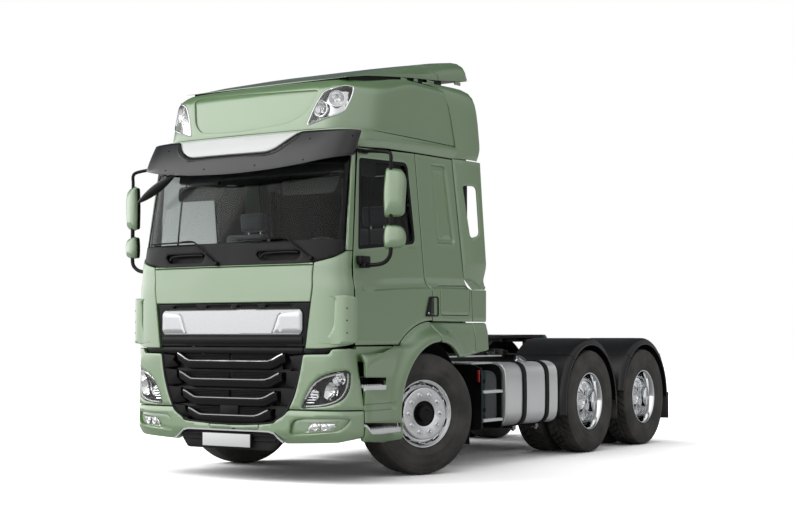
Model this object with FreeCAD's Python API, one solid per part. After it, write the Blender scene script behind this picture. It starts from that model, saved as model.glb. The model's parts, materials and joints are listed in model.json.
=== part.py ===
"""Cab-over tractor unit, three axles, both rear axles driven, with a sleeper cab that tilts.

Frame of the model: +Z up, floor at z = 0, +X to the vehicle's left, forward along -Y.
Stations along Y are written from the front axle and moved once, at export, so that
the origin is the middle of the vehicle's footprint. Units are millimetres.
"""
import FreeCAD
import Part
import math
import os
from FreeCAD import Vector

# ------------------------------------------------------------------ driving dimensions
WHEELBASE = 3020.0          # front axle to first drive axle
BOGIE = 1370.0              # first to second drive axle
FRONT_OVERHANG = 1410.0     # front axle to the bumper's face
REAR_OVERHANG = 600.0       # last axle to the rear face of the mud flaps
TYRE_R = 535.0
TYRE_W = 305.0
CAB_HALF = 1150.0           # half the cab's width at the door skins
CAB_BACK = 700.0            # front axle to the back of the rear wall
CAB_Z = 1140.0              # lower edge of the doors
CAB_WALL_H = 1610.0         # door edge to the foot of the roof
ROOF_H = 690.0              # foot of the roof to its crown
WALL = 55.0                 # whole thickness of a door or wall

# ------------------------------------------------------------------ wheels
BEAD_R = 286.0
RIM_SEAT_R = BEAD_R - 0.4
FLANGE_R = 298.5
RIM_W = 229.0
FLANGE_T = 12.0
RIM_WALL = 12.0
DISC_T = 14.0
FRONT_TRACK_HALF = 1034.0
TWIN_OUT = 1100.0           # middle plane of the outer rear tyre
TWIN_PITCH = 350.0
HUB_R = 138.0
SPINDLE_R = 45.0
RUN_GAP = 0.05              # radial clearance of every pin and spindle
KINGPIN_X = 900.0
KINGPIN_R = 22.0
STEER_REST = 22.0           # the front wheels stand turned to the vehicle's right

# ------------------------------------------------------------------ frame
FRAME_TOP = TYRE_R + 465.0
FRAME_H = 260.0
RAIL_OUT = 425.0
RAIL_T = 8.0
RAIL_FLANGE = 75.0
RAIL_FRONT = -FRONT_OVERHANG + 70.0
RAIL_BACK = WHEELBASE + BOGIE + REAR_OVERHANG - 40.0
FRAME_BOT = FRAME_TOP - FRAME_H

# ------------------------------------------------------------------ tilt, hinges and clearances
TILT_Y = -FRONT_OVERHANG + 110.0
TILT_Z = FRAME_TOP - 50.0
TILT_PIN_R = 20.0
SEAM = 8.0                  # gap between neighbouring skins
FACE_GAP = 0.3              # gap between pieces that seat on one another
DOOR_PIN_R = 6.0

# ------------------------------------------------------------------ cab outline
SPLIT_Z = CAB_Z + 195.0     # seam above the rear wheel-arch panel
STEP_Z = CAB_Z + 500.0      # where the side starts to step in
WAIST_Z = CAB_Z + 580.0     # where it has stepped in
HEAD_Z = CAB_Z + CAB_WALL_H
WAIST_IN = 20.0
LEAN_IN = 50.0              # how far the side leans in from door skin to roof foot
FLOOR_Z = CAB_Z + 80.0
FLOOR_T = 40.0
TUNNEL_HALF = 400.0
TUNNEL_Z = CAB_Z + 340.0
DOOR_FRONT = -FRONT_OVERHANG + 250.0
DOOR_GAP_FRONT = 17.0       # wider than a seam, so that the door's corner swings clear
DOOR_BACK = 30.0            # rear edge of the door below the shoulder
DOOR_BACK_STEP = 105.0      # how far that edge jumps forward over the shoulder
DOOR_BACK_TOP = -180.0
ARCH_R = TYRE_R + 90.0
ARCH_Y = 30.0
ARCH_BAND = 185.0
SEAM_TOP_Y = -55.0          # slanted seam of the wheel-arch band, upper end
SEAM_LOW_Y = 75.0
COWL_Z = CAB_Z + 670.0      # foot of the windscreen's black panel
GLASS_Z0 = CAB_Z + 800.0
GLASS_Z1 = CAB_Z + 1545.0
SCREEN_LEAN = 0.18          # run over rise of the windscreen
SCREEN_IN = 12.0            # how far the screen's foot lies behind the panel below it
DOOR_FRONT_LEAN = 100.0     # how far the door's front edge leans back above the cowl
SKIN = 40.0                 # thickness of the outer front panels

# ------------------------------------------------------------------ front plan curve
# half-plan of the front face: x share of the half width, and how far back it lies
PLAN_MID_X = 0.774
PLAN_MID_Y = 41.0
PLAN_TURN_X = 0.885
PLAN_TURN_Y = 75.0
PLAN_EDGE_X = 0.983
PLAN_EDGE_Y = 136.0
PLAN_SIDE_Y = 236.0
PLAN_FLARE_Y = 300.0        # where a front piece that flares out to the arches is widest


def box(x0, x1, y0, y1, z0, z1):
    return Part.makeBox(x1 - x0, y1 - y0, z1 - z0, Vector(x0, y0, z0))


def face_of(points):
    """Flat face inside straight edges through the points."""
    return Part.Face(Part.makePolygon([*points, points[0]]))


def prism_x(yz, x0, x1):
    return face_of([Vector(x0, y, z) for y, z in yz]).extrude(Vector(x1 - x0, 0, 0))


def prism_y(xz, y0, y1):
    return face_of([Vector(x, y0, z) for x, z in xz]).extrude(Vector(0, y1 - y0, 0))


def prism_z(xy, z0, z1):
    return face_of([Vector(x, y, z0) for x, y in xy]).extrude(Vector(0, 0, z1 - z0))


def rod_x(x0, x1, y, z, r):
    return Part.makeCylinder(r, x1 - x0, Vector(x0, y, z), Vector(1, 0, 0))


def rod_y(y0, y1, x, z, r):
    return Part.makeCylinder(r, y1 - y0, Vector(x, y0, z), Vector(0, 1, 0))


def rod_z(z0, z1, x, y, r):
    return Part.makeCylinder(r, z1 - z0, Vector(x, y, z0))


def rod(a, b, r):
    a, b = Vector(*a), Vector(*b)
    return Part.makeCylinder(r, (b - a).Length, a, b - a)


def turned_x(profile, x, y, z):
    """Solid of revolution about a line along X through (y, z); profile is (x, radius)."""
    face = face_of([Vector(x + px, y, z + pr) for px, pr in profile])
    return face.revolve(Vector(x, y, z), Vector(1, 0, 0), 360)


def fuse(*solids):
    return solids[0].multiFuse(list(solids[1:])).removeSplitter()


def mirrored(shape):
    return shape.mirror(Vector(0, 0, 0), Vector(1, 0, 0))


def both(shape):
    """The shape and its twin on the other side of the vehicle."""
    return Part.makeCompound([shape, mirrored(shape)])


def half_plan(half, front, inset=0.0, flare=0.0):
    """Points of the right half of the front face's plan, centre to corner, inset into the cab."""
    wide = half - inset
    side_y = front + PLAN_FLARE_Y if flare else front + inset * 0.6 + PLAN_SIDE_Y
    return [
        (0.0, front + inset),
        (PLAN_MID_X * wide, front + inset + PLAN_MID_Y),
        (PLAN_TURN_X * wide, front + inset + PLAN_TURN_Y),
        (PLAN_EDGE_X * wide, front + inset + PLAN_EDGE_Y),
        (wide + flare, side_y),
    ]


def front_edges(half, front, z, inset, flare):
    """Three arcs of the front face from the left corner to the right one, as edges at height z."""
    p = [Vector(x, y, z) for x, y in half_plan(half, front, inset, flare)]
    m = [Vector(-v.x, v.y, v.z) for v in p]
    return [
        Part.LineSegment(m[4], m[3]).toShape(),
        Part.Arc(m[3], m[2], m[1]).toShape(),
        Part.Arc(m[1], p[0], p[1]).toShape(),
        Part.Arc(p[1], p[2], p[3]).toShape(),
        Part.LineSegment(p[3], p[4]).toShape(),
    ]


def front_fill(half, front, z0, z1, inset, lean, depth, flare=0.0):
    """Solid behind the front face, back to the straight line at depth, sheared by lean."""
    edges = front_edges(half, front, z0, inset, flare)
    a, b = edges[0].Vertexes[0].Point, edges[-1].Vertexes[-1].Point
    back = front + depth
    ring = [Vector(b.x, back, z0), Vector(a.x, back, z0)]
    edges.append(Part.LineSegment(b, ring[0]).toShape())
    edges.append(Part.LineSegment(ring[0], ring[1]).toShape())
    edges.append(Part.LineSegment(ring[1], a).toShape())
    rise = z1 - z0
    return Part.Face(Part.Wire(edges)).extrude(Vector(0, lean * rise, rise))


def front_shell(half, front, z0, z1, thick, lean=0.0, depth=PLAN_SIDE_Y + 20.0, inset=0.0, flare=0.0):
    """Curved panel across the whole front, of one thickness, ending at depth behind the face."""
    outer = front_fill(half, front, z0, z1, inset, lean, depth, flare)
    inner = front_fill(half, front, z0 - 1, z1 + 1, inset + thick, lean, depth + 1, flare)
    inner.translate(Vector(0, -lean, 0))
    return outer.cut(inner)


# ------------------------------------------------------------------ side profile of the cab
def side_profile(inset):
    """(x, z) down the outside of the cab's side and back up its inside, for a wall."""
    waist = CAB_HALF - WAIST_IN
    head = CAB_HALF - LEAN_IN
    outer = [(CAB_HALF, CAB_Z), (CAB_HALF, STEP_Z), (waist, WAIST_Z), (head, HEAD_Z)]
    inner = [(x - inset, z) for x, z in reversed(outer)]
    return outer + inner


def side_slab(y0, y1):
    return prism_y(side_profile(WALL), y0, y1)


def x_of_side(z):
    """Outer face of the cab's side above the waist."""
    share = (z - WAIST_Z) / (HEAD_Z - WAIST_Z)
    return CAB_HALF - WAIST_IN - share * (LEAN_IN - WAIST_IN)


# ------------------------------------------------------------------ chassis
def frame_rails():
    out, inn, t = RAIL_OUT, RAIL_OUT - RAIL_FLANGE, RAIL_T
    c = [(out, FRAME_BOT), (out, FRAME_TOP), (inn, FRAME_TOP), (inn, FRAME_TOP - t),
         (out - t, FRAME_TOP - t), (out - t, FRAME_BOT + t), (inn, FRAME_BOT + t), (inn, FRAME_BOT)]
    rail = prism_y(c, RAIL_FRONT, RAIL_BACK)
    eye = rod_x(out - t - 12, out, TILT_Y, TILT_Z, TILT_PIN_R + 18)
    bore = rod_x(out - t - 13, out + 1, TILT_Y, TILT_Z, TILT_PIN_R + RUN_GAP)
    nose_cut = box(inn - 1, out - t, RAIL_FRONT - 1, TILT_Y + 60, FRAME_BOT + t, FRAME_TOP + 1)
    rail = fuse(rail.cut(nose_cut), eye).cut(bore)
    return both(rail)


CROSS_STATIONS = [RAIL_FRONT + 120.0, 1230.0, WHEELBASE - 460.0, WHEELBASE + BOGIE / 2, RAIL_BACK - 40.0]
CROSS_T = 60.0
POST_Y = CAB_BACK - 120.0
TOW_R = 19.0
TOW_LEN = 60.0
TOW_X = 330.0
UNDERRUN_Z0 = FRAME_BOT - 290.0     # front under-run beam
UNDERRUN_Z1 = FRAME_BOT - 170.0
TOW_Z = UNDERRUN_Z0 - 66.0
TOW_LUG = 40.0
UNDERRUN_FRONT = -FRONT_OVERHANG + 85.0
UNDERRUN_HALF = 800.0


def crossmembers():
    """Members between the rails, the rear cab rest and the front under-run beam with its tow eye."""
    clear = RAIL_OUT - RAIL_T
    pieces = []
    for y in CROSS_STATIONS:
        web = box(-clear, clear, y - CROSS_T / 2, y + CROSS_T / 2, FRAME_BOT + 40, FRAME_TOP - 40)
        pieces.append(web)
    arch = fuse(
        box(RAIL_OUT - 60, RAIL_OUT, POST_Y - 40, POST_Y + 40, FRAME_TOP, FLOOR_Z - 60),
        box(-RAIL_OUT, -RAIL_OUT + 60, POST_Y - 40, POST_Y + 40, FRAME_TOP, FLOOR_Z - 60),
        box(-RAIL_OUT - 250, RAIL_OUT + 250, POST_Y - 40, POST_Y + 40, FLOOR_Z - 60, FLOOR_Z - 5),
    )
    pieces.append(arch)
    beam = box(-UNDERRUN_HALF, UNDERRUN_HALF, UNDERRUN_FRONT, UNDERRUN_FRONT + 110, UNDERRUN_Z0, UNDERRUN_Z1)
    leg_x = RAIL_OUT - 45
    legs = [box(s * leg_x - 25, s * leg_x + 25, UNDERRUN_FRONT + 20, UNDERRUN_FRONT + 110,
                UNDERRUN_Z1, FRAME_BOT) for s in (-1, 1)]
    lug = box(TOW_X - TOW_LUG, TOW_X + TOW_LUG, UNDERRUN_FRONT, UNDERRUN_FRONT + TOW_LEN,
              TOW_Z - TOW_LUG, UNDERRUN_Z0)
    eye = rod_y(UNDERRUN_FRONT - 1, UNDERRUN_FRONT + TOW_LEN + 1, TOW_X, TOW_Z, TOW_R)
    pieces.append(fuse(beam, *legs, lug).cut(eye))
    return Part.makeCompound(pieces)


BEAM_Z = TYRE_R - 105.0
EYE_R = 50.0
AXLE_TUBE_R = 75.0
PAD_Z = TYRE_R - 105.0


def axles():
    """Front beam with a kingpin eye at each end, and two drive-axle casings with their spindles."""
    beam = box(-KINGPIN_X + 120, KINGPIN_X - 120, -45, 45, BEAM_Z - 50, BEAM_Z + 50)
    parts = [beam]
    for s in (-1, 1):
        arm = prism_y([(s * (KINGPIN_X - 130), BEAM_Z - 50), (s * KINGPIN_X, TYRE_R - 60),
                       (s * KINGPIN_X, TYRE_R + 60), (s * (KINGPIN_X - 60), TYRE_R + 60),
                       (s * (KINGPIN_X - 200), BEAM_Z + 50)], -40, 40)
        parts += [arm, rod_z(TYRE_R - 70, TYRE_R + 70, s * KINGPIN_X, 0, EYE_R)]
    front = fuse(*parts)
    for s in (-1, 1):
        front = front.cut(rod_z(TYRE_R - 80, TYRE_R + 80, s * KINGPIN_X, 0, KINGPIN_R + RUN_GAP))
        clear = rod_z(TYRE_R - 150, TYRE_R - 70, s * KINGPIN_X, 0, EYE_R + 30)
        front = front.cut(clear)
    made = [front]
    hub_in = TWIN_OUT - TWIN_PITCH - 135
    for y in (WHEELBASE, WHEELBASE + BOGIE):
        tube = rod_x(-hub_in, hub_in, y, TYRE_R, AXLE_TUBE_R)
        casing = rod_x(-110, 110, y, TYRE_R, 215)
        nose = rod_y(y - 330, y - 60, 0, TYRE_R + 20, 90)
        ends = [rod_x(hub_in - 30, TWIN_OUT - 40, y, TYRE_R, SPINDLE_R),
                rod_x(-TWIN_OUT + 40, -hub_in + 30, y, TYRE_R, SPINDLE_R)]
        pads = [box(s * BAG_X - 60, s * BAG_X + 60, y - 60, y + 60, PAD_Z, TYRE_R - 10) for s in (-1, 1)]
        made.append(fuse(tube, casing, nose, *ends, *pads))
    return Part.makeCompound(made)


LEAF_HALF = 820.0
LEAF_T = 45.0
LEAF_X = RAIL_OUT - 55.0
BAG_X = RAIL_OUT - 35.0


def suspension():
    """A leaf spring at each front corner, and two air bellows on a carrying arm at each rear corner."""
    top = BEAM_Z + 50
    leaf = fuse(
        box(LEAF_X - 45, LEAF_X + 45, -110, 110, top, top + LEAF_T + 20),
        prism_x([(-LEAF_HALF, top + 130), (0, top + 20), (LEAF_HALF, top + 130),
                 (LEAF_HALF, top + 130 + LEAF_T), (0, top + 20 + LEAF_T),
                 (-LEAF_HALF, top + 130 + LEAF_T)], LEAF_X - 40, LEAF_X + 40),
        box(LEAF_X - 30, LEAF_X + 30, -LEAF_HALF - 30, -LEAF_HALF + 50, top + 120, FRAME_BOT),
        box(LEAF_X - 30, LEAF_X + 30, LEAF_HALF - 50, LEAF_HALF + 30, top + 120, FRAME_BOT),
    )
    made = [leaf, mirrored(leaf)]
    for y in (WHEELBASE, WHEELBASE + BOGIE):
        arm = box(BAG_X - 45, BAG_X + 45, y - 480, y + 480, PAD_Z - 60, PAD_Z)
        bags = [rod_z(PAD_Z, FRAME_BOT, BAG_X, y + dy, 115) for dy in (-370, 370)]
        corner = fuse(arm, *bags)
        made += [corner, mirrored(corner)]
    return Part.makeCompound(made)


ENGINE_HALF = RAIL_OUT - RAIL_FLANGE - 40.0
ENGINE_FRONT = -880.0
ENGINE_BACK = 320.0
GEARBOX_BACK = 1140.0
SHAFT_R = 50.0


def powertrain():
    """Engine block, gearbox and the shafts to both drive axles."""
    engine = box(-ENGINE_HALF, ENGINE_HALF, ENGINE_FRONT, ENGINE_BACK, BEAM_Z + 90, CAB_Z + 240)
    bell = box(-240, 240, ENGINE_BACK, ENGINE_BACK + 260, TYRE_R + 30, FRAME_TOP - 20)
    gears = box(-190, 190, ENGINE_BACK + 260, GEARBOX_BACK, TYRE_R + 60, FRAME_TOP - 60)
    shaft = rod((0, GEARBOX_BACK - 10, TYRE_R + 140), (0, WHEELBASE - 331, TYRE_R + 20), SHAFT_R)
    cut_back = box(-200, 200, WHEELBASE - 330 - FACE_GAP, WHEELBASE, 0, FRAME_TOP)
    link = rod_y(WHEELBASE + 215 + FACE_GAP, WHEELBASE + BOGIE - 330 - FACE_GAP, 0, TYRE_R + 20, SHAFT_R)
    cooler_y = CROSS_STATIONS[0] + CROSS_T / 2 + FACE_GAP
    cooler_half = RAIL_OUT - RAIL_FLANGE - 15.0
    cooler = box(-cooler_half, cooler_half, cooler_y, cooler_y + 110, TYRE_R + 25, CAB_Z - 10)
    return Part.makeCompound([fuse(engine, bell, gears, shaft.cut(cut_back)), link, cooler])


# ------------------------------------------------------------------ front of the chassis
BUMPER_Z0 = 326.0
BUMPER_Z1 = 605.0
FLARE = 88.0                # how far the bumper's ends stand out past the door skins
BUMPER_HALF = CAB_HALF + FLARE
LAMP_Z0 = BUMPER_Z1 + SEAM
LAMP_Z1 = CAB_Z - 75.0
FRONT = -FRONT_OVERHANG
GRILLE_HALF = 780.0
GRILLE_FOOT_Z0 = 492.0
GRILLE_FOOT_Z1 = 560.0
GRILLE_CUT = [(0, 470), (430, 490), (600, 574), (700, 760), (GRILLE_HALF, LAMP_Z1 + 20)]
# headlamp outline: how far in from the door skins, height
LAMP_SHAPE = [(380, 640), (90, 650), (0, 760), (0, 910), (120, 900), (300, 800)]


def outline_prism(half_shape, y0, y1, grow=0.0):
    """Mirror-image outline in (x, z), drawn from the centre outwards, extruded along Y."""
    cx = 0.0
    cz = sum(z for _, z in half_shape) / len(half_shape)
    pts = [(x + (grow if x > cx else 0), z + (grow if z > cz else -grow)) for x, z in half_shape]
    return prism_y(pts + [(-x, z) for x, z in reversed(pts) if x > 0], y0, y1)


def lamp_prism(grow=0.0):
    """Headlamp outline as a prism, grown about its own middle."""
    shape = [(CAB_HALF - inward, z) for inward, z in LAMP_SHAPE]
    cx = sum(x for x, _ in shape) / len(shape)
    cz = sum(z for _, z in shape) / len(shape)
    grown = [(cx + (x - cx) * (1 + grow / 200), cz + (z - cz) * (1 + grow / 130)) for x, z in shape]
    return prism_y(grown, FRONT - 50, FRONT + 300)


def bumper():
    """Lower skin, with its middle cut for grille and plate, and a lamp panel at each side."""
    skin = front_shell(CAB_HALF, FRONT, BUMPER_Z0, BUMPER_Z1, SKIN, depth=310, flare=FLARE)
    grille_hole = outline_prism(GRILLE_CUT, FRONT - 50, FRONT + 400)
    plate_hole = prism_y([(-580, BUMPER_Z0 - 1), (580, BUMPER_Z0 - 1), (500, 415), (-500, 415)],
                         FRONT - 50, FRONT + 400)
    skin = skin.cut(grille_hole).cut(plate_hole)
    panels = front_shell(CAB_HALF, FRONT + 8, LAMP_Z0, LAMP_Z1, SKIN, depth=302, flare=FLARE - 20)
    panels = panels.cut(outline_prism(GRILLE_CUT, FRONT - 50, FRONT + 400, SEAM / 2))
    hole = lamp_prism(SEAM)
    panels = panels.cut(hole).cut(mirrored(hole))
    beam_top = UNDERRUN_Z1 + FACE_GAP
    post_top = max(beam_top + 40, LAMP_Z0 + 67)
    foot = box(670, 710, FRONT + SKIN, UNDERRUN_FRONT - FACE_GAP, UNDERRUN_Z0 + 20, UNDERRUN_Z1 - 30)
    post = fuse(box(700, 740, FRONT + SKIN + 40, UNDERRUN_FRONT + 85, beam_top, post_top),
                box(700, 740, FRONT + SKIN + 20, UNDERRUN_FRONT, LAMP_Z0 + 2, post_top))
    skin = fuse(skin, foot, mirrored(foot))
    panels = fuse(panels, post, mirrored(post))
    return Part.makeCompound([skin, *panels.Solids])


def grille():
    """Dark grille between the lamp panels, set a little behind their faces, on its own frame."""
    panel = front_shell(CAB_HALF, FRONT + 22, 480, LAMP_Z1 - 5, 26, depth=290)
    inside = outline_prism([(x - (6 if x else 0), z + 6) for x, z in GRILLE_CUT], FRONT - 50, FRONT + 260)
    face = panel.common(inside)
    seat_y = UNDERRUN_FRONT - FACE_GAP
    foot = box(-400, 400, FRONT + SKIN, seat_y, GRILLE_FOOT_Z0, GRILLE_FOOT_Z1)
    pad = box(-400, 400, seat_y - 20, seat_y, min(GRILLE_FOOT_Z0, UNDERRUN_Z0 + 42), GRILLE_FOOT_Z1)
    return fuse(face, foot, pad)


def lamps():
    """Headlamp units behind the lamp panels, and a tail lamp at the end of each rail."""
    unit = front_shell(CAB_HALF, FRONT + 12, LAMP_Z0 + 15, LAMP_Z1 - 30, 70, depth=302, flare=FLARE - 24)
    left = unit.common(lamp_prism(0.0))
    left = [s for s in left.Solids if s.CenterOfMass.x > 0][0]
    rim_y = FRONT + 8 + SKIN + FACE_GAP
    flange = front_shell(CAB_HALF - SKIN, rim_y, LAMP_Z0 + 6, LAMP_Z1 - 10, 12, depth=302, flare=FLARE - 20)
    flange = [s for s in flange.common(lamp_prism(16.0)).Solids if s.CenterOfMass.x > 0][0]
    left = fuse(left, flange)
    tail = box(RAIL_OUT - 75, RAIL_OUT + 130, RAIL_BACK, RAIL_BACK + 40, FRAME_BOT + 20, FRAME_BOT + 160)
    return Part.makeCompound([left, mirrored(left), tail, mirrored(tail)])


# ------------------------------------------------------------------ steps, arches, tanks
STEP_X0 = CAB_HALF - 250.0
STEP_FRONT = FRONT + 318.0
STEP_BACK = ARCH_Y - ARCH_R
STEP_TOP = CAB_Z - 40.0
FENDER_X = BUMPER_HALF
FENDER_T = 36.0


def arch_disc(r, x0, x1):
    return rod_x(x0, x1, ARCH_Y, TYRE_R, r)


def seam_side(x0, x1, before, shift):
    """Half-space in front of (or behind) the slanted seam in the wheel-arch band."""
    slope = (SEAM_LOW_Y - SEAM_TOP_Y) / (SPLIT_Z - (CAB_Z - 20))
    top_y = SEAM_TOP_Y - slope * 400 + shift
    low_y = SEAM_LOW_Y + slope * 900 + shift
    z_top, z_low = SPLIT_Z + 400, CAB_Z - 20 - 900
    far = -3000 if before else 3000
    return prism_x([(top_y, z_top), (low_y, z_low), (far, z_low), (far, z_top)], x0, x1)


def step_panels():
    """Entry steps with the front part of the wheel-arch band, one piece at each side."""
    x0 = FENDER_X - FENDER_T
    skin = box(x0, FENDER_X, STEP_FRONT, STEP_BACK, BUMPER_Z0, STEP_TOP)
    band = arch_disc(ARCH_R + ARCH_BAND - 18, x0, FENDER_X).cut(arch_disc(ARCH_R, x0 - 1, FENDER_X + 1))
    band = band.common(box(x0, FENDER_X, STEP_BACK - 100, 400, TYRE_R - 60, SPLIT_Z - SEAM))
    band = band.common(seam_side(x0, FENDER_X, True, 0.0))
    skin = fuse(skin, band).cut(arch_disc(ARCH_R, x0 - 1, FENDER_X + 1))
    well_back = STEP_BACK - 60
    pocket = box(x0 - 1, FENDER_X + 1, STEP_FRONT + 60, well_back - 60, 500, 640)
    pocket2 = box(x0 - 1, FENDER_X + 1, STEP_FRONT + 60, well_back - 60, 790, 930)
    skin = skin.cut(pocket).cut(pocket2)
    treads = [box(STEP_X0, x0, STEP_FRONT + 20, well_back, z, z + 30) for z in (470, 760)]
    inner = box(STEP_X0, STEP_X0 + 20, STEP_FRONT + 20, well_back, 440, STEP_TOP)
    stay = box(RAIL_OUT, STEP_X0, STEP_FRONT + 120, STEP_FRONT + 180, FRAME_BOT + 30, FRAME_BOT + 110)
    return both(fuse(skin, *treads, inner, stay))


LINER_R = TYRE_R + 117.0
LINER_T = 10.0
LINER_X0 = 450.0
LINER_X1 = CAB_HALF - 70.0
FLAP_BACK = 790.0


def arch_liners():
    """Dark liner over each front wheel, with its mud flap behind and two stays to the rail."""
    ring = rod_x(LINER_X0, LINER_X1, 0, TYRE_R, LINER_R).cut(
        rod_x(LINER_X0 - 1, LINER_X1 + 1, 0, TYRE_R, LINER_R - LINER_T))
    ring = ring.cut(box(0, CAB_HALF, 0, 1000, -500, TYRE_R + 200))
    ring = ring.cut(box(0, CAB_HALF, -1000, 1, -500, TYRE_R - 60))
    join_y = math.sqrt((LINER_R - LINER_T / 2) ** 2 - 200.0 ** 2)
    tail = prism_x([(join_y - 8, TYRE_R + 200), (join_y + 8, TYRE_R + 206), (FLAP_BACK, TYRE_R + 40),
                    (FLAP_BACK, 210), (FLAP_BACK - 12, 210), (FLAP_BACK - 12, TYRE_R + 34)],
                   LINER_X0 + 150, LINER_X1)
    dy = (LINER_R - LINER_T / 2) * math.cos(math.radians(40))
    dz = (LINER_R - LINER_T / 2) * math.sin(math.radians(40))
    stays = [rod_x(RAIL_OUT, LINER_X1 - 40, s * dy, TYRE_R + dz, 18) for s in (-1, 1)]
    return both(fuse(ring, tail, *stays))


GUARD_R = TYRE_R + 125.0
GUARD_T = 12.0
GUARD_LIP = 70.0
GUARD_CUT = math.radians(30)    # where the rear dome goes over into its straight flap
FLAP_Z0 = 260.0
GUARD_X0 = TWIN_OUT - TWIN_PITCH - TYRE_W / 2 - 18.0
GUARD_X1 = TWIN_OUT + TYRE_W / 2 + 8.0
TANK_X1 = CAB_HALF + 50.0
TANK_X0 = RAIL_OUT + 60.0
TANK_Z0 = 345.0
TANK_Z1 = 965.0
STEP_BOX_Y0 = 840.0
STEP_BOX_Y1 = 1240.0
TANK_Y0 = STEP_BOX_Y1 + 25.0
TANK_Y1 = WHEELBASE - GUARD_R - 15.0


def rear_mudguards():
    """A dome over each pair of twin tyres, with an outer lip, a front or rear flap and two stays."""
    made = []
    for y, first in ((WHEELBASE, True), (WHEELBASE + BOGIE, False)):
        dome = rod_x(GUARD_X0, GUARD_X1, y, TYRE_R, GUARD_R)
        hollow = rod_x(GUARD_X0 - 1, GUARD_X1 - GUARD_T, y, TYRE_R, GUARD_R - GUARD_T)
        lip_hole = rod_x(GUARD_X1 - GUARD_T - 1, GUARD_X1 + 1, y, TYRE_R, GUARD_R - GUARD_LIP)
        dome = dome.cut(hollow).cut(lip_hole)
        dome = dome.cut(box(0, 2000, y - 1000, y, -500, TYRE_R - 60))
        dome = dome.cut(box(0, 2000, y - 1, y + 1000, -500, TYRE_R - 10))
        reach = (GUARD_R - GUARD_T / 2)
        stays = [rod_x(RAIL_OUT, GUARD_X1 - 60, y + s * reach * math.cos(math.radians(40)),
                       TYRE_R + reach * math.sin(math.radians(40)), 18) for s in (-1, 1)]
        pieces = [dome, *stays]
        flap_y = y + GUARD_R
        back = flap_y if not first else flap_y - 6
        front = back - GUARD_T
        if not first:
            back = WHEELBASE + BOGIE + REAR_OVERHANG
            cut_y, cut_z = reach * math.cos(GUARD_CUT), TYRE_R + reach * math.sin(GUARD_CUT)
            slope = prism_x([(y + cut_y - 8, cut_z - 4), (y + cut_y + 8, cut_z + 12), (back, TYRE_R + 40),
                             (back, FLAP_Z0), (back - GUARD_T, FLAP_Z0), (back - GUARD_T, TYRE_R + 30)],
                            GUARD_X0 + 20, GUARD_X1)
            dome = dome.cut(box(0, 2000, y + cut_y - 160, y + 1000, 0, cut_z + 5))
            pieces = [fuse(dome, slope), *stays]
        else:
            pieces.append(box(GUARD_X0 + 20, GUARD_X1 - GUARD_T, front, back, 300, TYRE_R + 20))
        made.append(fuse(*pieces))
    return Part.makeCompound(made + [mirrored(m) for m in made])


def rounded_section(x0, x1, z0, z1, r, y0, y1):
    bar = box(x0, x1, y0, y1, z0, z1)
    along = [e for e in bar.Edges if abs(e.tangentAt(e.FirstParameter).y) > 0.9]
    return bar.makeFillet(r, along)


def tank_carrier(y):
    """Bracket off the rail that runs behind and under a side tank."""
    return fuse(box(RAIL_OUT, TANK_X0, y - 40, y + 40, TANK_Z0 - 30, FRAME_TOP - 30),
                box(RAIL_OUT, TANK_X1 - 120, y - 40, y + 40, TANK_Z0 - 30, TANK_Z0))


def fuel_tank():
    tank = rounded_section(TANK_X0, TANK_X1, TANK_Z0, TANK_Z1, 120, TANK_Y0, TANK_Y1)
    third = (TANK_Y1 - TANK_Y0) / 3
    neck = rod((CAB_HALF - 130, TANK_Y0 + 1.55 * third, TANK_Z1 - 40),
               (CAB_HALF - 90, TANK_Y0 + 1.55 * third, TANK_Z1 + 30), 45)
    return fuse(tank, neck, *[tank_carrier(TANK_Y0 + k * third) for k in (1.05, 2.2)])


def step_box():
    """Side step with a small tank behind its two treads, ahead of the fuel tank."""
    y0, y1, x1 = STEP_BOX_Y0, STEP_BOX_Y1, TANK_X1
    frame = [box(TANK_X0, x1, y0, y0 + 20, TANK_Z0, TANK_Z1 - 20),
             box(TANK_X0, x1, y1 - 20, y1, TANK_Z0, TANK_Z1 - 20),
             box(TANK_X0, x1, y0, y1, TANK_Z1 - 40, TANK_Z1),
             box(TANK_X0, x1 - 200, y0, y1, TANK_Z0, TANK_Z1),
             box(RAIL_OUT, TANK_X0, y0 + 100, y0 + 180, TANK_Z0 + 400, FRAME_TOP - 30)]
    treads = [box(x1 - 210, x1, y0, y1, z, z + 30) for z in (TANK_Z0 + 60, TANK_Z0 + 320)]
    return fuse(*frame, *treads)


def exhaust_box():
    """Silencer housing at the right, with its outlet stub, and the battery box behind it."""
    box_len = 760.0
    box_end = STEP_BOX_Y0 + box_len
    body = rounded_section(-TANK_X1, -TANK_X0, TANK_Z0 - 10, TANK_Z1 - 20, 60, STEP_BOX_Y0, box_end)
    arm = box(-TANK_X0, -RAIL_OUT, STEP_BOX_Y0 + 300, STEP_BOX_Y0 + 380, TANK_Z0 + 400, FRAME_TOP - 30)
    stub = rod_y(box_end, box_end + 70, -TANK_X1 + 200, TANK_Z0 + 150, 65)
    silencer = fuse(body, arm, stub)
    y0 = box_end + 90
    battery = fuse(box(-TANK_X1 + 20, -TANK_X0, y0, TANK_Y1, TANK_Z0 + 20, TANK_Z1 - 60),
                   box(-TANK_X0, -RAIL_OUT, y0 + 200, y0 + 280, TANK_Z0 + 400, FRAME_TOP - 30))
    return Part.makeCompound([silencer, battery])


# ------------------------------------------------------------------ coupling
COUPLING_Y = WHEELBASE + BOGIE / 2 - 350.0
COUPLING_TOP = FRAME_TOP + 230.0
COUPLING_T = 40.0
COUPLING_HALF = 475.0
COUPLING_LEN = 450.0
PIVOT_Z = COUPLING_TOP - 105.0
PIVOT_R = 25.0
KING_BORE_R = 25.6
PEDESTAL_X = RAIL_OUT - 55.0
BASE_T = 12.0


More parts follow.
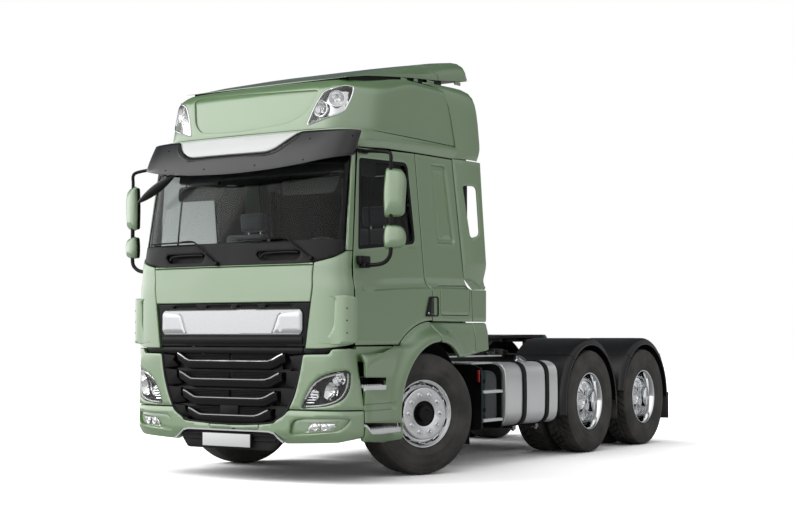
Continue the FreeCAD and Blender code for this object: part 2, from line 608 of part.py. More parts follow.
def coupling_base():
    """Mounting plate on the rails with a bored pedestal at each side."""
    plate = box(-RAIL_OUT, RAIL_OUT, COUPLING_Y - 380, COUPLING_Y + 380, FRAME_TOP, FRAME_TOP + BASE_T)
    top = PIVOT_Z + 36
    posts = [prism_x([(COUPLING_Y - 150, FRAME_TOP + BASE_T), (COUPLING_Y + 150, FRAME_TOP + BASE_T),
                      (COUPLING_Y + 40, top), (COUPLING_Y - 40, top)],
                     s * PEDESTAL_X - 25, s * PEDESTAL_X + 25) for s in (-1, 1)]
    base = fuse(plate, *posts)
    for s in (-1, 1):
        bore_r = PIVOT_R + RUN_GAP
        base = base.cut(rod_x(s * PEDESTAL_X - 26, s * PEDESTAL_X + 26, COUPLING_Y, PIVOT_Z, bore_r))
    return base


def fifth_wheel():
    """Rocking coupling plate with a guiding mouth at the rear and a bore for the trailer's kingpin."""
    y0, y1, h = COUPLING_Y - COUPLING_LEN, COUPLING_Y + COUPLING_LEN, COUPLING_HALF
    z0 = COUPLING_TOP - COUPLING_T
    disc = prism_z([(-h + 190, y0), (h - 190, y0), (h, y0 + 230), (h, COUPLING_Y + 60),
                    (h - 140, y1), (170, y1), (60, COUPLING_Y + 90), (-60, COUPLING_Y + 90),
                    (-170, y1), (-h + 140, y1), (-h, COUPLING_Y + 60), (-h, y0 + 230)], z0, COUPLING_TOP)
    inner = PEDESTAL_X - 25 - 4
    cheeks = [box(s * (inner - 20) - 20, s * (inner - 20) + 20, COUPLING_Y - 120, COUPLING_Y + 120,
                  PIVOT_Z - 40, z0) for s in (-1, 1)]
    pins = [rod_x(s * inner if s > 0 else -PEDESTAL_X - 20, PEDESTAL_X + 20 if s > 0 else -inner,
                  COUPLING_Y, PIVOT_Z, PIVOT_R) for s in (-1, 1)]
    plate = fuse(disc, *cheeks, *pins)
    return plate.cut(rod_z(z0 - 1, COUPLING_TOP + 1, 0, COUPLING_Y, KING_BORE_R))


def deck_plate():
    """Walkway on the rails between cab and coupling."""
    return box(-RAIL_OUT, RAIL_OUT, 1180, COUPLING_Y - 480, FRAME_TOP, FRAME_TOP + 8)


# ------------------------------------------------------------------ cab
WALL_FRONT = FRONT + SKIN + FACE_GAP
DOOR_SIDE_HALF = CAB_HALF - WALL - SEAM
WALL_IN_HALF = CAB_HALF - WALL - FACE_GAP
FLOOR_Y0 = FRONT + 290.0
PANEL_T = 45.0              # thickness of the lower rear side panel


def door_back_space(shift):
    """Space ahead of the door's slanted rear edge, moved back by shift."""
    low, top = DOOR_BACK + shift, DOOR_BACK_TOP + shift
    return prism_x([(-2500, CAB_Z - 300), (low, CAB_Z - 300), (low, STEP_Z), (low - DOOR_BACK_STEP, WAIST_Z),
                    (top, HEAD_Z + 40), (-2500, HEAD_Z + 40)], -2000, 2000)


def door_front_space(shift):
    """Space behind the door's front edge, moved forward by shift."""
    low, top = DOOR_FRONT - shift, DOOR_FRONT + DOOR_FRONT_LEAN - shift
    return prism_x([(low, CAB_Z - 300), (low, COWL_Z + 20), (top, HEAD_Z), (top, HEAD_Z + 40),
                    (2500, HEAD_Z + 40), (2500, CAB_Z - 300)], -2000, 2000)


def cab_floor():
    """Floor with the raised tunnel over the engine, and an arm at each side down to the tilt pin."""
    y_side = DOOR_BACK + 60
    floor = box(-DOOR_SIDE_HALF, DOOR_SIDE_HALF, FLOOR_Y0, y_side, FLOOR_Z, FLOOR_Z + FLOOR_T)
    rear = box(-WALL_IN_HALF, WALL_IN_HALF, y_side, CAB_BACK, FLOOR_Z, FLOOR_Z + FLOOR_T)
    hump = box(-TUNNEL_HALF - 30, TUNNEL_HALF + 30, FLOOR_Y0, CAB_BACK, FLOOR_Z, TUNNEL_Z + 30)
    hollow = box(-TUNNEL_HALF, TUNNEL_HALF, FLOOR_Y0 - 1, CAB_BACK + 1, FLOOR_Z - 1, TUNNEL_Z)
    sill = arch_disc(ARCH_R + ARCH_BAND + 25, DOOR_SIDE_HALF - 25, DOOR_SIDE_HALF)
    sill = sill.common(box(0, 2000, FLOOR_Y0, DOOR_BACK, FLOOR_Z, CAB_Z + 260))
    floor = fuse(floor, rear, hump, sill, mirrored(sill)).cut(hollow)
    arm_x0, arm_x1 = RAIL_OUT + 6, RAIL_OUT + 46
    arm = prism_x([(TILT_Y - 30, TILT_Z - 32), (TILT_Y + 300, TILT_Z - 32), (TILT_Y + 300, FLOOR_Z + 1),
                   (TILT_Y + 185, FLOOR_Z + 1), (TILT_Y + 120, TILT_Z + 40), (TILT_Y - 30, TILT_Z + 32)],
                  arm_x0, arm_x1)
    pin = rod_x(RAIL_OUT - 40, arm_x0 + 10, TILT_Y, TILT_Z, TILT_PIN_R)
    arm = fuse(arm, pin)
    return fuse(floor, arm, mirrored(arm))


LOCKER_Y0 = 168.0
LOCKER_Y1 = 658.0
LOCKER_Z0 = CAB_Z + 265.0
LOCKER_Z1 = STEP_Z - 12.0
LID_T = 22.0
LID_SEAT = 30.0
LID_PIN_R = 3.0
LID_PIN_X = CAB_HALF - 10.0
LID_PIN_Z = LOCKER_Z1 - 10.0
LID_EYES = [LOCKER_Y0 + 80.0, LOCKER_Y1 - 80.0]
COLLAR_T = 22.0
COLLAR_BACK = CAB_BACK + 290.0
COLLAR_BACK_TOP = CAB_BACK + 195.0
COLLAR_TIP = CAB_BACK + 95.0    # rear edge of the collar's upper end
COLLAR_SEAM_LOW = CAB_BACK - 115.0
COLLAR_SEAM_TOP = CAB_BACK - 245.0


def cab_sides():
    """Sleeper wall with its locker opening, and the rear wheel-arch panel below it, at each side."""
    wall = side_slab(-400, CAB_BACK).common(box(0, 2000, -400, CAB_BACK, SPLIT_Z, HEAD_Z + 10))
    skirt = box(CAB_HALF - WALL, CAB_HALF - PANEL_T - FACE_GAP, -400, CAB_BACK, FLOOR_Z, SPLIT_Z + 30)
    wall = fuse(wall, skirt).cut(door_back_space(SEAM))
    seat = box(CAB_HALF - LID_SEAT, CAB_HALF + 1, LOCKER_Y0 - SEAM, LOCKER_Y1 + SEAM,
               LOCKER_Z0 - SEAM, LOCKER_Z1 + SEAM + 2)
    hole = box(CAB_HALF - 100, CAB_HALF + 1, LOCKER_Y0 + 30, LOCKER_Y1 - 30, LOCKER_Z0 + 30, LOCKER_Z1 - 30)
    wall = wall.cut(seat).cut(hole)
    for y in LID_EYES:
        arm = box(CAB_HALF - LID_SEAT - 1, LID_PIN_X, y - 8, y + 8, LID_PIN_Z - 4, LID_PIN_Z + 4)
        wall = wall.multiFuse([arm, rod_y(y - 8, y + 8, LID_PIN_X, LID_PIN_Z, 6)])
        wall = wall.cut(rod_y(y - 9, y + 9, LID_PIN_X, LID_PIN_Z, LID_PIN_R + RUN_GAP))
    shoulder = prism_x([(COLLAR_SEAM_LOW, WAIST_Z + 10), (COLLAR_SEAM_TOP, HEAD_Z + 20),
                        (CAB_BACK + 50, HEAD_Z + 20), (CAB_BACK + 50, WAIST_Z + 10)], 0, 2000)
    wall = wall.cut(shoulder.common(prism_y(
        [(x_of_side(WAIST_Z) - COLLAR_T - FACE_GAP, WAIST_Z), (2000, WAIST_Z), (2000, HEAD_Z + 20),
         (x_of_side(HEAD_Z) - COLLAR_T - FACE_GAP - 1, HEAD_Z + 20)], -2000, 2000)))
    panel = prism_x([(SEAM_TOP_Y - 200, SPLIT_Z - SEAM), (COLLAR_BACK, SPLIT_Z - SEAM),
                     (COLLAR_BACK, CAB_Z - 50), (536, CAB_Z - 117), (SEAM_LOW_Y - 200, CAB_Z - 117)],
                    CAB_HALF - PANEL_T, CAB_HALF)
    flare = arch_disc(ARCH_R + 95, CAB_HALF - 10, FENDER_X).common(
        box(0, 2000, -400, 900, CAB_Z - 100, SPLIT_Z - SEAM))
    panel = fuse(panel, flare).cut(arch_disc(ARCH_R, 0, 2000)).common(seam_side(0, 2000, False, SEAM))
    return Part.makeCompound([wall, mirrored(wall), panel, mirrored(panel)])


def cab_back():
    waist = WALL_IN_HALF - WAIST_IN
    head = WALL_IN_HALF - LEAN_IN
    z0 = FLOOR_Z + FLOOR_T + FACE_GAP
    t, tz = TUNNEL_HALF + 30 + FACE_GAP, TUNNEL_Z + 30 + FACE_GAP
    half = [(t, tz), (t, z0), (WALL_IN_HALF, z0), (WALL_IN_HALF, STEP_Z), (waist, WAIST_Z), (head, HEAD_Z)]
    return prism_y(half + [(-x, z) for x, z in reversed(half)], CAB_BACK - WALL, CAB_BACK)


SCREEN_CUT = [(1062.0, GLASS_Z0 - 20), (1003.0, GLASS_Z1 - 10)]     # half width at foot and head
BULK_Z0 = CAB_Z + 40.0


def screen_hole(grow=0.0):
    (w0, z0), (w1, z1) = SCREEN_CUT
    w0, w1, z0, z1 = w0 + grow, w1 + grow, z0 - grow, z1 + grow
    return prism_y([(-w0, z0), (w0, z0), (w1, z1), (-w1, z1)], FRONT - 100, FRONT + 700)


def cab_front():
    """Front wall behind the outer panels, with the screen's frame above it and door hinge eyes."""
    low = front_shell(CAB_HALF, FRONT, BULK_Z0, COWL_Z + 30, WALL, inset=SKIN + FACE_GAP, depth=300)
    half = x_of_side(COWL_Z) - 2
    upper = front_shell(half, FRONT + SCREEN_IN, COWL_Z, HEAD_Z, WALL, lean=SCREEN_LEAN, depth=300)
    taper = [(x_of_side(COWL_Z), COWL_Z - 1), (x_of_side(HEAD_Z), HEAD_Z + 1)]
    upper = upper.common(prism_y(taper + [(-x, z) for x, z in reversed(taper)], -2000, 0))
    wall = fuse(low, upper).cut(screen_hole()).cut(door_front_space(DOOR_GAP_FRONT))
    for z in HINGE_Z:
        for s in (-1, 1):
            x = s * HINGE_X
            arm = box(x - 9, x + 9, HINGE_Y - 70, HINGE_Y, z - 18, z + 18)
            root = box(x - 45 if s > 0 else x - 9, x + 9 if s > 0 else x + 45,
                       HINGE_Y - 70, DOOR_FRONT - DOOR_GAP_FRONT, z - 18, z + 18)
            wall = wall.multiFuse([arm, root, rod_z(z - 18, z + 18, x, HINGE_Y, 14)])
            wall = wall.cut(rod_z(z - 19, z + 19, x, HINGE_Y, DOOR_PIN_R + RUN_GAP))
    for x in HATCH_EYES:
        arm = box(x - 12, x + 12, HATCH_PIN_Y, WALL_FRONT + 5, HATCH_PIN_Z - 6, HATCH_PIN_Z + 6)
        wall = wall.multiFuse([arm, rod_x(x - 12, x + 12, HATCH_PIN_Y, HATCH_PIN_Z, 8.5)])
        wall = wall.cut(rod_x(x - 13, x + 13, HATCH_PIN_Y, HATCH_PIN_Z, HATCH_PIN_R + RUN_GAP))
    return wall.removeSplitter()


HINGE_X = CAB_HALF - 25.0
HINGE_Y = DOOR_FRONT + 20.0
HINGE_Z = [CAB_Z + 110.0, CAB_Z + 420.0]


def windscreen():
    """Bonded laminated screen filling the opening of its frame."""
    half = x_of_side(COWL_Z) - 2
    pane = front_shell(half, FRONT + SCREEN_IN + 14, COWL_Z, HEAD_Z, 14, lean=SCREEN_LEAN, depth=420)
    return pane.common(screen_hole(-FACE_GAP))


HATCH_Z0 = CAB_Z - 15.0
HATCH_Z1 = CAB_Z + 655.0
HATCH_LOW = 826.0           # half width at the foot
HATCH_TOP = 889.0           # half width at the head
HATCH_T = 28.0
HATCH_PIN_Y = FRONT + 15.0
HATCH_PIN_Z = HATCH_Z1 - 15.0
HATCH_PIN_R = 4.0
HATCH_EYES = [-150.0, 150.0]
CORNER_Z0 = CAB_Z + 15.0


def hatch_outline(grow):
    w0, w1 = HATCH_LOW + grow, HATCH_TOP + grow
    return prism_y([(-w0, HATCH_Z0 - 60), (w0, HATCH_Z0 - 60), (w1, HATCH_Z1 + 60), (-w1, HATCH_Z1 + 60)],
                   FRONT - 50, FRONT + 400)


def front_panel():
    """Service lid across the front of the cab, hinged along its top edge."""
    panel = front_shell(CAB_HALF, FRONT, HATCH_Z0, HATCH_Z1, HATCH_T).common(hatch_outline(0.0))
    for x in HATCH_EYES:
        notch = box(x - 22, x + 22, HATCH_PIN_Y - 11, HATCH_PIN_Y + 60, HATCH_PIN_Z - 16, HATCH_Z1 + 1)
        panel = panel.cut(notch).fuse(rod_x(x - 23, x + 23, HATCH_PIN_Y, HATCH_PIN_Z, HATCH_PIN_R))
    return panel.removeSplitter()


def corner_panels():
    panel = front_shell(CAB_HALF, FRONT, CORNER_Z0, HATCH_Z1, SKIN, depth=300)
    panel = panel.cut(hatch_outline(SEAM)).cut(door_front_space(DOOR_GAP_FRONT))
    for z in HINGE_Z:
        for s in (-1, 1):
            notch = box(HINGE_X - 53, HINGE_X + 16, HINGE_Y - 80, HINGE_Y, z - 25, z + 25)
            panel = panel.cut(notch if s > 0 else mirrored(notch))
    return panel


VISOR_Z0 = HEAD_Z - 55.0
VISOR_Z1 = HEAD_Z + 178.0
VISOR_FRONT = FRONT + 12.0
VISOR_LEAN = 0.5
ROOF_FRONT = -FRONT_OVERHANG + 181.0
ROOF_LEAN = 0.22
ROOF_T = 40.0
ROOF_SHOULDER = 130.0
ROOF_SKIRT = 205.0          # height of the wide foot under the narrower body
ROOF_TURN_X = 0.895         # the body's broad corner: x share of the half width, and how far back
ROOF_TURN_Y = 196.0
ROOF_SIDE_Y = 371.0


def roof_body(inset, z0, z1):
    """Upper body of the roof, whose front corners are cut back in a broad curve."""
    wide = x_of_side(HEAD_Z) - inset
    front = ROOF_FRONT + inset + ROOF_LEAN * (z0 - HEAD_Z)
    xy = [(PLAN_MID_X * wide, PLAN_MID_Y), (ROOF_TURN_X * wide, ROOF_TURN_Y), (wide, ROOF_SIDE_Y)]
    p = [Vector(x, front + y, z0) for x, y in xy]
    m = [Vector(-v.x, v.y, v.z) for v in p]
    back = [Vector(wide, front + 2600, z0), Vector(-wide, front + 2600, z0)]
    arcs = [Part.Arc(m[2], m[1], m[0]), Part.Arc(m[0], Vector(0, front, z0), p[0]),
            Part.Arc(p[0], p[1], p[2])]
    runs = [Part.LineSegment(a, b) for a, b in ((p[2], back[0]), (back[0], back[1]), (back[1], m[2]))]
    ring = Part.Wire([e.toShape() for e in arcs + runs])
    return Part.Face(ring).extrude(Vector(0, ROOF_LEAN * (z1 - z0), z1 - z0))


def roof_solid(inset):
    """Roof block inset by one thickness all round, open downwards: a wide foot and a narrower body."""
    half = x_of_side(HEAD_Z) - inset
    top = HEAD_Z + ROOF_H - inset
    z0 = HEAD_Z + FACE_GAP if inset == 0 else HEAD_Z - 1
    step = HEAD_Z + ROOF_SKIRT - inset
    foot = front_fill(x_of_side(HEAD_Z), ROOF_FRONT, z0, step, inset, ROOF_LEAN, 2600)
    block = foot.fuse(roof_body(inset, step, top))
    block = block.common(prism_y([(-half, z0), (half, z0), (half - 4, top - ROOF_SHOULDER),
                                  (half - 110, top - 40), (half - 400, top), (-half + 400, top),
                                  (-half + 110, top - 40), (-half + 4, top - ROOF_SHOULDER)], -2000, 2000))
    return block.common(prism_x([(-1500, z0), (-1500, top - 330), (-1130 + inset, top - 170),
                                 (-900 + inset, top - 25), (-640 + inset, top), (CAB_BACK - inset, top),
                                 (CAB_BACK - inset, z0)], -2000, 2000))


def cab_roof():
    return roof_solid(0.0).cut(roof_solid(ROOF_T))


LAMP_ROOF = [(664, 236), (871, 291), (968, 585), (762, 562)]      # x, rise above the roof's foot
LAMP_PROUD = 16.0


def roof_lamps():
    """Pair of driving-lamp housings let into the front of the roof."""
    pts = [(x, HEAD_Z + rise) for x, rise in LAMP_ROOF]
    pane = roof_body(-LAMP_PROUD, HEAD_Z + ROOF_SKIRT + 10, HEAD_Z + ROOF_H - 60)
    body = roof_solid(0.0)
    body.translate(Vector(0, -FACE_GAP, 0))
    lamp = pane.common(prism_y(pts, -2000, 0)).cut(body)
    return both(max(lamp.Solids, key=lambda s: s.Volume))


def sun_visor():
    """Tinted visor across the head of the screen, on three brackets."""
    half = x_of_side(HEAD_Z) + 16
    blade = front_shell(half, VISOR_FRONT, VISOR_Z0, VISOR_Z1, 10, lean=VISOR_LEAN, depth=330)
    stays = [box(x - 12, x + 12, VISOR_FRONT + 60, ROOF_FRONT + 100, HEAD_Z + 60, HEAD_Z + 90)
             for x in (-640, 0, 640)]
    solid = fuse(blade, *stays).cut(roof_solid(0.0)).cut(door_front_space(DOOR_GAP_FRONT))
    return max(solid.Solids, key=lambda s: s.Volume)


WING_TOP = HEAD_Z + ROOF_H + 417.0
WING_HALF = CAB_HALF - 250.0
WING_FOOT_IN = 190.0        # how far its foot lies in from its sides, where the roof is flat
WING_FRONT = -860.0
WING_RIDGE_Y = 466.0
WING_RIDGE_H = 316.0
WING_BACK = CAB_BACK + 440.0
WING_LIP_H = 246.0


def roof_wing():
    """Air deflector on the roof: a closed fairing that rises rearwards and ends in an overhanging lip."""
    base = HEAD_Z + ROOF_H
    half, foot = WING_HALF, WING_HALF - WING_FOOT_IN
    body = prism_x([(WING_FRONT, base + FACE_GAP), (WING_RIDGE_Y, base + WING_RIDGE_H),
                    (WING_BACK - 150, WING_TOP), (WING_BACK, base + WING_LIP_H),
                    (CAB_BACK + 10, base + WING_LIP_H - 90), (CAB_BACK - 30, base + FACE_GAP)], -half, half)
    return body.common(prism_y([(-foot, base), (foot, base), (half, base + 130), (half, base + 300),
                                (half - 40, WING_TOP + 1), (-half + 40, WING_TOP + 1), (-half, base + 300),
                                (-half, base + 130)], -2000, 2000))


def side_collars():
    """Side deflector that carries the cab's side past its rear wall, with an open slot."""
    low = prism_x([(CAB_BACK + FACE_GAP, SPLIT_Z), (COLLAR_BACK, SPLIT_Z), (COLLAR_BACK - 25, WAIST_Z + 20),
                   (CAB_BACK + FACE_GAP, WAIST_Z + 20)], 0, 2000)
    high = prism_x([(COLLAR_SEAM_LOW + SEAM, WAIST_Z + 18), (COLLAR_BACK - 25, WAIST_Z + 18),
                    (COLLAR_BACK_TOP, HEAD_Z), (COLLAR_SEAM_TOP + SEAM, HEAD_Z)], 0, 2000)
    slab = side_slab(-400, 2000)
    sheet = prism_y(side_profile(COLLAR_T), -400, 2000)
    slot = prism_x([(CAB_BACK + 30, HEAD_Z - 645), (CAB_BACK + 110, HEAD_Z - 645),
                    (CAB_BACK + 70, HEAD_Z - 155), (CAB_BACK + 15, HEAD_Z - 155)], 0, 2000)
    head = x_of_side(HEAD_Z)
    upper = prism_x([(CAB_BACK + FACE_GAP, HEAD_Z - 1), (COLLAR_BACK_TOP, HEAD_Z - 1),
                     (COLLAR_BACK - 130, HEAD_Z + 150), (COLLAR_TIP, HEAD_Z + ROOF_H + 45),
                     (CAB_BACK + FACE_GAP, HEAD_Z + ROOF_H + 35)], head - COLLAR_T, head)
    collar = fuse(slab.common(low).common(sheet), sheet.common(high), upper).cut(slot)
    return both(collar)


DASH_Z0 = CAB_Z + 420.0
DASH_Z1 = CAB_Z + 690.0


def dashboard():
    """Fascia across the cab, with the steering column and wheel."""
    fascia = front_fill(CAB_HALF, FRONT, DASH_Z0, DASH_Z1, SKIN + WALL + 2 * FACE_GAP, 0.0, 470)
    x, y, z = 640.0, FRONT + 640.0, DASH_Z1 + 90
    axis = Vector(0, 0.55, 0.83)
    ring = Part.makeTorus(225, 15, Vector(x, y, z), axis)
    hub = Part.makeCylinder(45, 40, Vector(x, y, z) - axis * 20, axis)
    spokes = [rod((x - 225 * s, y, z), (x, y, z), 14) for s in (-1, 1)]
    column = rod((x, y, z), (x, FRONT + 400, DASH_Z1 - 140), 28)
    return fuse(fascia, ring, hub, *spokes, column)


def seats():
    """Driver's and passenger's seats on their bases."""
    z = FLOOR_Z + FLOOR_T + FACE_GAP
    made = []
    for s in (-1, 1):
        x = s * 700
        pedestal = box(x - 200, x + 200, -700, -280, z, z + 200)
        cushion = box(x - 250, x + 250, -780, -230, z + 200, z + 320)
        lean = [(-330, z + 320), (-220, z + 320), (-130, z + 1060), (-220, z + 1060)]
        back = prism_x(lean, x - 235, x + 235)
        made.append(fuse(pedestal, cushion, back))
    return Part.makeCompound(made)


def bunk():
    z = TUNNEL_Z + 30 + FACE_GAP
    base = box(-WALL_IN_HALF + 25, WALL_IN_HALF - 25, 80, CAB_BACK - WALL - FACE_GAP, z, z + 130)
    mattress = box(-WALL_IN_HALF + 45, WALL_IN_HALF - 45, 90, CAB_BACK - WALL - FACE_GAP, z + 129, z + 260)
    return fuse(base, mattress)


# ------------------------------------------------------------------ doors and lids
# window opening: y, rise above the door's lower edge
WINDOW = [(-1083.0, 788.0), (-1040.0, 1539.0), (-297.0, 1565.0), (-205.0, 884.0)]


def window_prism(inset):
    cy = sum(y for y, _ in WINDOW) / 4
    cz = sum(z for _, z in WINDOW) / 4
    pts = [(y + (inset if y < cy else -inset), z + (inset if z < cz else -inset)) for y, z in WINDOW]
    return prism_x([(y, CAB_Z + z) for y, z in pts], 0, 2000)


def door():
    """Left door, with its window opening and a hinge pin across two notches in its front edge."""
    slab = side_slab(DOOR_FRONT - 50, DOOR_BACK + 60)
    slab = slab.common(door_front_space(0.0)).common(door_back_space(0.0))
    slab = slab.common(box(0, 2000, -2000, 200, CAB_Z, HEAD_Z - SEAM))
    slab = slab.cut(arch_disc(ARCH_R + ARCH_BAND, 0, 2000)).cut(window_prism(0.0))
    slab = slab.cut(box(0, 2000, 0, 200, 0, SPLIT_Z))
    for z in HINGE_Z:
        slab = slab.cut(box(HINGE_X - 60, HINGE_X + 60, HINGE_Y - 60, HINGE_Y + 26, z - 26, z + 26))
        slab = slab.fuse(rod_z(z - 27, z + 27, HINGE_X, HINGE_Y, DOOR_PIN_R))
    return slab.removeSplitter()


def door_glass():
    skin = [(x_of_side(WAIST_Z) - 24, WAIST_Z), (x_of_side(HEAD_Z) - 24, HEAD_Z)]
    pane = prism_y(skin + [(x - 6, z) for x, z in reversed(skin)], -2000, 0)
    return pane.common(window_prism(FACE_GAP))


MIRROR_X, MIRROR_Y = 1455.0, -1040.0    # middle of the left mirror heads, in plan
MIRROR_W, MIRROR_T = 200.0, 90.0        # width and depth of a head
MIRROR_TURN = 25.0                      # outer edge turned back, degrees
ARM_IN, ARM_FWD = 25.0, 30.0            # the upright stands this far inboard and forward of the middle
ARM_TOP_Y, ARM_LOW_Y = -1000.0, -1060.0     # where the arms leave the door


def mirror_head(z0, z1):
    head = box(-MIRROR_W / 2, MIRROR_W / 2, -MIRROR_T / 2, MIRROR_T / 2, z0, z1)
    head.rotate(Vector(0, 0, 0), Vector(0, 0, 1), MIRROR_TURN)
    head.translate(Vector(MIRROR_X, MIRROR_Y, 0))
    return head


def mirror():
    """Left main and wide-angle mirror housings on arms from the door."""
    z_top, z_low = HEAD_Z - 45, HEAD_Z - 880
    arm_x, arm_y, arm_r = MIRROR_X - ARM_IN, MIRROR_Y - ARM_FWD, 14
    main = mirror_head(HEAD_Z - 570, HEAD_Z - 150)
    wide = mirror_head(HEAD_Z - 830, HEAD_Z - 615)
    spine = box(arm_x - 20, arm_x + 20, arm_y - 15, arm_y + 15, z_low - 14, z_top + 14)
    top = rod((x_of_side(z_top) - 8, ARM_TOP_Y, z_top), (arm_x, arm_y, z_top), arm_r)
    low = rod((x_of_side(z_low) - 8, ARM_LOW_Y, z_low), (arm_x, arm_y, z_low), arm_r)
    z0, z1 = HEAD_Z - 950, HEAD_Z - 10
    side_x0, side_x1 = x_of_side(z0) + FACE_GAP, x_of_side(z1) + FACE_GAP
    door_side = prism_y([(0, z0), (side_x0, z0), (side_x1, z1), (0, z1)], -2000, 0)
    return fuse(main, wide, spine, top, low).cut(door_side)


def locker_lid():
    lid = box(CAB_HALF - LID_T, CAB_HALF, LOCKER_Y0, LOCKER_Y1, LOCKER_Z0, LOCKER_Z1)
    for y in LID_EYES:
        notch = box(CAB_HALF - LID_T - 1, CAB_HALF + 1, y - 14, y + 14, LID_PIN_Z - 12, LOCKER_Z1 + 1)
        lid = lid.cut(notch).fuse(rod_y(y - 15, y + 15, LID_PIN_X, LID_PIN_Z, LID_PIN_R))
    return lid.removeSplitter()


# ------------------------------------------------------------------ wheels
HALF_RIM = RIM_W / 2
BARREL_R = RIM_SEAT_R - RIM_WALL


def tyre(x):
    w, r = TYRE_W / 2, TYRE_R
    bead = HALF_RIM - FACE_GAP
    profile = [(-bead, BEAD_R), (-bead, 304), (-w + 8, 350), (-w, 412), (-w + 8, 478), (-w + 22, r - 22),
               (-w + 32, r - 4), (-90, r), (90, r), (w - 32, r - 4), (w - 22, r - 22), (w - 8, 478), (w, 412),
               (w - 8, 350), (bead, 304), (bead, BEAD_R), (bead - 30, BEAD_R), (bead - 22, 330), (w - 32, 400),
               (w - 50, r - 60), (-w + 50, r - 60), (-w + 32, 400), (-bead + 22, 330), (-bead + 30, BEAD_R)]
    return turned_x(profile, x, 0, TYRE_R)


def rim(x):
    h, f = HALF_RIM, HALF_RIM + FLANGE_T
    return turned_x([(-f, FLANGE_R), (-h, FLANGE_R), (-h, RIM_SEAT_R), (h, RIM_SEAT_R), (h, FLANGE_R),
                     (f, FLANGE_R), (f, BARREL_R), (-f, BARREL_R)], x, 0, TYRE_R)


FRONT_DISC = 128.0
SPINDLE_END = FRONT_TRACK_HALF + 86.0


def front_wheel():
    """Left front wheel: rim, bulging disc and hub in one, running on the stub axle."""
    x, r = FRONT_TRACK_HALF, BARREL_R + 1
    d = FRONT_DISC
    disc = turned_x([(d, HUB_R - 20), (d, 226), (40, r), (58, r), (d + DISC_T, 232), (d + DISC_T, HUB_R - 20)],
                    x, 0, TYRE_R)
    hub = turned_x([(-40, 0), (-40, HUB_R - 20), (d, HUB_R), (d + DISC_T, HUB_R), (d + DISC_T, 92),
                    (d + 52, 84), (d + 52, 0)], x, 0, TYRE_R)
    wheel = fuse(rim(x), disc, hub)
    return wheel.cut(rod_x(x - 41, SPINDLE_END + 3, 0, TYRE_R, SPINDLE_R + RUN_GAP))


def twin_wheel():
    """Left pair of rear rims bolted disc to disc on one hub."""
    mid, r, t = TWIN_OUT - TWIN_PITCH / 2, BARREL_R + 1, DISC_T
    near = TWIN_PITCH / 2 - HALF_RIM - FLANGE_T
    ring = turned_x([(-t, HUB_R - 20), (-t, 232), (-near - 40, r), (-near - 5, r), (0, 246), (near + 5, r),
                     (near + 40, r), (t, 232), (t, HUB_R - 20)], mid, 0, TYRE_R)
    hub = turned_x([(-250, 0), (-250, HUB_R), (110, HUB_R), (120, 105), (205, 98), (205, 0)], mid, 0, TYRE_R)
    wheel = fuse(rim(TWIN_OUT), rim(TWIN_OUT - TWIN_PITCH), ring, hub)
    return wheel.cut(rod_x(mid - 251, TWIN_OUT - 37, 0, TYRE_R, SPINDLE_R + RUN_GAP))


def knuckle():
    """Left steering knuckle: kingpin, fork and stub axle."""
    x, z = KINGPIN_X, TYRE_R
    pin = rod_z(z - 108, z + 108, x, 0, KINGPIN_R)
    top = box(x - 45, x + 75, -40, 40, z + 78, z + 108)
    low = box(x - 45, x + 75, -40, 40, z - 108, z - 78)
    back = box(x + 56, x + 78, -60, 60, z - 108, z + 108)
    spindle = rod_x(x + 60, SPINDLE_END, 0, z, SPINDLE_R)
    return fuse(pin, top, low, back, spindle)


def steered(shape, side):
    """Turn a front-wheel piece about its kingpin to the angle at which the vehicle stands."""
    turned = shape.copy()
    turned.rotate(Vector(side * KINGPIN_X, 0, 0), Vector(0, 0, 1), -STEER_REST)
    return turned


def moved_y(shape, y):
    out = shape.copy()
    out.translate(Vector(0, y, 0))
    return out


# ------------------------------------------------------------------ all nodes
def all_nodes():
    nodes = {
        "frame_rails": frame_rails(),
        "crossmembers": crossmembers(),
        "axles": axles(),
        "suspension": suspension(),
        "powertrain": powertrain(),
        "bumper": bumper(),
        "grille": grille(),
        "lamps": lamps(),
        "step_panels": step_panels(),
        "arch_liners": arch_liners(),
        "rear_mudguards": rear_mudguards(),
        "fuel_tank": fuel_tank(),
        "step_box": step_box(),
        "exhaust_box": exhaust_box(),
        "coupling_base": coupling_base(),
        "deck_plate": deck_plate(),
        "fifth_wheel": fifth_wheel(),
        "cab_floor": cab_floor(),
        "cab_sides": cab_sides(),
        "cab_back": cab_back(),
        "cab_front": cab_front(),
        "cab_roof": cab_roof(),
        "corner_panels": corner_panels(),
        "windscreen": windscreen(),
        "sun_visor": sun_visor(),
        "roof_lamps": roof_lamps(),
        "roof_wing": roof_wing(),
        "side_collars": side_collars(),
        "dashboard": dashboard(),
        "seats": seats(),
        "bunk": bunk(),
        "front_panel": front_panel(),
    }
    for name, shape in (("door", door()), ("door_glass", door_glass()), ("mirror", mirror()),
                        ("locker_lid", locker_lid())):
        nodes[name + "_left"] = shape
        nodes[name + "_right"] = mirrored(shape)
    front_set = (("knuckle", knuckle()), ("wheel_front", front_wheel()),
                 ("tyre_front", tyre(FRONT_TRACK_HALF)))
    for name, shape in front_set:
        nodes[name + "_left"] = steered(shape, 1)
        nodes[name + "_right"] = steered(mirrored(shape), -1)
    tyres = Part.makeCompound([tyre(TWIN_OUT), tyre(TWIN_OUT - TWIN_PITCH)])
    twins = twin_wheel()
    for name, y in (("drive1", WHEELBASE), ("drive2", WHEELBASE + BOGIE)):
        for kind, shape in (("wheel", twins), ("tyre", tyres)):
            nodes[f"{kind}_{name}_left"] = moved_y(shape, y)
            nodes[f"{kind}_{name}_right"] = moved_y(mirrored(shape), y)
    return nodes


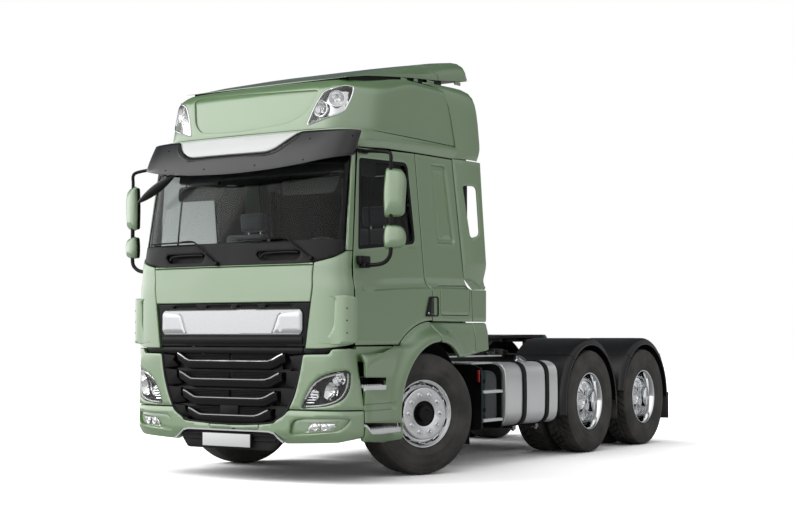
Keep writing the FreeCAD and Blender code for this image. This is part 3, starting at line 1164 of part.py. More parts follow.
ORIGIN_Y = (WHEELBASE + BOGIE + REAR_OVERHANG - FRONT_OVERHANG) / 2

os.makedirs("parts", exist_ok=True)
for name, shape in all_nodes().items():
    out = moved_y(shape, -ORIGIN_Y)
    assert out.isValid() and all(s.Volume > 0 for s in out.Solids), name
    out.exportStep("parts/" + name + ".step")
    b = out.BoundBox
    print(f"{name:24s} solids {len(out.Solids):2d}  x {b.XMin:8.1f} {b.XMax:8.1f}"
          f"  y {b.YMin:8.1f} {b.YMax:8.1f}  z {b.ZMin:8.1f} {b.ZMax:8.1f}")
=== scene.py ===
# %% [markdown]
# # A three-axle road tractor, piece by piece
# The vehicle's working frame comes in ready made: every part at its real size, with its joints.
# What is left to do is what a body shop, a trim shop and a paint shop do. Each section below
# names one piece of the real vehicle, says how it could be modelled in Blender, and why it was
# done this way. All lengths are metres; y is counted from the front axle and grows to the rear,
# x grows to the vehicle's left, z is height above the ground.

# %% Load the working frame
import json
import math
import random

import bmesh
import bpy
import numpy as np
from mathutils import Matrix, Vector
from mathutils.geometry import delaunay_2d_cdt

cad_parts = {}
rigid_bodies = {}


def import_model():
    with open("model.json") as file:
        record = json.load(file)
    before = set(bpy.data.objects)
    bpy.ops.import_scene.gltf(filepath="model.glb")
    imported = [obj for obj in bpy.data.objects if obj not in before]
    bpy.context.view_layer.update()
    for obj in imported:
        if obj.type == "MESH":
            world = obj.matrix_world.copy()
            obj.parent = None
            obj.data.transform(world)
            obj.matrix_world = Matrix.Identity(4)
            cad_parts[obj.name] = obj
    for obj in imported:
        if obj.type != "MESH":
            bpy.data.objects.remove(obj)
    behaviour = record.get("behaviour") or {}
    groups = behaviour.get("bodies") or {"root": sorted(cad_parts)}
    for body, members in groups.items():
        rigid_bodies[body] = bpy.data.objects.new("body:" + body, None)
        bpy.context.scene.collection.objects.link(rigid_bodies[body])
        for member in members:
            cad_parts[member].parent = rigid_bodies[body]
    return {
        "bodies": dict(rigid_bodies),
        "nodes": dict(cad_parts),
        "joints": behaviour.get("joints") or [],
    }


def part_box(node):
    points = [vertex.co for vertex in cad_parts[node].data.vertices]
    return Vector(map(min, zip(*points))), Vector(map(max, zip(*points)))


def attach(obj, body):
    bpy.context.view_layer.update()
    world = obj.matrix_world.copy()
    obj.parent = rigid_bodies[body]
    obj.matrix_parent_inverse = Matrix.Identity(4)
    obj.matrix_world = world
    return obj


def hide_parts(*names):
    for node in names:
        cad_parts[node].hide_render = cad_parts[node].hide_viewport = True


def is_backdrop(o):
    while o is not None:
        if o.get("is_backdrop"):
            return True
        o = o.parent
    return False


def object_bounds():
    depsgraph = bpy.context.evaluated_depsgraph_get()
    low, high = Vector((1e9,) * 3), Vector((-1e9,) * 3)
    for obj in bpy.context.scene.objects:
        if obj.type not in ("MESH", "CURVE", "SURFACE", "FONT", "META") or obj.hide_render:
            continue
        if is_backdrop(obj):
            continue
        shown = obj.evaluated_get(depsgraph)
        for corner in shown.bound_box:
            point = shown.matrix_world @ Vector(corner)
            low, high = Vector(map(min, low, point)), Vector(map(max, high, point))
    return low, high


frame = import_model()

cad_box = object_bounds()
random.seed(11)
steer = next(j for j in frame["joints"] if j["name"] == "steer_left")
AXLE_Y = steer["pos_m"][1]
WHEEL_Z = steer["pos_m"][2]
print("bodies", len(frame["bodies"]), "nodes", len(frame["nodes"]), "front axle at", AXLE_Y)

# %% [markdown]
# ## Drawing in the plane
# Sheet-metal parts start as a flat outline: straight runs with rounded corners. Blender can fill
# an outline with its own face, but one huge face cannot bend. So the outline is filled with an
# even net of small triangles, which then follows any curved surface.

# %% Outlines: rounded corners, even spacing, inside test
def rounded(points, radius, arc_steps=6):
    """Closed outline through the corner points, each corner turned into an arc."""
    out = []
    count = len(points)
    for i, corner in enumerate(points):
        r = radius[i] if isinstance(radius, (list, tuple)) else radius
        c = Vector(corner)
        back = Vector(points[i - 1]) - c
        ahead = Vector(points[(i + 1) % count]) - c
        reach = min(r, back.length * 0.48, ahead.length * 0.48)
        if reach < 1e-4:
            out.append(tuple(c))
            continue
        a, b = c + back.normalized() * reach, c + ahead.normalized() * reach
        for k in range(arc_steps + 1):
            t = k / arc_steps
            out.append(tuple(a * (1 - t) ** 2 + c * 2 * t * (1 - t) + b * t * t))
    return out


print("outlines ready")

# %% Arcs
def arc(cx, cy, r, start, end, steps=24):
    """Points on a circle from one angle to another, in degrees."""
    turn = [math.radians(start + (end - start) * k / steps) for k in range(steps + 1)]
    return [(cx + r * math.cos(t), cy + r * math.sin(t)) for t in turn]


def even(loop, step):
    out = []
    for a, b in zip(loop, loop[1:] + loop[:1]):
        a, b = Vector(a), Vector(b)
        parts = max(1, math.ceil((b - a).length / step))
        out += [tuple(a.lerp(b, k / parts)) for k in range(parts) if (b - a).length > 1e-6]
    return out


def area(loop):
    return 0.5 * sum(a[0] * b[1] - b[0] * a[1] for a, b in zip(loop, loop[1:] + loop[:1]))


print("arc ready")

# %% Is a point inside an outline
def inside(pts, loop):
    x, y = pts[:, 0], pts[:, 1]
    hit = np.zeros(len(pts), bool)
    for (x1, y1), (x2, y2) in zip(loop, loop[1:] + loop[:1]):
        if y1 != y2:
            hit ^= ((y1 > y) != (y2 > y)) & (x < (x2 - x1) * (y - y1) / (y2 - y1) + x1)
    return hit


def ramp(t, start, end):
    """0 before start, 1 after end, and a smooth rise between them."""
    k = min(1.0, max(0.0, (t - start) / (end - start)))
    return k * k * (3 - 2 * k)


print("inside ready")

# %% Fill an outline with an even net of triangles
def trimmed(outline, holes=(), step=0.02, roll=0.004, creases=()):
    loops = []
    for k, loop in enumerate((outline, *holes)):
        loop = even(list(loop), step)
        loops.append(loop if (area(loop) > 0) == (k == 0) else loop[::-1])
    pts, edges, spans = [], [], []
    for loop in loops:
        first = len(pts)
        pts += loop
        edges += [(first + i, first + (i + 1) % len(loop)) for i in range(len(loop))]
        spans.append((first, len(pts)))
    for line in creases:
        first = len(pts)
        parts = [max(1, math.ceil(math.dist(a, b) / step)) for a, b in zip(line, line[1:])]
        for (a, b), n in zip(zip(line, line[1:]), parts):
            pts += [tuple(Vector(a).lerp(Vector(b), k / n)) for k in range(n)]
        pts.append(tuple(line[-1]))
        edges += [(i, i + 1) for i in range(first, len(pts) - 1)]
    near = np.array(pts)
    if roll:
        for loop in loops:
            for i, p in enumerate(loop):
                along = Vector(loop[(i + 1) % len(loop)]) - Vector(loop[i - 1])
                if along.length > 1e-6:
                    along.normalize()
                    pts.append((p[0] - along.y * roll, p[1] + along.x * roll))
    lo, hi = near.min(0), near.max(0)
    gx, gy = np.meshgrid(np.arange(lo[0] + step / 2, hi[0], step), np.arange(lo[1] + step / 2, hi[1], step))
    grid = np.column_stack([gx.ravel(), gy.ravel()])
    ok = inside(grid, loops[0])
    for hole in loops[1:]:
        ok &= ~inside(grid, hole)
    grid = grid[ok]
    keep = [g for g in grid if np.min(np.sum((near - g) ** 2, 1)) > (0.45 * step + roll) ** 2]
    pts += [tuple(g) for g in keep]
    verts, _, faces, origin, _, _ = delaunay_2d_cdt([Vector(p) for p in pts], edges, [], 0, 1e-7)
    place = {}
    for i, sources in enumerate(origin):
        for s in sources:
            place[s] = i
    flat = np.array([tuple(v) for v in verts])
    centres = np.array([flat[list(f)].mean(0) for f in faces])
    ok = inside(centres, loops[0])
    for hole in loops[1:]:
        ok &= ~inside(centres, hole)
    tris = []
    for f, good in zip(faces, ok):
        if good:
            p = [flat[i] for i in f]
            turn = (p[1][0] - p[0][0]) * (p[2][1] - p[0][1]) - (p[1][1] - p[0][1]) * (p[2][0] - p[0][0])
            tris.append(tuple(f) if turn > 0 else tuple(reversed(f)))
    rims = [[place[i] for i in range(a, b)] for a, b in spans]
    return flat, tris, rims


test = trimmed([(0, 0), (1, 0), (1, 1), (0, 1)], step=0.1)
print("a one-metre square fills with", len(test[1]), "triangles")

# %% [markdown]
# ## A shape under construction
# Blender's own *Add* menu makes one primitive at a time. A real bracket or lamp is many forms
# with several finishes, so this helper gathers forms in one `bmesh` and turns them into a single
# object at the end. Faces that meet at more than 38 degrees get a sharp edge, all else is smooth.

# %% Class Shape
SHARP = math.radians(38)
X_AXIS, Y_AXIS, Z_AXIS = Vector((1, 0, 0)), Vector((0, 1, 0)), Vector((0, 0, 1))


class Shape:
    def __init__(self):
        self.bm = bmesh.new()
        self.finishes = []

    def finish(self, material):
        if material not in self.finishes:
            self.finishes.append(material)
        return self.finishes.index(material)

    def mesh(self, points, faces, material):
        slot = self.finish(material)
        verts = [self.bm.verts.new(p) for p in points]
        for f in faces:
            if len(set(f)) > 2:
                self.bm.faces.new([verts[i] for i in f]).material_index = slot

    def net(self, rows, material, closed=False, looped=False):
        """Quads between rows of points; closed joins each row's ends, looped joins last row to first."""
        count = len(rows[0])
        faces = []
        last = len(rows) if looped else len(rows) - 1
        for j in range(last):
            for i in range(count if closed else count - 1):
                k = (i + 1) % count
                n = (j + 1) % len(rows)
                faces.append((j * count + i, j * count + k, n * count + k, n * count + i))
        self.mesh([p for row in rows for p in row], faces, material)

    def skin(self, outline, surface, thick, outer, inner=None, rim=None, holes=(), step=0.02, roll=0.004,
             lip=0.003, creases=()):
        """Curved sheet with thickness: an outline filled, laid on surface(a, b) and given a back."""
        flat, tris, rims = trimmed(outline, holes, step, roll, creases)
        e = 0.002
        edge = {i for r in rims for i in r}
        top, low = [], []
        for i, (a, b) in enumerate(flat):
            p = surface(a, b)
            n = (surface(a + e, b) - surface(a - e, b)).cross(surface(a, b + e) - surface(a, b - e))
            n.normalize()
            drop = lip if i in edge else 0.0
            top.append(p - n * drop)
            low.append(p - n * thick)
        used = sorted({i for t in tris for i in t})
        at = {v: k for k, v in enumerate(used)}
        slots = [self.finish(m) for m in (outer, inner or outer, rim or outer)]
        up = [self.bm.verts.new(top[i]) for i in used]
        down = [self.bm.verts.new(low[i]) for i in used]
        for t in tris:
            self.bm.faces.new([up[at[i]] for i in t]).material_index = slots[0]
            self.bm.faces.new([down[at[i]] for i in reversed(t)]).material_index = slots[1]
        for r in rims:
            for a, b in zip(r, r[1:] + r[:1]):
                if a in at and b in at and a != b:
                    f = (down[at[a]], down[at[b]], up[at[b]], up[at[a]])
                    if self.bm.faces.get(f) is None:
                        self.bm.faces.new(f).material_index = slots[2]

    def bar(self, lo, hi, material, edge=0.004, turn=None):
        """Block between two corners with its edges rounded off."""
        lo, hi = Vector(lo), Vector(hi)
        slot = self.finish(material)
        made = bmesh.ops.create_cube(self.bm, size=1.0)["verts"]
        size, mid = hi - lo, (hi + lo) / 2
        for v in made:
            v.co = Vector((v.co.x * size.x, v.co.y * size.y, v.co.z * size.z)) + mid
        edges = {e for v in made for e in v.link_edges}
        faces = {f for v in made for f in v.link_faces}
        for f in faces:
            f.material_index = slot
        reach = min(edge, min(size) * 0.45)
        if reach > 0:
            new = bmesh.ops.bevel(self.bm, geom=list(edges), offset=reach, segments=2, profile=0.5,
                                  affect="EDGES", material=slot)
            made = list({v for f in new["faces"] for v in f.verts} | {v for v in made if v.is_valid})
        if turn is not None:
            for v in made:
                v.co = mid + turn @ (v.co - mid)

    def turned(self, profile, centre, axis, material, steps=64, sweep=360.0, closed=True):
        """Body of revolution: profile is (distance along the axis, radius)."""
        axis = Vector(axis).normalized()
        side = axis.orthogonal().normalized()
        other = axis.cross(side)
        rows = []
        for k in range(steps if sweep == 360 else steps + 1):
            t = math.radians(sweep * k / steps)
            out = side * math.cos(t) + other * math.sin(t)
            rows.append([Vector(centre) + axis * a + out * r for a, r in profile])
        self.net(rows, material, closed=closed, looped=sweep == 360)

    def disc(self, centre, axis, r, depth, material, steps=24, edge=0.002):
        """Flat-ended round boss with a softened edge."""
        e = min(edge, r * 0.3, depth * 0.4)
        profile = [(0, 0.0001), (0, r), (depth - e, r), (depth, r - e), (depth, 0.0001)]
        self.turned(profile, centre, axis, material, steps)

    def tube(self, path, radius, material, sides=12, smooth=8, caps=True):
        """Round bar along a path that is eased into a smooth curve."""
        pts = eased(path, smooth) if smooth else [Vector(p) for p in path]
        rows = []
        ahead = (pts[1] - pts[0]).normalized()
        side = ahead.orthogonal().normalized()
        for i, p in enumerate(pts):
            a, b = pts[max(0, i - 1)], pts[min(len(pts) - 1, i + 1)]
            ahead = (b - a).normalized()
            side = (side - ahead * side.dot(ahead)).normalized()
            up = ahead.cross(side)
            r = radius(i / (len(pts) - 1)) if callable(radius) else radius
            ring = [2 * math.pi * k / sides for k in range(sides)]
            rows.append([p + (side * math.cos(t) + up * math.sin(t)) * r for t in ring])
        self.net(rows, material, closed=True)
        if caps:
            for row in (rows[0], rows[-1]):
                self.mesh(row, [tuple(range(sides))], material)

    def loft(self, rings, material, caps=True):
        """Closed rings joined one after another."""
        self.net(rings, material, closed=True)
        if caps:
            for ring in (rings[0], rings[-1]):
                self.mesh(ring, [tuple(range(len(ring)))], material)

    def both_sides(self):
        """Adds the mirror image across the vehicle's middle."""
        geom = self.bm.verts[:] + self.bm.edges[:] + self.bm.faces[:]
        copy = bmesh.ops.duplicate(self.bm, geom=geom)["geom"]
        for v in copy:
            if isinstance(v, bmesh.types.BMVert):
                v.co.x = -v.co.x

    def turn_about(self, centre, axis, angle):
        matrix = Matrix.Rotation(angle, 4, axis)
        shift = Matrix.Translation(centre)
        bmesh.ops.transform(self.bm, matrix=shift @ matrix @ shift.inverted(), verts=self.bm.verts)


print("class Shape ready")

# %% Sheets given as rows of points
def sheet(made, rows, thick, outer, inner=None):
    """Closed sheet from a grid of points; the back lies on the side the normals point away from."""
    count, width = len(rows), len(rows[0])
    back = []
    for j in range(count):
        line = []
        for i in range(width):
            across = rows[j][min(i + 1, width - 1)] - rows[j][max(i - 1, 0)]
            up = rows[min(j + 1, count - 1)][i] - rows[max(j - 1, 0)][i]
            line.append(rows[j][i] - across.cross(up).normalized() * thick)
        back.append(line)
    made.net(rows, outer)
    made.net(back, inner or outer)
    made.net([rows[0], back[0]], outer)
    made.net([rows[-1], back[-1]], outer)
    made.net([[r[0] for r in rows], [r[0] for r in back]], outer)
    made.net([[r[-1] for r in rows], [r[-1] for r in back]], outer)


print("sheet ready")

# %% Eased
def eased(path, parts=8):
    """Smooth curve through all points of a path."""
    p = [Vector(q) for q in path]
    p = [p[0] * 2 - p[1], *p, p[-1] * 2 - p[-2]]
    out = []
    for a, b, c, d in zip(p, p[1:], p[2:], p[3:]):
        for k in range(parts):
            t = k / parts
            out.append(0.5 * (2 * b + (c - a) * t + (2 * a - 5 * b + 4 * c - d) * t * t
                              + (3 * b - a - 3 * c + d) * t ** 3))
    return out + [p[-2]]


triangles = {}


def piece(name, shape, body, replaces=(), side=1):
    """Turns a finished shape into one object that rides on a body; side -1 makes the mirror image."""
    bm = shape.bm
    if side < 0:
        for v in bm.verts:
            v.co.x = -v.co.x
    bmesh.ops.remove_doubles(bm, verts=bm.verts, dist=1e-5)
    bmesh.ops.recalc_face_normals(bm, faces=bm.faces)
    for f in bm.faces:
        f.smooth = True
    for e in bm.edges:
        e.smooth = not (len(e.link_faces) != 2 or e.calc_face_angle(0.0) > SHARP)
    mesh = bpy.data.meshes.new(name)
    bm.to_mesh(mesh)
    bm.free()
    mesh.transform(Matrix.Translation((0, AXLE_Y, 0)))
    for m in shape.finishes:
        mesh.materials.append(m)
    obj = bpy.data.objects.new(name, mesh)
    bpy.context.scene.collection.objects.link(obj)
    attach(obj, body)
    if replaces:
        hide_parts(*replaces)
    triangles[name] = sum(len(f.vertices) - 2 for f in mesh.polygons)
    return obj


print("shape tools ready")

# %% [markdown]
# ## Finishes
# Every surface of the vehicle gets a node material. Even a plain moulded plastic is never one flat
# colour: its shade and its gloss drift a little, and it has a fine grain. This small class keeps
# the wiring short. Values that are the same all over are typed on the shader itself.

# %% Class Finish
def tone(r, g, b):
    """Screen colour 0-255 as a linear colour."""
    return tuple((c / 255 / 12.92) if c < 11 else ((c / 255 + 0.055) / 1.055) ** 2.4 for c in (r, g, b))


class Finish:
    def __init__(self, name, colour, rough, metal=0.0, **sockets):
        self.mat = bpy.data.materials.new(name)
        self.mat.use_nodes = True
        self.tree = self.mat.node_tree
        self.shader = self.tree.nodes["Principled BSDF"]
        self.colour = colour
        self.shader.inputs["Base Color"].default_value = (*colour, 1)
        self.shader.inputs["Roughness"].default_value = rough
        self.shader.inputs["Metallic"].default_value = metal
        for key, value in sockets.items():
            self.shader.inputs[key.replace("_", " ")].default_value = value
        self.rough = rough
        self.place = self.node("ShaderNodeTexCoord").outputs["Object"]

    def node(self, kind, **settings):
        made = self.tree.nodes.new(kind)
        for key, value in settings.items():
            if hasattr(made, key):
                setattr(made, key, value)
            else:
                made.inputs[key.replace("_", " ").title()].default_value = value
        return made

    def stretched(self, stretch):
        mapping = self.node("ShaderNodeMapping")
        mapping.inputs["Scale"].default_value = stretch
        self.tree.links.new(self.place, mapping.inputs["Vector"])
        return mapping.outputs[0]

    def noise(self, scale, detail=3.0, stretch=None):
        made = self.node("ShaderNodeTexNoise", scale=scale, detail=detail)
        self.tree.links.new(self.stretched(stretch) if stretch else self.place, made.inputs["Vector"])
        return made.outputs[0]

    def cells(self, scale, feature="F1"):
        made = self.node("ShaderNodeTexVoronoi", feature=feature, scale=scale)
        self.tree.links.new(self.place, made.inputs["Vector"])
        return made.outputs["Distance"]

    def bands(self, scale, direction="X", distortion=0.0, profile="SIN"):
        made = self.node("ShaderNodeTexWave", bands_direction=direction, wave_profile=profile, scale=scale)
        made.inputs["Distortion"].default_value = distortion
        self.tree.links.new(self.place, made.inputs["Vector"])
        return made.outputs["Fac"]

    def math(self, operation, a, b):
        made = self.node("ShaderNodeMath", operation=operation)
        for socket, value in zip(made.inputs, (a, b)):
            if isinstance(value, float):
                socket.default_value = value
            else:
                self.tree.links.new(value, socket)
        return made.outputs[0]

    def span(self, value, low, high, start=0.0, end=1.0):
        made = self.node("ShaderNodeMapRange")
        for key, number in (("From Min", start), ("From Max", end), ("To Min", low), ("To Max", high)):
            made.inputs[key].default_value = number
        self.tree.links.new(value, made.inputs["Value"])
        return made.outputs[0]

    def shades(self, value, low=0.9, high=1.1, other=None):
        """Base colour drifts between a darker and a lighter shade, or towards another colour."""
        made = self.node("ShaderNodeMix", data_type="RGBA")
        made.inputs["A"].default_value = (*[c * low for c in self.colour], 1)
        made.inputs["B"].default_value = (*(other or [c * high for c in self.colour]), 1)
        self.tree.links.new(value, made.inputs["Factor"])
        self.tree.links.new(made.outputs["Result"], self.shader.inputs["Base Color"])
        return self

    def gloss(self, value, spread=0.06):
        drift = self.span(value, max(0.0, self.rough - spread), self.rough + spread, 0.3, 0.7)
        self.tree.links.new(drift, self.shader.inputs["Roughness"])
        return self

    def bump(self, value, height, strength=0.5):
        made = self.node("ShaderNodeBump")
        made.inputs["Strength"].default_value = strength
        made.inputs["Distance"].default_value = height
        self.tree.links.new(value, made.inputs["Height"])
        self.tree.links.new(made.outputs[0], self.shader.inputs["Normal"])
        return self


print("class Finish ready")

# %% Plain finishes
def plain(name, colour, rough, metal=0.0, grain=260.0, height=0.0004, drift=7.0, low=0.9, high=1.1,
          **sockets):
    """Moulded or painted finish: shade and gloss drift slowly, with a fine grain on top."""
    made = Finish(name, colour, rough, metal, **sockets)
    slow = made.noise(drift)
    made.shades(slow, low, high).gloss(slow)
    if height:
        made.bump(made.noise(grain, 2.0), height)
    return made.mat


print("plain ready")

# %% [markdown]
# The bodywork is a two-layer metallic: a sage-green base with aluminium flake, under clear lacquer.
# Flake is a fine cell pattern that shifts the shade of the base; the lacquer is the shader's coat.

# %% Body paint
def body_paint():
    made = Finish("sage_pearl", (0.15, 0.285, 0.105), 0.32, IOR=2.5, Coat_Weight=1.0, Coat_Roughness=0.04)
    flake = made.cells(1500.0)
    slow = made.noise(1.6)
    mix = made.math("ADD", made.span(flake, 0.0, 0.6), made.span(slow, 0.0, 0.4, 0.3, 0.7))
    made.shades(mix, 0.93, 1.07).gloss(made.noise(3.0), 0.03)
    made.bump(flake, 0.00004, 0.25)
    return made.mat


PAINT = body_paint()
PAINT_INSIDE = plain("primer_green", (0.2, 0.27, 0.17), 0.5, grain=180.0)
print("paint", PAINT.name)

# %% [markdown]
# Bright parts differ by how they were finished. Chrome plating is a mirror; polished alloy wheels
# carry fine turning lines; tank sheet is rolled, so its scratches run along one direction.

# %% Bright metals
def brushed(name, colour, rough, stretch, height=0.0002, metal=1.0):
    made = Finish(name, colour, rough, metal)
    lines = made.noise(60.0, 4.0, stretch)
    made.shades(lines, 0.86, 1.06).gloss(lines, 0.07)
    made.bump(lines, height, 0.3)
    return made.mat


def tank_sheet():
    made = Finish("rolled_tank_sheet", (0.9, 0.91, 0.92), 0.2, 0.5)
    lines = made.noise(40.0, 4.0, (8.0, 0.35, 8.0))
    slow = made.noise(3.0)
    made.shades(slow, 0.9, 1.05).gloss(lines, 0.05)
    made.bump(made.math("ADD", made.span(slow, 0.0, 1.0), made.span(lines, 0.0, 0.06)), 0.004, 0.25)
    return made.mat


CHROME = plain("chrome_plate", (0.86, 0.87, 0.88), 0.05, 1.0, grain=30.0, height=0.00005, low=0.96,
               high=1.0)
ALLOY = brushed("polished_alloy", (0.83, 0.84, 0.85), 0.17, (1.0, 6.0, 6.0))
SATIN = brushed("satin_silver", (0.6, 0.61, 0.62), 0.33, (0.4, 6.0, 9.0), 0.0001)
TANK = tank_sheet()
TREAD = brushed("pressed_step_metal", (0.95, 0.96, 0.97), 0.34, (0.5, 5.0, 5.0), metal=0.2)
STEEL = plain("bare_steel", (0.42, 0.43, 0.44), 0.38, 1.0, low=0.8, high=1.1)
print("bright metals ready")

# %% [markdown]
# Dark parts: textured bumper plastic scatters light, gloss black does not, and chassis paint lies
# between. Rubber is nearly black, with a dusty bloom where it flexes.

# %% Dark plastics, chassis paint and rubber
SATIN_BLACK = plain("satin_black_plastic", tone(18, 18, 19), 0.42, Specular_IOR_Level=0.25, grain=420.0,
                    height=0.0003)
GRAIN_BLACK = plain("grained_black_plastic", tone(28, 28, 28), 0.62, Specular_IOR_Level=0.3, grain=350.0,
                    height=0.0009)
GLOSS_BLACK = plain("gloss_black", tone(14, 14, 15), 0.14, height=0.0, Coat_Weight=0.6, Coat_Roughness=0.04)
GUARD_BLACK = plain("mudguard_black", tone(16, 16, 16), 0.3, grain=60.0, height=0.0004, drift=3.0)
CHASSIS = plain("chassis_paint", tone(24, 25, 26), 0.45, Specular_IOR_Level=0.35, grain=120.0,
                height=0.0006, low=0.75, high=1.15)
IRON = plain("cast_iron", tone(58, 58, 57), 0.55, 0.5, grain=90.0, height=0.0012, low=0.7, high=1.2)
SEAL = plain("rubber_seal", tone(18, 18, 18), 0.6, Specular_IOR_Level=0.2, grain=500.0, height=0.0002)


def tyre_rubber():
    made = Finish("tyre_rubber", tone(58, 57, 56), 0.66)
    slow = made.noise(5.0, 5.0)
    made.shades(made.span(slow, 0.0, 1.0, 0.35, 0.75), 0.75, other=tone(88, 86, 82)).gloss(slow, 0.08)
    made.bump(made.noise(300.0, 3.0), 0.0006)
    return made.mat


RUBBER = tyre_rubber()
print("dark finishes ready")

# %% [markdown]
# Glass and lenses let light through. Laminated screen glass is almost clear; the door glass is
# tinted; the visor is smoked acrylic; lamp lenses are clear with prisms moulded inside.

# %% Glass, lenses and lamps
def clear(name, colour, rough=0.0, height=0.0, scale=30.0, index=1.45):
    made = Finish(name, colour, rough, Transmission_Weight=1.0, IOR=index)
    made.shades(made.noise(2.0), 0.985, 1.0)
    if height:
        made.bump(made.noise(scale, 1.0), height, 0.3)
    return made.mat


SCREEN_GLASS = clear("laminated_glass", (0.9, 0.94, 0.92), index=1.16)
DOOR_GLASS = clear("tinted_glass", (0.78, 0.82, 0.8), index=1.16)
LENS = clear("clear_lens", (0.97, 0.97, 0.97), height=0.0004, scale=12.0)
SMOKED = plain("smoked_acrylic", tone(24, 24, 25), 0.16, height=0.0, Coat_Weight=0.4, Coat_Roughness=0.06)
FRIT = plain("black_screen_edge", tone(12, 12, 13), 0.14, height=0.0, Specular_IOR_Level=0.2)
PANEL_WHITE = plain("white_acrylic", tone(236, 238, 237), 0.22, height=0.0, low=0.97, high=1.0,
                    Coat_Weight=0.5, Coat_Roughness=0.05)
RED_LENS = plain("red_lens", tone(150, 14, 12), 0.12, grain=90.0, height=0.0012, Coat_Weight=1.0)
AMBER_LENS = plain("amber_lens", tone(214, 112, 20), 0.12, grain=90.0, height=0.0012, Coat_Weight=1.0)
REFLECTOR = plain("lamp_reflector", (0.88, 0.89, 0.9), 0.1, 1.0, grain=25.0, height=0.002, low=0.92,
                  high=1.0)
MIRROR = plain("mirror_glass", (0.84, 0.86, 0.87), 0.03, 1.0, height=0.0, low=0.97, high=1.0)
print("glass and lenses ready")

# %% [markdown]
# Inside the cab: grained dashboard plastic, a woven seat cloth, a looped carpet and a pleated
# curtain cloth. A weave is two crossed sets of waves, one for each direction of thread.

# %% Trim and cloth
def woven(name, colour, other, pitch, sheen=0.25):
    made = Finish(name, colour, 0.85, Sheen_Weight=sheen, Sheen_Roughness=0.4)
    warp, weft = made.bands(pitch, "X"), made.bands(pitch, "Z")
    weave = made.math("MULTIPLY", warp, weft)
    blotch = made.noise(9.0)
    made.shades(made.math("ADD", made.span(weave, 0.0, 0.5), made.span(blotch, 0.0, 0.5)), 0.85,
                other=other)
    made.bump(weave, 0.0012, 0.6)
    return made.mat


TRIM_DARK = plain("dark_trim", tone(34, 34, 36), 0.58, grain=300.0, height=0.0008)
TRIM_LIGHT = plain("light_trim", tone(46, 45, 44), 0.65, grain=220.0, height=0.0007)
SEAT_CLOTH = woven("seat_cloth", tone(52, 54, 58), tone(78, 82, 90), 170.0)
CURTAIN = woven("curtain_cloth", tone(60, 60, 63), tone(80, 80, 84), 140.0)
CARPET = woven("loop_carpet", tone(48, 48, 50), tone(70, 70, 72), 220.0, 0.1)
BLANK = plain("blank_plate", tone(238, 239, 238), 0.35, grain=90.0, height=0.0002, low=0.97, high=1.0)
TEAL = plain("teal_reservoir", tone(30, 66, 70), 0.35, grain=80.0, height=0.0004)
print("materials so far", len(bpy.data.materials))

# %% [markdown]
# ## Camera, floor and light
# A road vehicle is looked at from a few paces away, a little above bumper height, with a long
# lens so that nothing bulges. The camera is aimed by turning its view axis (minus z) along a
# direction made from a compass angle and a small downward pitch.

# %% Camera
TURN, PITCH = math.radians(33.339), math.radians(3.091)
look = Vector((-math.sin(TURN) * math.cos(PITCH), math.cos(TURN) * math.cos(PITCH), math.sin(PITCH)))
camera_data = bpy.data.cameras.new("camera")
camera_data.sensor_width = 36.0
camera_data.lens = 67.44
camera_data.clip_end = 400.0
camera = bpy.data.objects.new("camera", camera_data)
camera.location = (8.138, -12.955, 1.216)
camera.rotation_euler = look.to_track_quat("-Z", "Y").to_euler()
bpy.context.scene.collection.objects.link(camera)
bpy.context.scene.camera = camera
bpy.context.scene.view_settings.view_transform = "Standard"
print("camera at", tuple(camera.location), "lens", camera_data.lens)

# %% [markdown]
# The floor is a sheet of pale studio board. It keeps the vehicle's own soft shadow, and only what
# the lens sees of it is lifted to white, with Light Path. The sky works the same way: plain white to
# look at, but dimmer as a source, so that it does not wash out the paint. What the shiny parts and
# the glass see of it is a third version, a soft room that is lighter to the front and to the
# vehicle's right, with a dark patch above and behind, because a bright patch there bleaches the roof.

# %% Floor
BOARD_LIT, BOARD_SEEN, BOARD_SPAN = 0.55, 1.9, 60.0


def studio_floor():
    mat = bpy.data.materials.new("studio_board")
    mat.use_nodes = True
    tree = mat.node_tree
    tree.nodes.clear()
    out = tree.nodes.new("ShaderNodeOutputMaterial")
    diffuse = tree.nodes.new("ShaderNodeBsdfDiffuse")
    path = tree.nodes.new("ShaderNodeLightPath")
    mix = tree.nodes.new("ShaderNodeMix")
    mix.data_type = "RGBA"
    mix.inputs["A"].default_value = (*[BOARD_LIT] * 3, 1)
    mix.inputs["B"].default_value = (*[BOARD_SEEN] * 3, 1)
    tree.links.new(path.outputs["Is Camera Ray"], mix.inputs["Factor"])
    tree.links.new(mix.outputs["Result"], diffuse.inputs["Color"])
    tree.links.new(diffuse.outputs[0], out.inputs["Surface"])
    mesh = bpy.data.meshes.new("studio_floor")
    corners = [(x * BOARD_SPAN, y * BOARD_SPAN, 0) for x, y in ((-1, -1), (1, -1), (1, 1), (-1, 1))]
    mesh.from_pydata(corners, [], [(0, 1, 2, 3)])
    mesh.materials.append(mat)
    floor = bpy.data.objects.new("studio_floor", mesh)
    bpy.context.scene.collection.objects.link(floor)
    floor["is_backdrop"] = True


studio_floor()
print("floor of board, metres each way", BOARD_SPAN)

# %% Sky: each glow is a direction, the range over which it grows, and its dark and bright level
AMBIENT = ((-0.35, -0.9, 0.25), -0.6, 0.95, 0.4, 0.66)
FRONT_GLOW = ((-0.3, -0.81, 0.5), -0.95, 0.15, 0.3, 0.92)
RIGHT_GLOW = ((-0.94, -0.34, 0.0), -0.62, 0.98, 0.9, 2.1)
DARK_PATCH = ((-0.4, 0.5, 0.77), 0.48, 0.82, 0.0, 1.0)
PATCH_COLOUR = (0.1, 0.11, 0.12, 1)


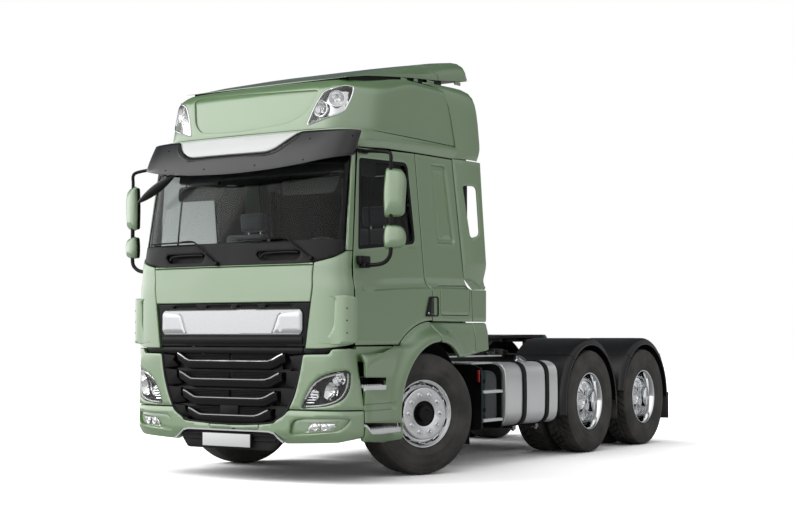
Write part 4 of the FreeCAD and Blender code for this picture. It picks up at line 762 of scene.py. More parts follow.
def lit_from(tree, place, aim, start, end, dark, bright):
    """Grey level that grows from dark to bright as the ray turns towards aim."""
    dot = tree.nodes.new("ShaderNodeVectorMath")
    dot.operation = "DOT_PRODUCT"
    dot.inputs[1].default_value = Vector(aim).normalized()
    tree.links.new(place.outputs["Generated"], dot.inputs[0])
    level = tree.nodes.new("ShaderNodeMapRange")
    level.interpolation_type = "SMOOTHSTEP"
    for key, value in (("From Min", start), ("From Max", end), ("To Min", dark), ("To Max", bright)):
        level.inputs[key].default_value = value
    tree.links.new(dot.outputs["Value"], level.inputs["Value"])
    return level.outputs[0]


print("sky ready")

# %% Studio sky
def studio_sky():
    world = bpy.data.worlds.new("studio_sky")
    world.use_nodes = True
    tree = world.node_tree
    tree.nodes.clear()
    link = tree.links.new
    out = tree.nodes.new("ShaderNodeOutputWorld")
    path = tree.nodes.new("ShaderNodeLightPath")
    place = tree.nodes.new("ShaderNodeTexCoord")
    ambient = tree.nodes.new("ShaderNodeBackground")
    seen = tree.nodes.new("ShaderNodeBackground")
    plain = tree.nodes.new("ShaderNodeBackground")
    plain.inputs["Color"].default_value = (1, 1, 1, 1)
    link(lit_from(tree, place, *AMBIENT), ambient.inputs["Color"])
    level = tree.nodes.new("ShaderNodeMath")
    level.operation = "MULTIPLY"
    link(lit_from(tree, place, *FRONT_GLOW), level.inputs[0])
    link(lit_from(tree, place, *RIGHT_GLOW), level.inputs[1])
    tint = tree.nodes.new("ShaderNodeMix")
    tint.data_type = "RGBA"
    tint.inputs["B"].default_value = PATCH_COLOUR
    link(lit_from(tree, place, *DARK_PATCH), tint.inputs["Factor"])
    link(level.outputs[0], tint.inputs["A"])
    link(tint.outputs["Result"], seen.inputs["Color"])
    either = tree.nodes.new("ShaderNodeMath")
    either.operation = "MAXIMUM"
    first = tree.nodes.new("ShaderNodeMixShader")
    second = tree.nodes.new("ShaderNodeMixShader")
    link(path.outputs["Is Glossy Ray"], either.inputs[0])
    link(path.outputs["Is Transmission Ray"], either.inputs[1])
    link(either.outputs[0], first.inputs[0])
    link(ambient.outputs[0], first.inputs[1])
    link(seen.outputs[0], first.inputs[2])
    link(path.outputs["Is Camera Ray"], second.inputs[0])
    link(first.outputs[0], second.inputs[1])
    link(plain.outputs[0], second.inputs[2])
    link(second.outputs[0], out.inputs[0])
    bpy.context.scene.world = world


studio_sky()
print("sky", bpy.context.scene.world.name)

# %% Lamps: a broad key from the right of the vehicle, and a weak one overhead
def lamp_toward(name, kind, energy, place, target, size):
    data = bpy.data.lights.new(name, kind)
    data.energy = energy
    if kind == "SUN":
        data.angle = math.radians(size)
    else:
        data.size = size
    lamp = bpy.data.objects.new(name, data)
    lamp.location = place
    lamp.rotation_euler = (Vector(target) - Vector(place)).to_track_quat("-Z", "Y").to_euler()
    lamp.visible_glossy = False
    bpy.context.scene.collection.objects.link(lamp)


lamp_toward("key", "SUN", 1.35, (-12, -8.0, 11), (0, 0, 1.0), 38)
lamp_toward("overhead", "SUN", 0.45, (-3, -1, 12), (0, 0, 0), 60)

# %% [markdown]
# ## The cab seen from above
# The front of a cab-over lorry is one broad curve that turns sharply at its corners. Sheet parts
# are drawn on that curve, unrolled: the first number of an outline is the distance `s` along the
# curve from the middle of the front, the second is height. A plan curve then bends them all alike,
# so neighbours always meet.

# %% Class Plan and the curves of cab and bumper
class Plan:
    def __init__(self, half):
        full = [(-x, y) for x, y in reversed(half[1:])] + list(half)
        pts = eased([(x, y, 0) for x, y in full], 16)
        self.x = np.array([p.x for p in pts])
        self.y = np.array([p.y for p in pts])
        run = np.concatenate([[0], np.cumsum(np.hypot(np.diff(self.x), np.diff(self.y)))])
        self.s = run - run[-1] / 2
        self.front = (self.s >= 0) & (self.x < self.x.max() - 0.0004)
        self.side = (self.s > 0) & (self.y > self.y.min() + 0.05)

    def at(self, s, inset=0.0):
        x, y = float(np.interp(s, self.s, self.x)), float(np.interp(s, self.s, self.y))
        if inset:
            dx = float(np.interp(s + 0.01, self.s, self.x) - np.interp(s - 0.01, self.s, self.x))
            dy = float(np.interp(s + 0.01, self.s, self.y) - np.interp(s - 0.01, self.s, self.y))
            size = math.hypot(dx, dy)
            x, y = x - dy / size * inset, y + dx / size * inset
        return x, y

    def s_of(self, x):
        return math.copysign(float(np.interp(abs(x), self.x[self.front], self.s[self.front])), x)

    def s_at_y(self, y):
        return float(np.interp(y, self.y[self.side], self.s[self.side]))

    def lay(self, outline):
        """Outline given as (x, z) unrolled to (s, z)."""
        return [(self.s_of(x), z) for x, z in outline]


print("class Plan and the curves of cab and bumper ready")

# %% Half width and the face of the cab
SIDE_X = 1.15
CAB_PLAN = Plan([(0, -1.41), (0.35, -1.404), (0.65, -1.388), (0.85, -1.372), (0.97, -1.35), (1.06, -1.318),
                 (1.115, -1.279), (1.142, -1.232), (SIDE_X, -1.174), (SIDE_X, -1.1), (SIDE_X, -1.0),
                 (SIDE_X, -0.8), (SIDE_X, -0.4), (SIDE_X, 0.4), (SIDE_X, 1.3)])
BUMPER_PLAN = Plan([(0, -1.41), (0.35, -1.404), (0.65, -1.388), (0.85, -1.372), (0.97, -1.35),
                    (1.06, -1.316), (1.11, -1.286), (1.155, -1.242), (1.2, -1.178), (1.232, -1.12),
                    (1.238, -1.08), (1.238, -0.9)])
COWL = 1.81


def half_width(z):
    """The cab's side leans in a little above the shoulder."""
    return SIDE_X - 0.02 * ramp(z, 1.6, 1.73) - 0.03 * max(0.0, z - 1.72) / 1.03


def cab_face(s, z, inset=0.0):
    x, y = CAB_PLAN.at(s, inset)
    back = 0.18 * max(0.0, z - COWL)
    return Vector((x * half_width(z) / SIDE_X, y + back, z))


print("half width ready")

# %% Bumper face
def bumper_face(s, z, inset=0.0):
    tuck = 0.045 * (1 - ramp(z, 0.31, 0.43)) + 0.012 * ramp(z, 0.588, 0.61)
    x, y = BUMPER_PLAN.at(s, inset + tuck)
    return Vector((x, y, z))


def lamp_face(s, z, inset=0.0):
    """Between bumper and cab the corner narrows smoothly from one plan to the other."""
    low, high = Vector(BUMPER_PLAN.at(s, inset)), Vector(CAB_PLAN.at(s, inset))
    p = low.lerp(high, ramp(z, 0.58, 1.16))
    return Vector((p.x, p.y, z))


def inset_of(face, depth):
    return lambda s, z: face(s, z, depth)


print("bumper face ready")

# %% End at
def end_at(face, y, z):
    """Distance along the curve at which a face reaches station y on the left side."""
    low, high = 0.9, 2.2
    for _ in range(40):
        mid = (low + high) / 2
        low, high = (mid, high) if face(mid, z).y < y else (low, mid)
    return low


def mirrored(outline):
    return [(-a, b) for a, b in reversed(outline)]


print("front is", round(2 * CAB_PLAN.s_at_y(-1.0), 3), "m round")

# %% [markdown]
# ## Bumper
# The bumper is one moulding with a notch for the number plate, a flap over the tow eye, and a
# sunken bay for each fog lamp. It could be carved from a box, but a moulding is really a bent
# sheet: the outline is drawn flat, the bays are holes, and a second sheet behind closes each bay.

# %% Bumper moulding
BUMPER_END = BUMPER_PLAN.s_at_y(-1.14)
FOG_BAY = rounded([(0.634, 0.392), (0.66, 0.519), (0.75, 0.54), (1.128, 0.545), (1.163, 0.534),
                   (1.122, 0.466), (1.066, 0.436)], 0.045)
FOG_LENS = rounded([(0.778, 0.424), (0.824, 0.501), (1.092, 0.524), (1.036, 0.447)], 0.022)


def bumper_moulding():
    made = Shape()
    side = [(BUMPER_END, 0.606), (BUMPER_PLAN.s_of(0.632), 0.606), (BUMPER_PLAN.s_of(0.6), 0.572)]
    mid = BUMPER_PLAN.lay([(0.52, 0.525), (0.43, 0.489), (0.335, 0.479)])
    flap = BUMPER_PLAN.lay([(0.335, 0.434), (-0.195, 0.434), (-0.195, 0.475)])
    low = BUMPER_PLAN.lay([(-0.66, 0.328), (-0.585, 0.326), (-0.505, 0.416), (0.505, 0.416), (0.585, 0.326),
                           (0.66, 0.328)])
    corner = [(BUMPER_END - 0.22, 0.345), (BUMPER_END - 0.06, 0.372), (BUMPER_END, 0.395)]
    outline = side + mid + flap + mirrored(side + mid[:2]) + mirrored(corner) + low + corner
    bays = [rounded(BUMPER_PLAN.lay(FOG_BAY), 0), rounded(mirrored(BUMPER_PLAN.lay(FOG_BAY)), 0)]
    made.skin(rounded(outline, 0.012, 3), bumper_face, 0.03, PAINT, SATIN_BLACK, holes=bays, step=0.022,
              roll=0.006, lip=0.004)
    for bay in bays:
        made.skin(bay, inset_of(bumper_face, 0.029), 0.006, PAINT, SATIN_BLACK, step=0.02, roll=0)
    made.bar((-0.6, -1.33, 0.47), (0.6, -1.318, 0.56), SATIN_BLACK)
    return made


print("bumper moulding ready")

# %% Tow flap
def tow_flap():
    made = Shape()
    lay = BUMPER_PLAN.lay([(0.331, 0.438), (0.331, 0.479), (0.2, 0.471), (-0.19, 0.47), (-0.191, 0.438)])
    made.skin(rounded(lay, 0.006, 3), bumper_face, 0.024, PAINT, SATIN_BLACK, step=0.02, roll=0.004)
    made.bar((0.055, -1.414, 0.428), (0.085, -1.404, 0.44), SATIN_BLACK, 0.003)
    return made


def fog_lamps():
    made = Shape()
    lens = BUMPER_PLAN.lay(FOG_LENS)
    deep = inset_of(bumper_face, 0.026)
    made.skin(lens, inset_of(bumper_face, 0.014), 0.004, LENS, step=0.02, roll=0.003)
    made.skin(lens, inset_of(bumper_face, 0.0285), 0.002, REFLECTOR, step=0.02, roll=0)
    for x in (0.88, 0.965):
        s, z = BUMPER_PLAN.s_of(x), 0.474
        out = (bumper_face(s, z, 0.0) - bumper_face(s, z, 0.02)).normalized()
        made.turned([(0.01, 0.0001), (0.004, 0.012), (0.0, 0.024), (0.004, 0.029), (0.0, 0.03),
                     (-0.002, 0.0001)], deep(s, z), out, REFLECTOR, 28)
    s = BUMPER_PLAN.s_of(0.925)
    made.bar(deep(s, 0.474) - Vector((0.004, 0.0, 0.03)), deep(s, 0.474) + Vector((0.004, 0.006, 0.03)),
             SATIN_BLACK)
    made.both_sides()
    return made


print("tow flap ready")

# %% Plate bay
def plate_bay():
    """Dark lower valance with louvres, below the bright trim and the bare number plate in its holder,
    which are built apart. Its black is partly a spoiler and partly painted shade for the dark under the
    bumper.
    """
    made = Shape()
    lay = BUMPER_PLAN.lay([(-0.6, 0.42), (-0.47, 0.262), (0.47, 0.262), (0.6, 0.42)])
    made.skin(rounded(lay, 0.02, 3), inset_of(lambda s, z, i=0.0: Vector((*BUMPER_PLAN.at(s, i), z)), 0.03),
              0.02, GRAIN_BLACK, step=0.04)
    for z in (0.345, 0.385):
        path = [(x, BUMPER_PLAN.at(BUMPER_PLAN.s_of(x))[1] + 0.022, z)
                for x in (-0.5, -0.25, 0.0, 0.25, 0.5)]
        made.tube(path, 0.009, SATIN_BLACK, 10)
    return made


def plate_trim():
    made = Shape()
    half = [(0.0, 0.424), (0.3, 0.424), (0.44, 0.423), (0.495, 0.41), (0.535, 0.375), (0.572, 0.348),
            (0.592, 0.341)]
    path = mirrored(half)[:-1] + half
    rows = []
    for x, z in path:
        x0, y0 = BUMPER_PLAN.at(BUMPER_PLAN.s_of(x))
        rows.append([Vector((x0, y0 + dy, z + dz)) for dz, dy in ((-0.009, 0.012), (-0.009, -0.002),
                (-0.006, -0.006), (0.006, -0.006), (0.009, -0.002), (0.009, 0.012))])
    made.loft(rows, SATIN)
    return made


print("plate bay ready")

# %% Number plate
def number_plate():
    made = Shape()
    y = -1.418
    made.bar((-0.268, y, 0.28), (0.268, y + 0.014, 0.4), SATIN_BLACK, 0.004)
    made.bar((-0.258, y - 0.003, 0.286), (0.258, y + 0.004, 0.394), BLANK, 0.0015)
    for x in (-0.18, 0.18):
        made.disc((x, y - 0.0028, 0.34), (0, -1, 0), 0.006, 0.0015, BLANK, 12, 0.0006)
    return made


piece("bumper_moulding", bumper_moulding(), "chassis", ["bumper"])
piece("tow_flap", tow_flap(), "chassis")
piece("fog_lamps", fog_lamps(), "chassis")
piece("plate_bay", plate_bay(), "chassis")
piece("plate_trim", plate_trim(), "chassis")
piece("number_plate", number_plate(), "chassis")
print("bumper pieces", {k: v for k, v in triangles.items()})

# %% [markdown]
# ## Lamp panels and headlamps
# Above the bumper a painted panel each side frames the headlamp. Its inner edge follows the
# grille. A headlamp is a clear shell with bowls of different size behind it, so the bowls are
# bodies of revolution set square to the surface, and the shell is a thin sheet of lens material.

# %% Lamp panels
LAMP = [(0.749, 0.619), (0.789, 0.713), (0.847, 0.815), (0.929, 0.883), (1.018, 0.916), (1.136, 0.937),
        (1.163, 0.915), (1.164, 0.841), (1.149, 0.754), (1.109, 0.686), (1.006, 0.642)]
LAMP_RADII = [0.03, 0.1, 0.1, 0.1, 0.1, 0.02, 0.02, 0.08, 0.08, 0.08, 0.1]


def lamp_outline(grow=0.0):
    middle = Vector((1.0, 0.78))
    out = []
    for x, z in LAMP:
        p = Vector((BUMPER_PLAN.s_of(x), z))
        out.append(tuple(p + (p - Vector((BUMPER_PLAN.s_of(middle.x), middle.y))).normalized() * grow))
    return rounded(out, LAMP_RADII, 5)


def lamp_panels():
    made = Shape()
    at = BUMPER_PLAN.s_of
    low, high, top = (end_at(lamp_face, -1.142, z) for z in (0.615, 1.06, 1.1))
    outline = [(at(0.64), 0.613), (at(0.7), 0.73), (at(0.745), 0.9), (at(0.778), 1.06), (at(1.01), 1.064),
               (at(1.03), 1.104), (top - 0.1, 1.112), (top, 1.104), (high, 1.06), (low, 0.613)]
    made.skin(rounded(outline, [0.01, 0.1, 0.1, 0.02, 0.02, 0.02, 0.03, 0.01, 0.02, 0.01], 4), lamp_face,
              0.03, PAINT, SATIN_BLACK, holes=[lamp_outline()], step=0.022, roll=0.006, lip=0.004)
    made.both_sides()
    return made


print("lamp panels ready")

# %% Bowl of a lamp
def bowl(made, face, s, z, r, depth, back, material, tilt=0.0):
    """Reflector bowl set square to a face, its rim `back` behind it."""
    centre = face(s, z, back)
    out = (face(s, z, 0.0) - face(s, z, 0.02)).normalized()
    out = (out + Vector((-0.35 * tilt, -tilt, 0))).normalized()
    profile = [(-depth * (1 - k * k), max(0.0001, r * k)) for k in (0.0, 0.2, 0.4, 0.6, 0.8, 1.0)]
    made.turned(profile + [(0.003, r + 0.003), (-0.004, r + 0.003)], centre, out, material, 40,
                closed=False)
    return centre, out


def headlamps():
    made = Shape()
    made.skin(lamp_outline(-0.004), inset_of(lamp_face, 0.002), 0.004, LENS, step=0.02, roll=0.006,
              lip=0.002)
    made.skin(lamp_outline(0.004), inset_of(lamp_face, 0.075), 0.004, SATIN_BLACK, step=0.03, roll=0)
    at = BUMPER_PLAN.s_of
    for x, z, r in ((1.015, 0.765, 0.07), (1.085, 0.862, 0.052), (0.878, 0.735, 0.04)):
        centre, out = bowl(made, lamp_face, at(x), z, r, r * 0.62, 0.03, REFLECTOR, 0.4)
        made.disc(centre - out * r * 0.55, out, r * 0.2, r * 0.45, LENS, 20, 0.004)
    strip = [lamp_face(at(x), z, 0.016) for x, z in ((1.148, 0.905), (1.146, 0.84), (1.128, 0.765),
            (1.085, 0.7), (1.0, 0.662), (0.9, 0.645), (0.8, 0.64))]
    made.tube(strip, 0.006, PANEL_WHITE, 8)
    brow = [lamp_face(at(x), z, 0.024) for x, z in ((0.79, 0.7), (0.86, 0.806), (0.94, 0.862),
            (1.03, 0.893), (1.12, 0.91))]
    made.tube(brow, 0.01, CHROME, 8)
    divider = [lamp_face(at(x), z, 0.026) for x, z in ((0.925, 0.65), (0.95, 0.72), (0.965, 0.79),
            (1.0, 0.84), (1.06, 0.9))]
    made.tube(divider, 0.009, SATIN_BLACK, 8)
    for k in range(5):
        z = 0.668 + 0.022 * k
        made.tube([lamp_face(at(x), z, 0.034) for x in (0.79 + 0.012 * k, 0.83 + 0.012 * k,
                0.868 + 0.012 * k)], 0.006, REFLECTOR, 8)
    made.both_sides()
    return made


print("bowl ready")

# %% Tail lamps
def tail_lamps():
    made = Shape()
    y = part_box("frame_rails")[1].y - AXLE_Y
    for side in (1, -1):
        x = side * 0.48
        made.bar((x - 0.165, y + 0.002, 0.765), (x + 0.165, y + 0.055, 0.895), SATIN_BLACK, 0.012)
        for k, lens in enumerate((RED_LENS, RED_LENS, AMBER_LENS)):
            cx = x + side * (k - 1) * 0.105
            made.bar((cx - 0.048, y + 0.05, 0.777), (cx + 0.048, y + 0.068, 0.883), lens, 0.008)
    return made


piece("lamp_panels", lamp_panels(), "chassis")
piece("headlamps", headlamps(), "chassis", ["lamps"])
piece("tail_lamps", tail_lamps(), "chassis")
print("lamps", triangles["headlamps"], "triangles")

# %% [markdown]
# ## Grille
# Four louvres cross the opening. Each one is a dark blade with a honeycomb mesh above it and a
# bright strip along its edge that sweeps up at both ends. The louvre is a section carried along a
# path; the honeycomb is a real net of six-sided cells, cut to the band, because bump alone would
# not let the light through.

# %% Grille louvres and bright strips
GRILLE_EDGE = [(0.0, 0.474), (0.43, 0.494), (0.52, 0.53), (0.6, 0.579), (0.64, 0.64), (0.692, 0.755),
               (0.738, 0.9), (0.772, 1.065)]
LOUVRES = [(1.005, 0.575, 0.068), (0.85, 0.545, 0.064), (0.693, 0.498, 0.062), (0.548, 0.435, 0.056)]


def grille_face(s, z, inset=0.0):
    x, y = CAB_PLAN.at(s, inset)
    return Vector((x, y + 0.01 + 0.012 * ramp(z, 1.0, 1.14), z))


def sweep(made, path, section, material):
    """Carries a section of (forward, up) points along a path of (x, z) on the grille's face."""
    rows = []
    for x, z in path:
        base = grille_face(CAB_PLAN.s_of(x), z)
        rows.append([base + Vector((0, -f, u)) for f, u in section])
    made.loft(rows, material)


print("grille louvres and bright strips ready")

# %% Louvre path
def louvre_path(z, end, rise, count=12):
    half = [(end * k / count, z + rise * ramp(end * k / count, end - 0.16, end + 0.03))
            for k in range(count + 1)]
    return mirrored(half)[:-1] + half


def grille_blades():
    made = Shape()
    blade = [(0.0, 0.01), (0.006, -0.004), (-0.01, -0.05), (-0.03, -0.062), (-0.06, -0.04), (-0.05, 0.004)]
    for z, end, rise in LOUVRES:
        sweep(made, louvre_path(z - 0.012, end + 0.015, rise), blade, SATIN_BLACK)
    for z in (0.925, 0.77, 0.62):
        lay = [(-0.62 + 1.24 * k / 12, z) for k in range(13)]
        sweep(made, lay, [(-0.045, 0.012), (-0.04, -0.012), (-0.075, -0.012), (-0.075, 0.012)], GRAIN_BLACK)
    for x in (-0.42, -0.14, 0.14, 0.42):
        made.bar((x - 0.014, -1.345, 0.5), (x + 0.014, -1.325, 1.06), GRAIN_BLACK, 0.003)
    return made


print("louvre path ready")

# %% Grille strips
def grille_strips():
    made = Shape()
    strip = [(0.012, 0.007), (0.016, 0.003), (0.016, -0.004), (0.01, -0.009), (0.002, -0.008),
             (0.002, 0.006)]
    for z, end, rise in LOUVRES:
        sweep(made, louvre_path(z, end, rise), strip, CHROME)
    return made


def honeycomb():
    """Six-sided cells in the band above each louvre, as thin raised walls on a dark back."""
    made = Shape()
    cell = 0.015
    for z, end, rise in LOUVRES:
        low, high = z + 0.006, z + 0.062
        rows = int((high - low) / (cell * 0.87)) + 1
        for j in range(rows):
            cz = low + j * cell * 0.87
            count = int(end / cell) - 2
            for i in range(-count, count + 1):
                cx = (i + 0.5 * (j % 2)) * cell
                if cz < z + rise * ramp(abs(cx), end - 0.16, end + 0.03) + 0.004:
                    continue
                base = grille_face(CAB_PLAN.s_of(cx), cz, 0.03)
                ring = [(math.cos(t), math.sin(t)) for t in (math.radians(30 + 60 * k) for k in range(6))]
                outer = [base + Vector((c * cell * 0.56, 0, s * cell * 0.56)) for c, s in ring]
                inner = [base + Vector((c * cell * 0.4, 0, s * cell * 0.4)) for c, s in ring]
                deep = [p + Vector((0, 0.01, 0)) for p in inner]
                made.net([outer, inner, deep], SATIN_BLACK, closed=True)
    return made


print("grille strips ready")

# %% Grille frame
def grille_frame():
    """Side cheeks with folded facets, and the dark wall behind everything."""
    made = Shape()
    edge = CAB_PLAN.lay(GRILLE_EDGE[1:])
    notch = CAB_PLAN.lay([(0.53, 1.065), (0.53, 0.86), (-0.53, 0.86), (-0.53, 1.065)])
    made.skin(mirrored(edge) + edge + notch, inset_of(grille_face, 0.085), 0.006, GRAIN_BLACK, step=0.05,
              roll=0)
    front = CAB_PLAN.lay([(-0.54, 0.855), (0.54, 0.855), (0.54, 1.06), (-0.54, 1.06)])
    made.skin(front, inset_of(grille_face, 0.042), 0.003, GRAIN_BLACK, step=0.05, roll=0)
    stations = [(0.56, 0.5, 0.44), (0.655, 0.63, 0.5), (0.712, 0.785, 0.55), (0.752, 0.935, 0.6),
                (0.775, 1.06, 0.63)]
    for (xa, za, ia), (xb, zb, ib) in zip(stations, stations[1:]):
        corner = [grille_face(CAB_PLAN.s_of(x), z, d) for x, z, d in ((xa, za, -0.002), (xb, zb, -0.002),
                (ib, zb - 0.015, 0.01), (ia + 0.05, za + 0.075, 0.012), (ia + 0.02, za + 0.02, 0.05))]
        deep = [p + Vector((0, 0.07, 0)) for p in corner]
        made.mesh(corner + deep, [(0, 1, 2, 3), (0, 3, 4), (0, 5, 6, 1), (1, 6, 7, 2), (2, 7, 8, 3),
                                  (3, 8, 9, 4), (4, 9, 5, 0)], SATIN_BLACK)
    made.both_sides()
    lip = [(x, z - 0.004) for x, z in GRILLE_EDGE]
    path = mirrored(lip)[:-1] + lip
    made.tube([grille_face(CAB_PLAN.s_of(x), z) for x, z in path], 0.012, SATIN_BLACK, 10, 4)
    made.bar((-0.1, -1.385, 0.545), (0.1, -1.335, 0.665), SATIN_BLACK, 0.012)
    return made


print("grille frame ready")

# %% Top bar
def top_bar():
    """Rounded bar and dark end flaps between the grille and the service lid."""
    made = Shape()
    section = [(-0.01, 0.03), (0.008, 0.026), (0.016, 0.01), (0.014, -0.012), (0.0, -0.028), (-0.03, -0.03),
               (-0.05, 0.0)]
    path = [(-0.76 + 1.52 * k / 24, 1.092) for k in range(25)]
    sweep(made, path, [(f - 0.012, u) for f, u in section], SATIN_BLACK)
    wing = CAB_PLAN.lay([(0.74, 1.068), (0.98, 1.072), (1.03, 1.11), (0.985, 1.125), (0.8, 1.125),
                         (0.755, 1.11)])
    for outline in (wing, mirrored(wing)):
        made.skin(rounded(outline, 0.01, 3), inset_of(cab_face, 0.024), 0.03, SATIN_BLACK, step=0.03)
    return made


piece("grille_blades", grille_blades(), "chassis", ["grille"])
piece("grille_strips", grille_strips(), "chassis")
piece("grille_honeycomb", honeycomb(), "chassis")
piece("grille_frame", grille_frame(), "chassis")
piece("grille_top_bar", top_bar(), "chassis")
print("honeycomb", triangles["grille_honeycomb"], "triangles")

# %% [markdown]
# ## Service lid and corner panels
# The lid across the front lifts for oil and washer fluid. It carries the painted upper panel, a
# black surround and the broad satin name board, which is left bare. The corner panels beside it
# turn round to the doors, and each carries an upright vane that blows the mirrors' side clean.

# %% Service lid
def lid_edge(z):
    return 0.791 + (z - 1.14) * (0.885 - 0.791) / 0.664


BOARD = [(-0.742, 1.226), (0.742, 1.226), (0.766, 1.262), (0.766, 1.405), (0.74, 1.436), (-0.74, 1.436),
         (-0.766, 1.405), (-0.766, 1.262)]


def lid_skin():
    made = Shape()
    at = CAB_PLAN.s_of
    half = [(at(lid_edge(1.497)), 1.497), (at(lid_edge(1.797)), 1.797)]
    outline = [half[0], half[1], *mirrored(half)]
    made.skin(rounded(outline, 0.008, 3), cab_face, 0.022, PAINT, PAINT_INSIDE, step=0.025, roll=0.006,
              lip=0.005)
    return made


print("service lid ready")

# %% Lid surround
def lid_surround():
    """Black frame with slots above the board and the rounded bar below it."""
    made = Shape()
    at = CAB_PLAN.s_of
    outer = [(at(lid_edge(1.128)), 1.128), (at(lid_edge(1.492)), 1.492)]
    hole = CAB_PLAN.lay([(-0.752, 1.24), (0.752, 1.24), (0.752, 1.42), (-0.752, 1.42)])
    slots = [CAB_PLAN.lay([(x - w, 1.452), (x + w, 1.452), (x + w * 0.86, 1.474), (x - w * 0.86, 1.474)])
             for x, w in ((-0.5, 0.15), (-0.12, 0.14), (0.2, 0.12), (0.52, 0.14))]
    made.skin(rounded([*outer, *mirrored(outer)], 0.008, 3), inset_of(cab_face, 0.016), 0.016, SATIN_BLACK,
              holes=[hole, *slots], step=0.03, roll=0.004)
    back = CAB_PLAN.lay([(-0.76, 1.22), (0.76, 1.22), (0.76, 1.485), (-0.76, 1.485)])
    made.skin(back, inset_of(cab_face, 0.034), 0.004, GRAIN_BLACK, step=0.06, roll=0)
    section = [(-0.006, 0.034), (0.006, 0.03), (0.013, 0.012), (0.012, -0.01), (0.002, -0.03),
               (-0.006, -0.034)]
    rows = []
    for k in range(29):
        x = -0.765 + 1.53 * k / 28
        base = cab_face(CAB_PLAN.s_of(x), 1.178, 0.014)
        rows.append([base + Vector((0, -f, u)) for f, u in section])
    made.loft(rows, SATIN_BLACK)
    return made


print("lid surround ready")

# %% Name board
def name_board():
    """Bare satin board with two raised end fields."""
    made = Shape()
    made.skin(rounded(CAB_PLAN.lay(BOARD), 0.012, 4), inset_of(cab_face, -0.002), 0.02, SATIN, step=0.03,
              roll=0.007, lip=0.006)
    field = [(0.478, 1.236), (0.535, 1.385), (0.562, 1.402), (0.735, 1.42), (0.756, 1.405), (0.756, 1.262),
             (0.742, 1.236)]
    bevel = [(0.456, 1.236), (0.517, 1.39), (0.548, 1.412), (0.562, 1.402), (0.535, 1.385), (0.478, 1.236)]
    for outline in (CAB_PLAN.lay(field), mirrored(CAB_PLAN.lay(field))):
        made.skin(rounded(outline, 0.008, 4), inset_of(cab_face, -0.007), 0.006, SATIN, step=0.03,
                  roll=0.006, lip=0.004)
    for outline in (CAB_PLAN.lay(bevel), mirrored(CAB_PLAN.lay(bevel))):
        made.skin(outline, inset_of(cab_face, -0.0045), 0.004, STEEL, step=0.02, roll=0.003, lip=0.002)
    return made


piece("lid_skin", lid_skin(), "front_panel", ["front_panel"])
piece("lid_surround", lid_surround(), "front_panel")
piece("name_board", name_board(), "front_panel")
print("name board", triangles["lid_skin"], "triangles")

# %% Corner panels and their vanes
DOOR_FRONT = -1.16
COWL_EDGE = [(0.745, 1.812), (0.881, 1.82), (0.984, 1.838), (1.066, 1.861), (1.117, 1.892)]


def corner_panels():
    made = Shape()
    at = CAB_PLAN.s_of
    rear = DOOR_FRONT - 0.012
    end_low, end_high = end_at(cab_face, rear, 1.12), end_at(cab_face, rear + 0.01, 1.915)
    crease = [(at(lid_edge(1.8) + 0.008), 1.8), (at(lid_edge(1.128) + 0.008), 1.112)]
    cowl = [(at(x), z) for x, z in COWL_EDGE[2:]]
    outline = [crease[1], (at(0.99), 1.112), (end_low, 1.15), (end_high, 1.915), (at(1.136), 1.912),
               *reversed(cowl), (at(lid_edge(1.8) + 0.008), 1.82)]
    made.skin(rounded(outline, [0.01, 0.1, 0.02, 0.01, 0.01, 0.03, 0.05, 0.05, 0.01], 4), cab_face, 0.03,
              PAINT, PAINT_INSIDE, step=0.022, roll=0.006, lip=0.005)
    made.both_sides()
    return made


print("corner panels and their vanes ready")

# %% Strip over lid
def strip_over_lid():
    """Thin painted strip between the lid and the black cowl."""
    made = Shape()
    at = CAB_PLAN.s_of
    half = [(at(0.88), 1.803), (at(0.88), 1.818), (at(0.745), 1.812)]
    made.skin([half[0], half[1], half[2], *mirrored(half)], inset_of(cab_face, 0.004), 0.02, PAINT,
              step=0.03, roll=0.002)
    return made


VANE_INNER = [(0.955, 1.532), (1.04, 1.535), (1.056, 1.51), (1.052, 1.4), (1.049, 1.304), (1.025, 1.239),
              (0.977, 1.19), (0.907, 1.157)]


def vane_face(s, z, inset=0.0):
    """Stands off the corner: flush along its inner edge, up to 65 mm proud at its rear edge."""
    x, y = CAB_PLAN.at(s, inset - 0.002 - 0.064 * ramp(s, 1.02, 1.22))
    return Vector((x, y, z))


print("strip over lid ready")

# %% Corner vanes
def corner_vanes():
    made = Shape()
    at = CAB_PLAN.s_of
    end = at(1.146) + 0.012
    outline = [(at(x), z) for x, z in VANE_INNER] + [(at(1.06), 1.142), (end, 1.16), (end, 1.528),
            (at(1.1), 1.552)]
    radii = [0.03, 0.02, 0.02, 0.05, 0.08, 0.05, 0.05, 0.02, 0.06, 0.03, 0.03, 0.04]
    made.skin(rounded(outline, radii, 5), vane_face, 0.014, PAINT, PAINT, step=0.018, roll=0.005, lip=0.004)
    for z in (1.24, 1.34, 1.44):
        made.bar((1.1, -1.3, z - 0.008), (1.165, -1.2, z + 0.008), SATIN_BLACK, 0.003)
    made.both_sides()
    return made


piece("corner_panels", corner_panels(), "cab", ["corner_panels"])
piece("cowl_strip", strip_over_lid(), "cab")
piece("corner_vanes", corner_vanes(), "cab")
print("corner panels", triangles["corner_panels"], "triangles")

# %% [markdown]
# ## Windscreen surround, wipers and visor
# The screen is bonded in, so its edge is printed black to hide the glue. Under it lies the black
# scuttle with two recessed grab handles, for whoever cleans the glass. The visor is smoked acrylic,
# bent once and held off the roof, with a white light panel let into its middle.

# %% Screen surround and scuttle
def screen_face(s, z, inset=0.0):
    return cab_face(s, z, inset + 0.013 * ramp(z, COWL - 0.01, COWL + 0.02))


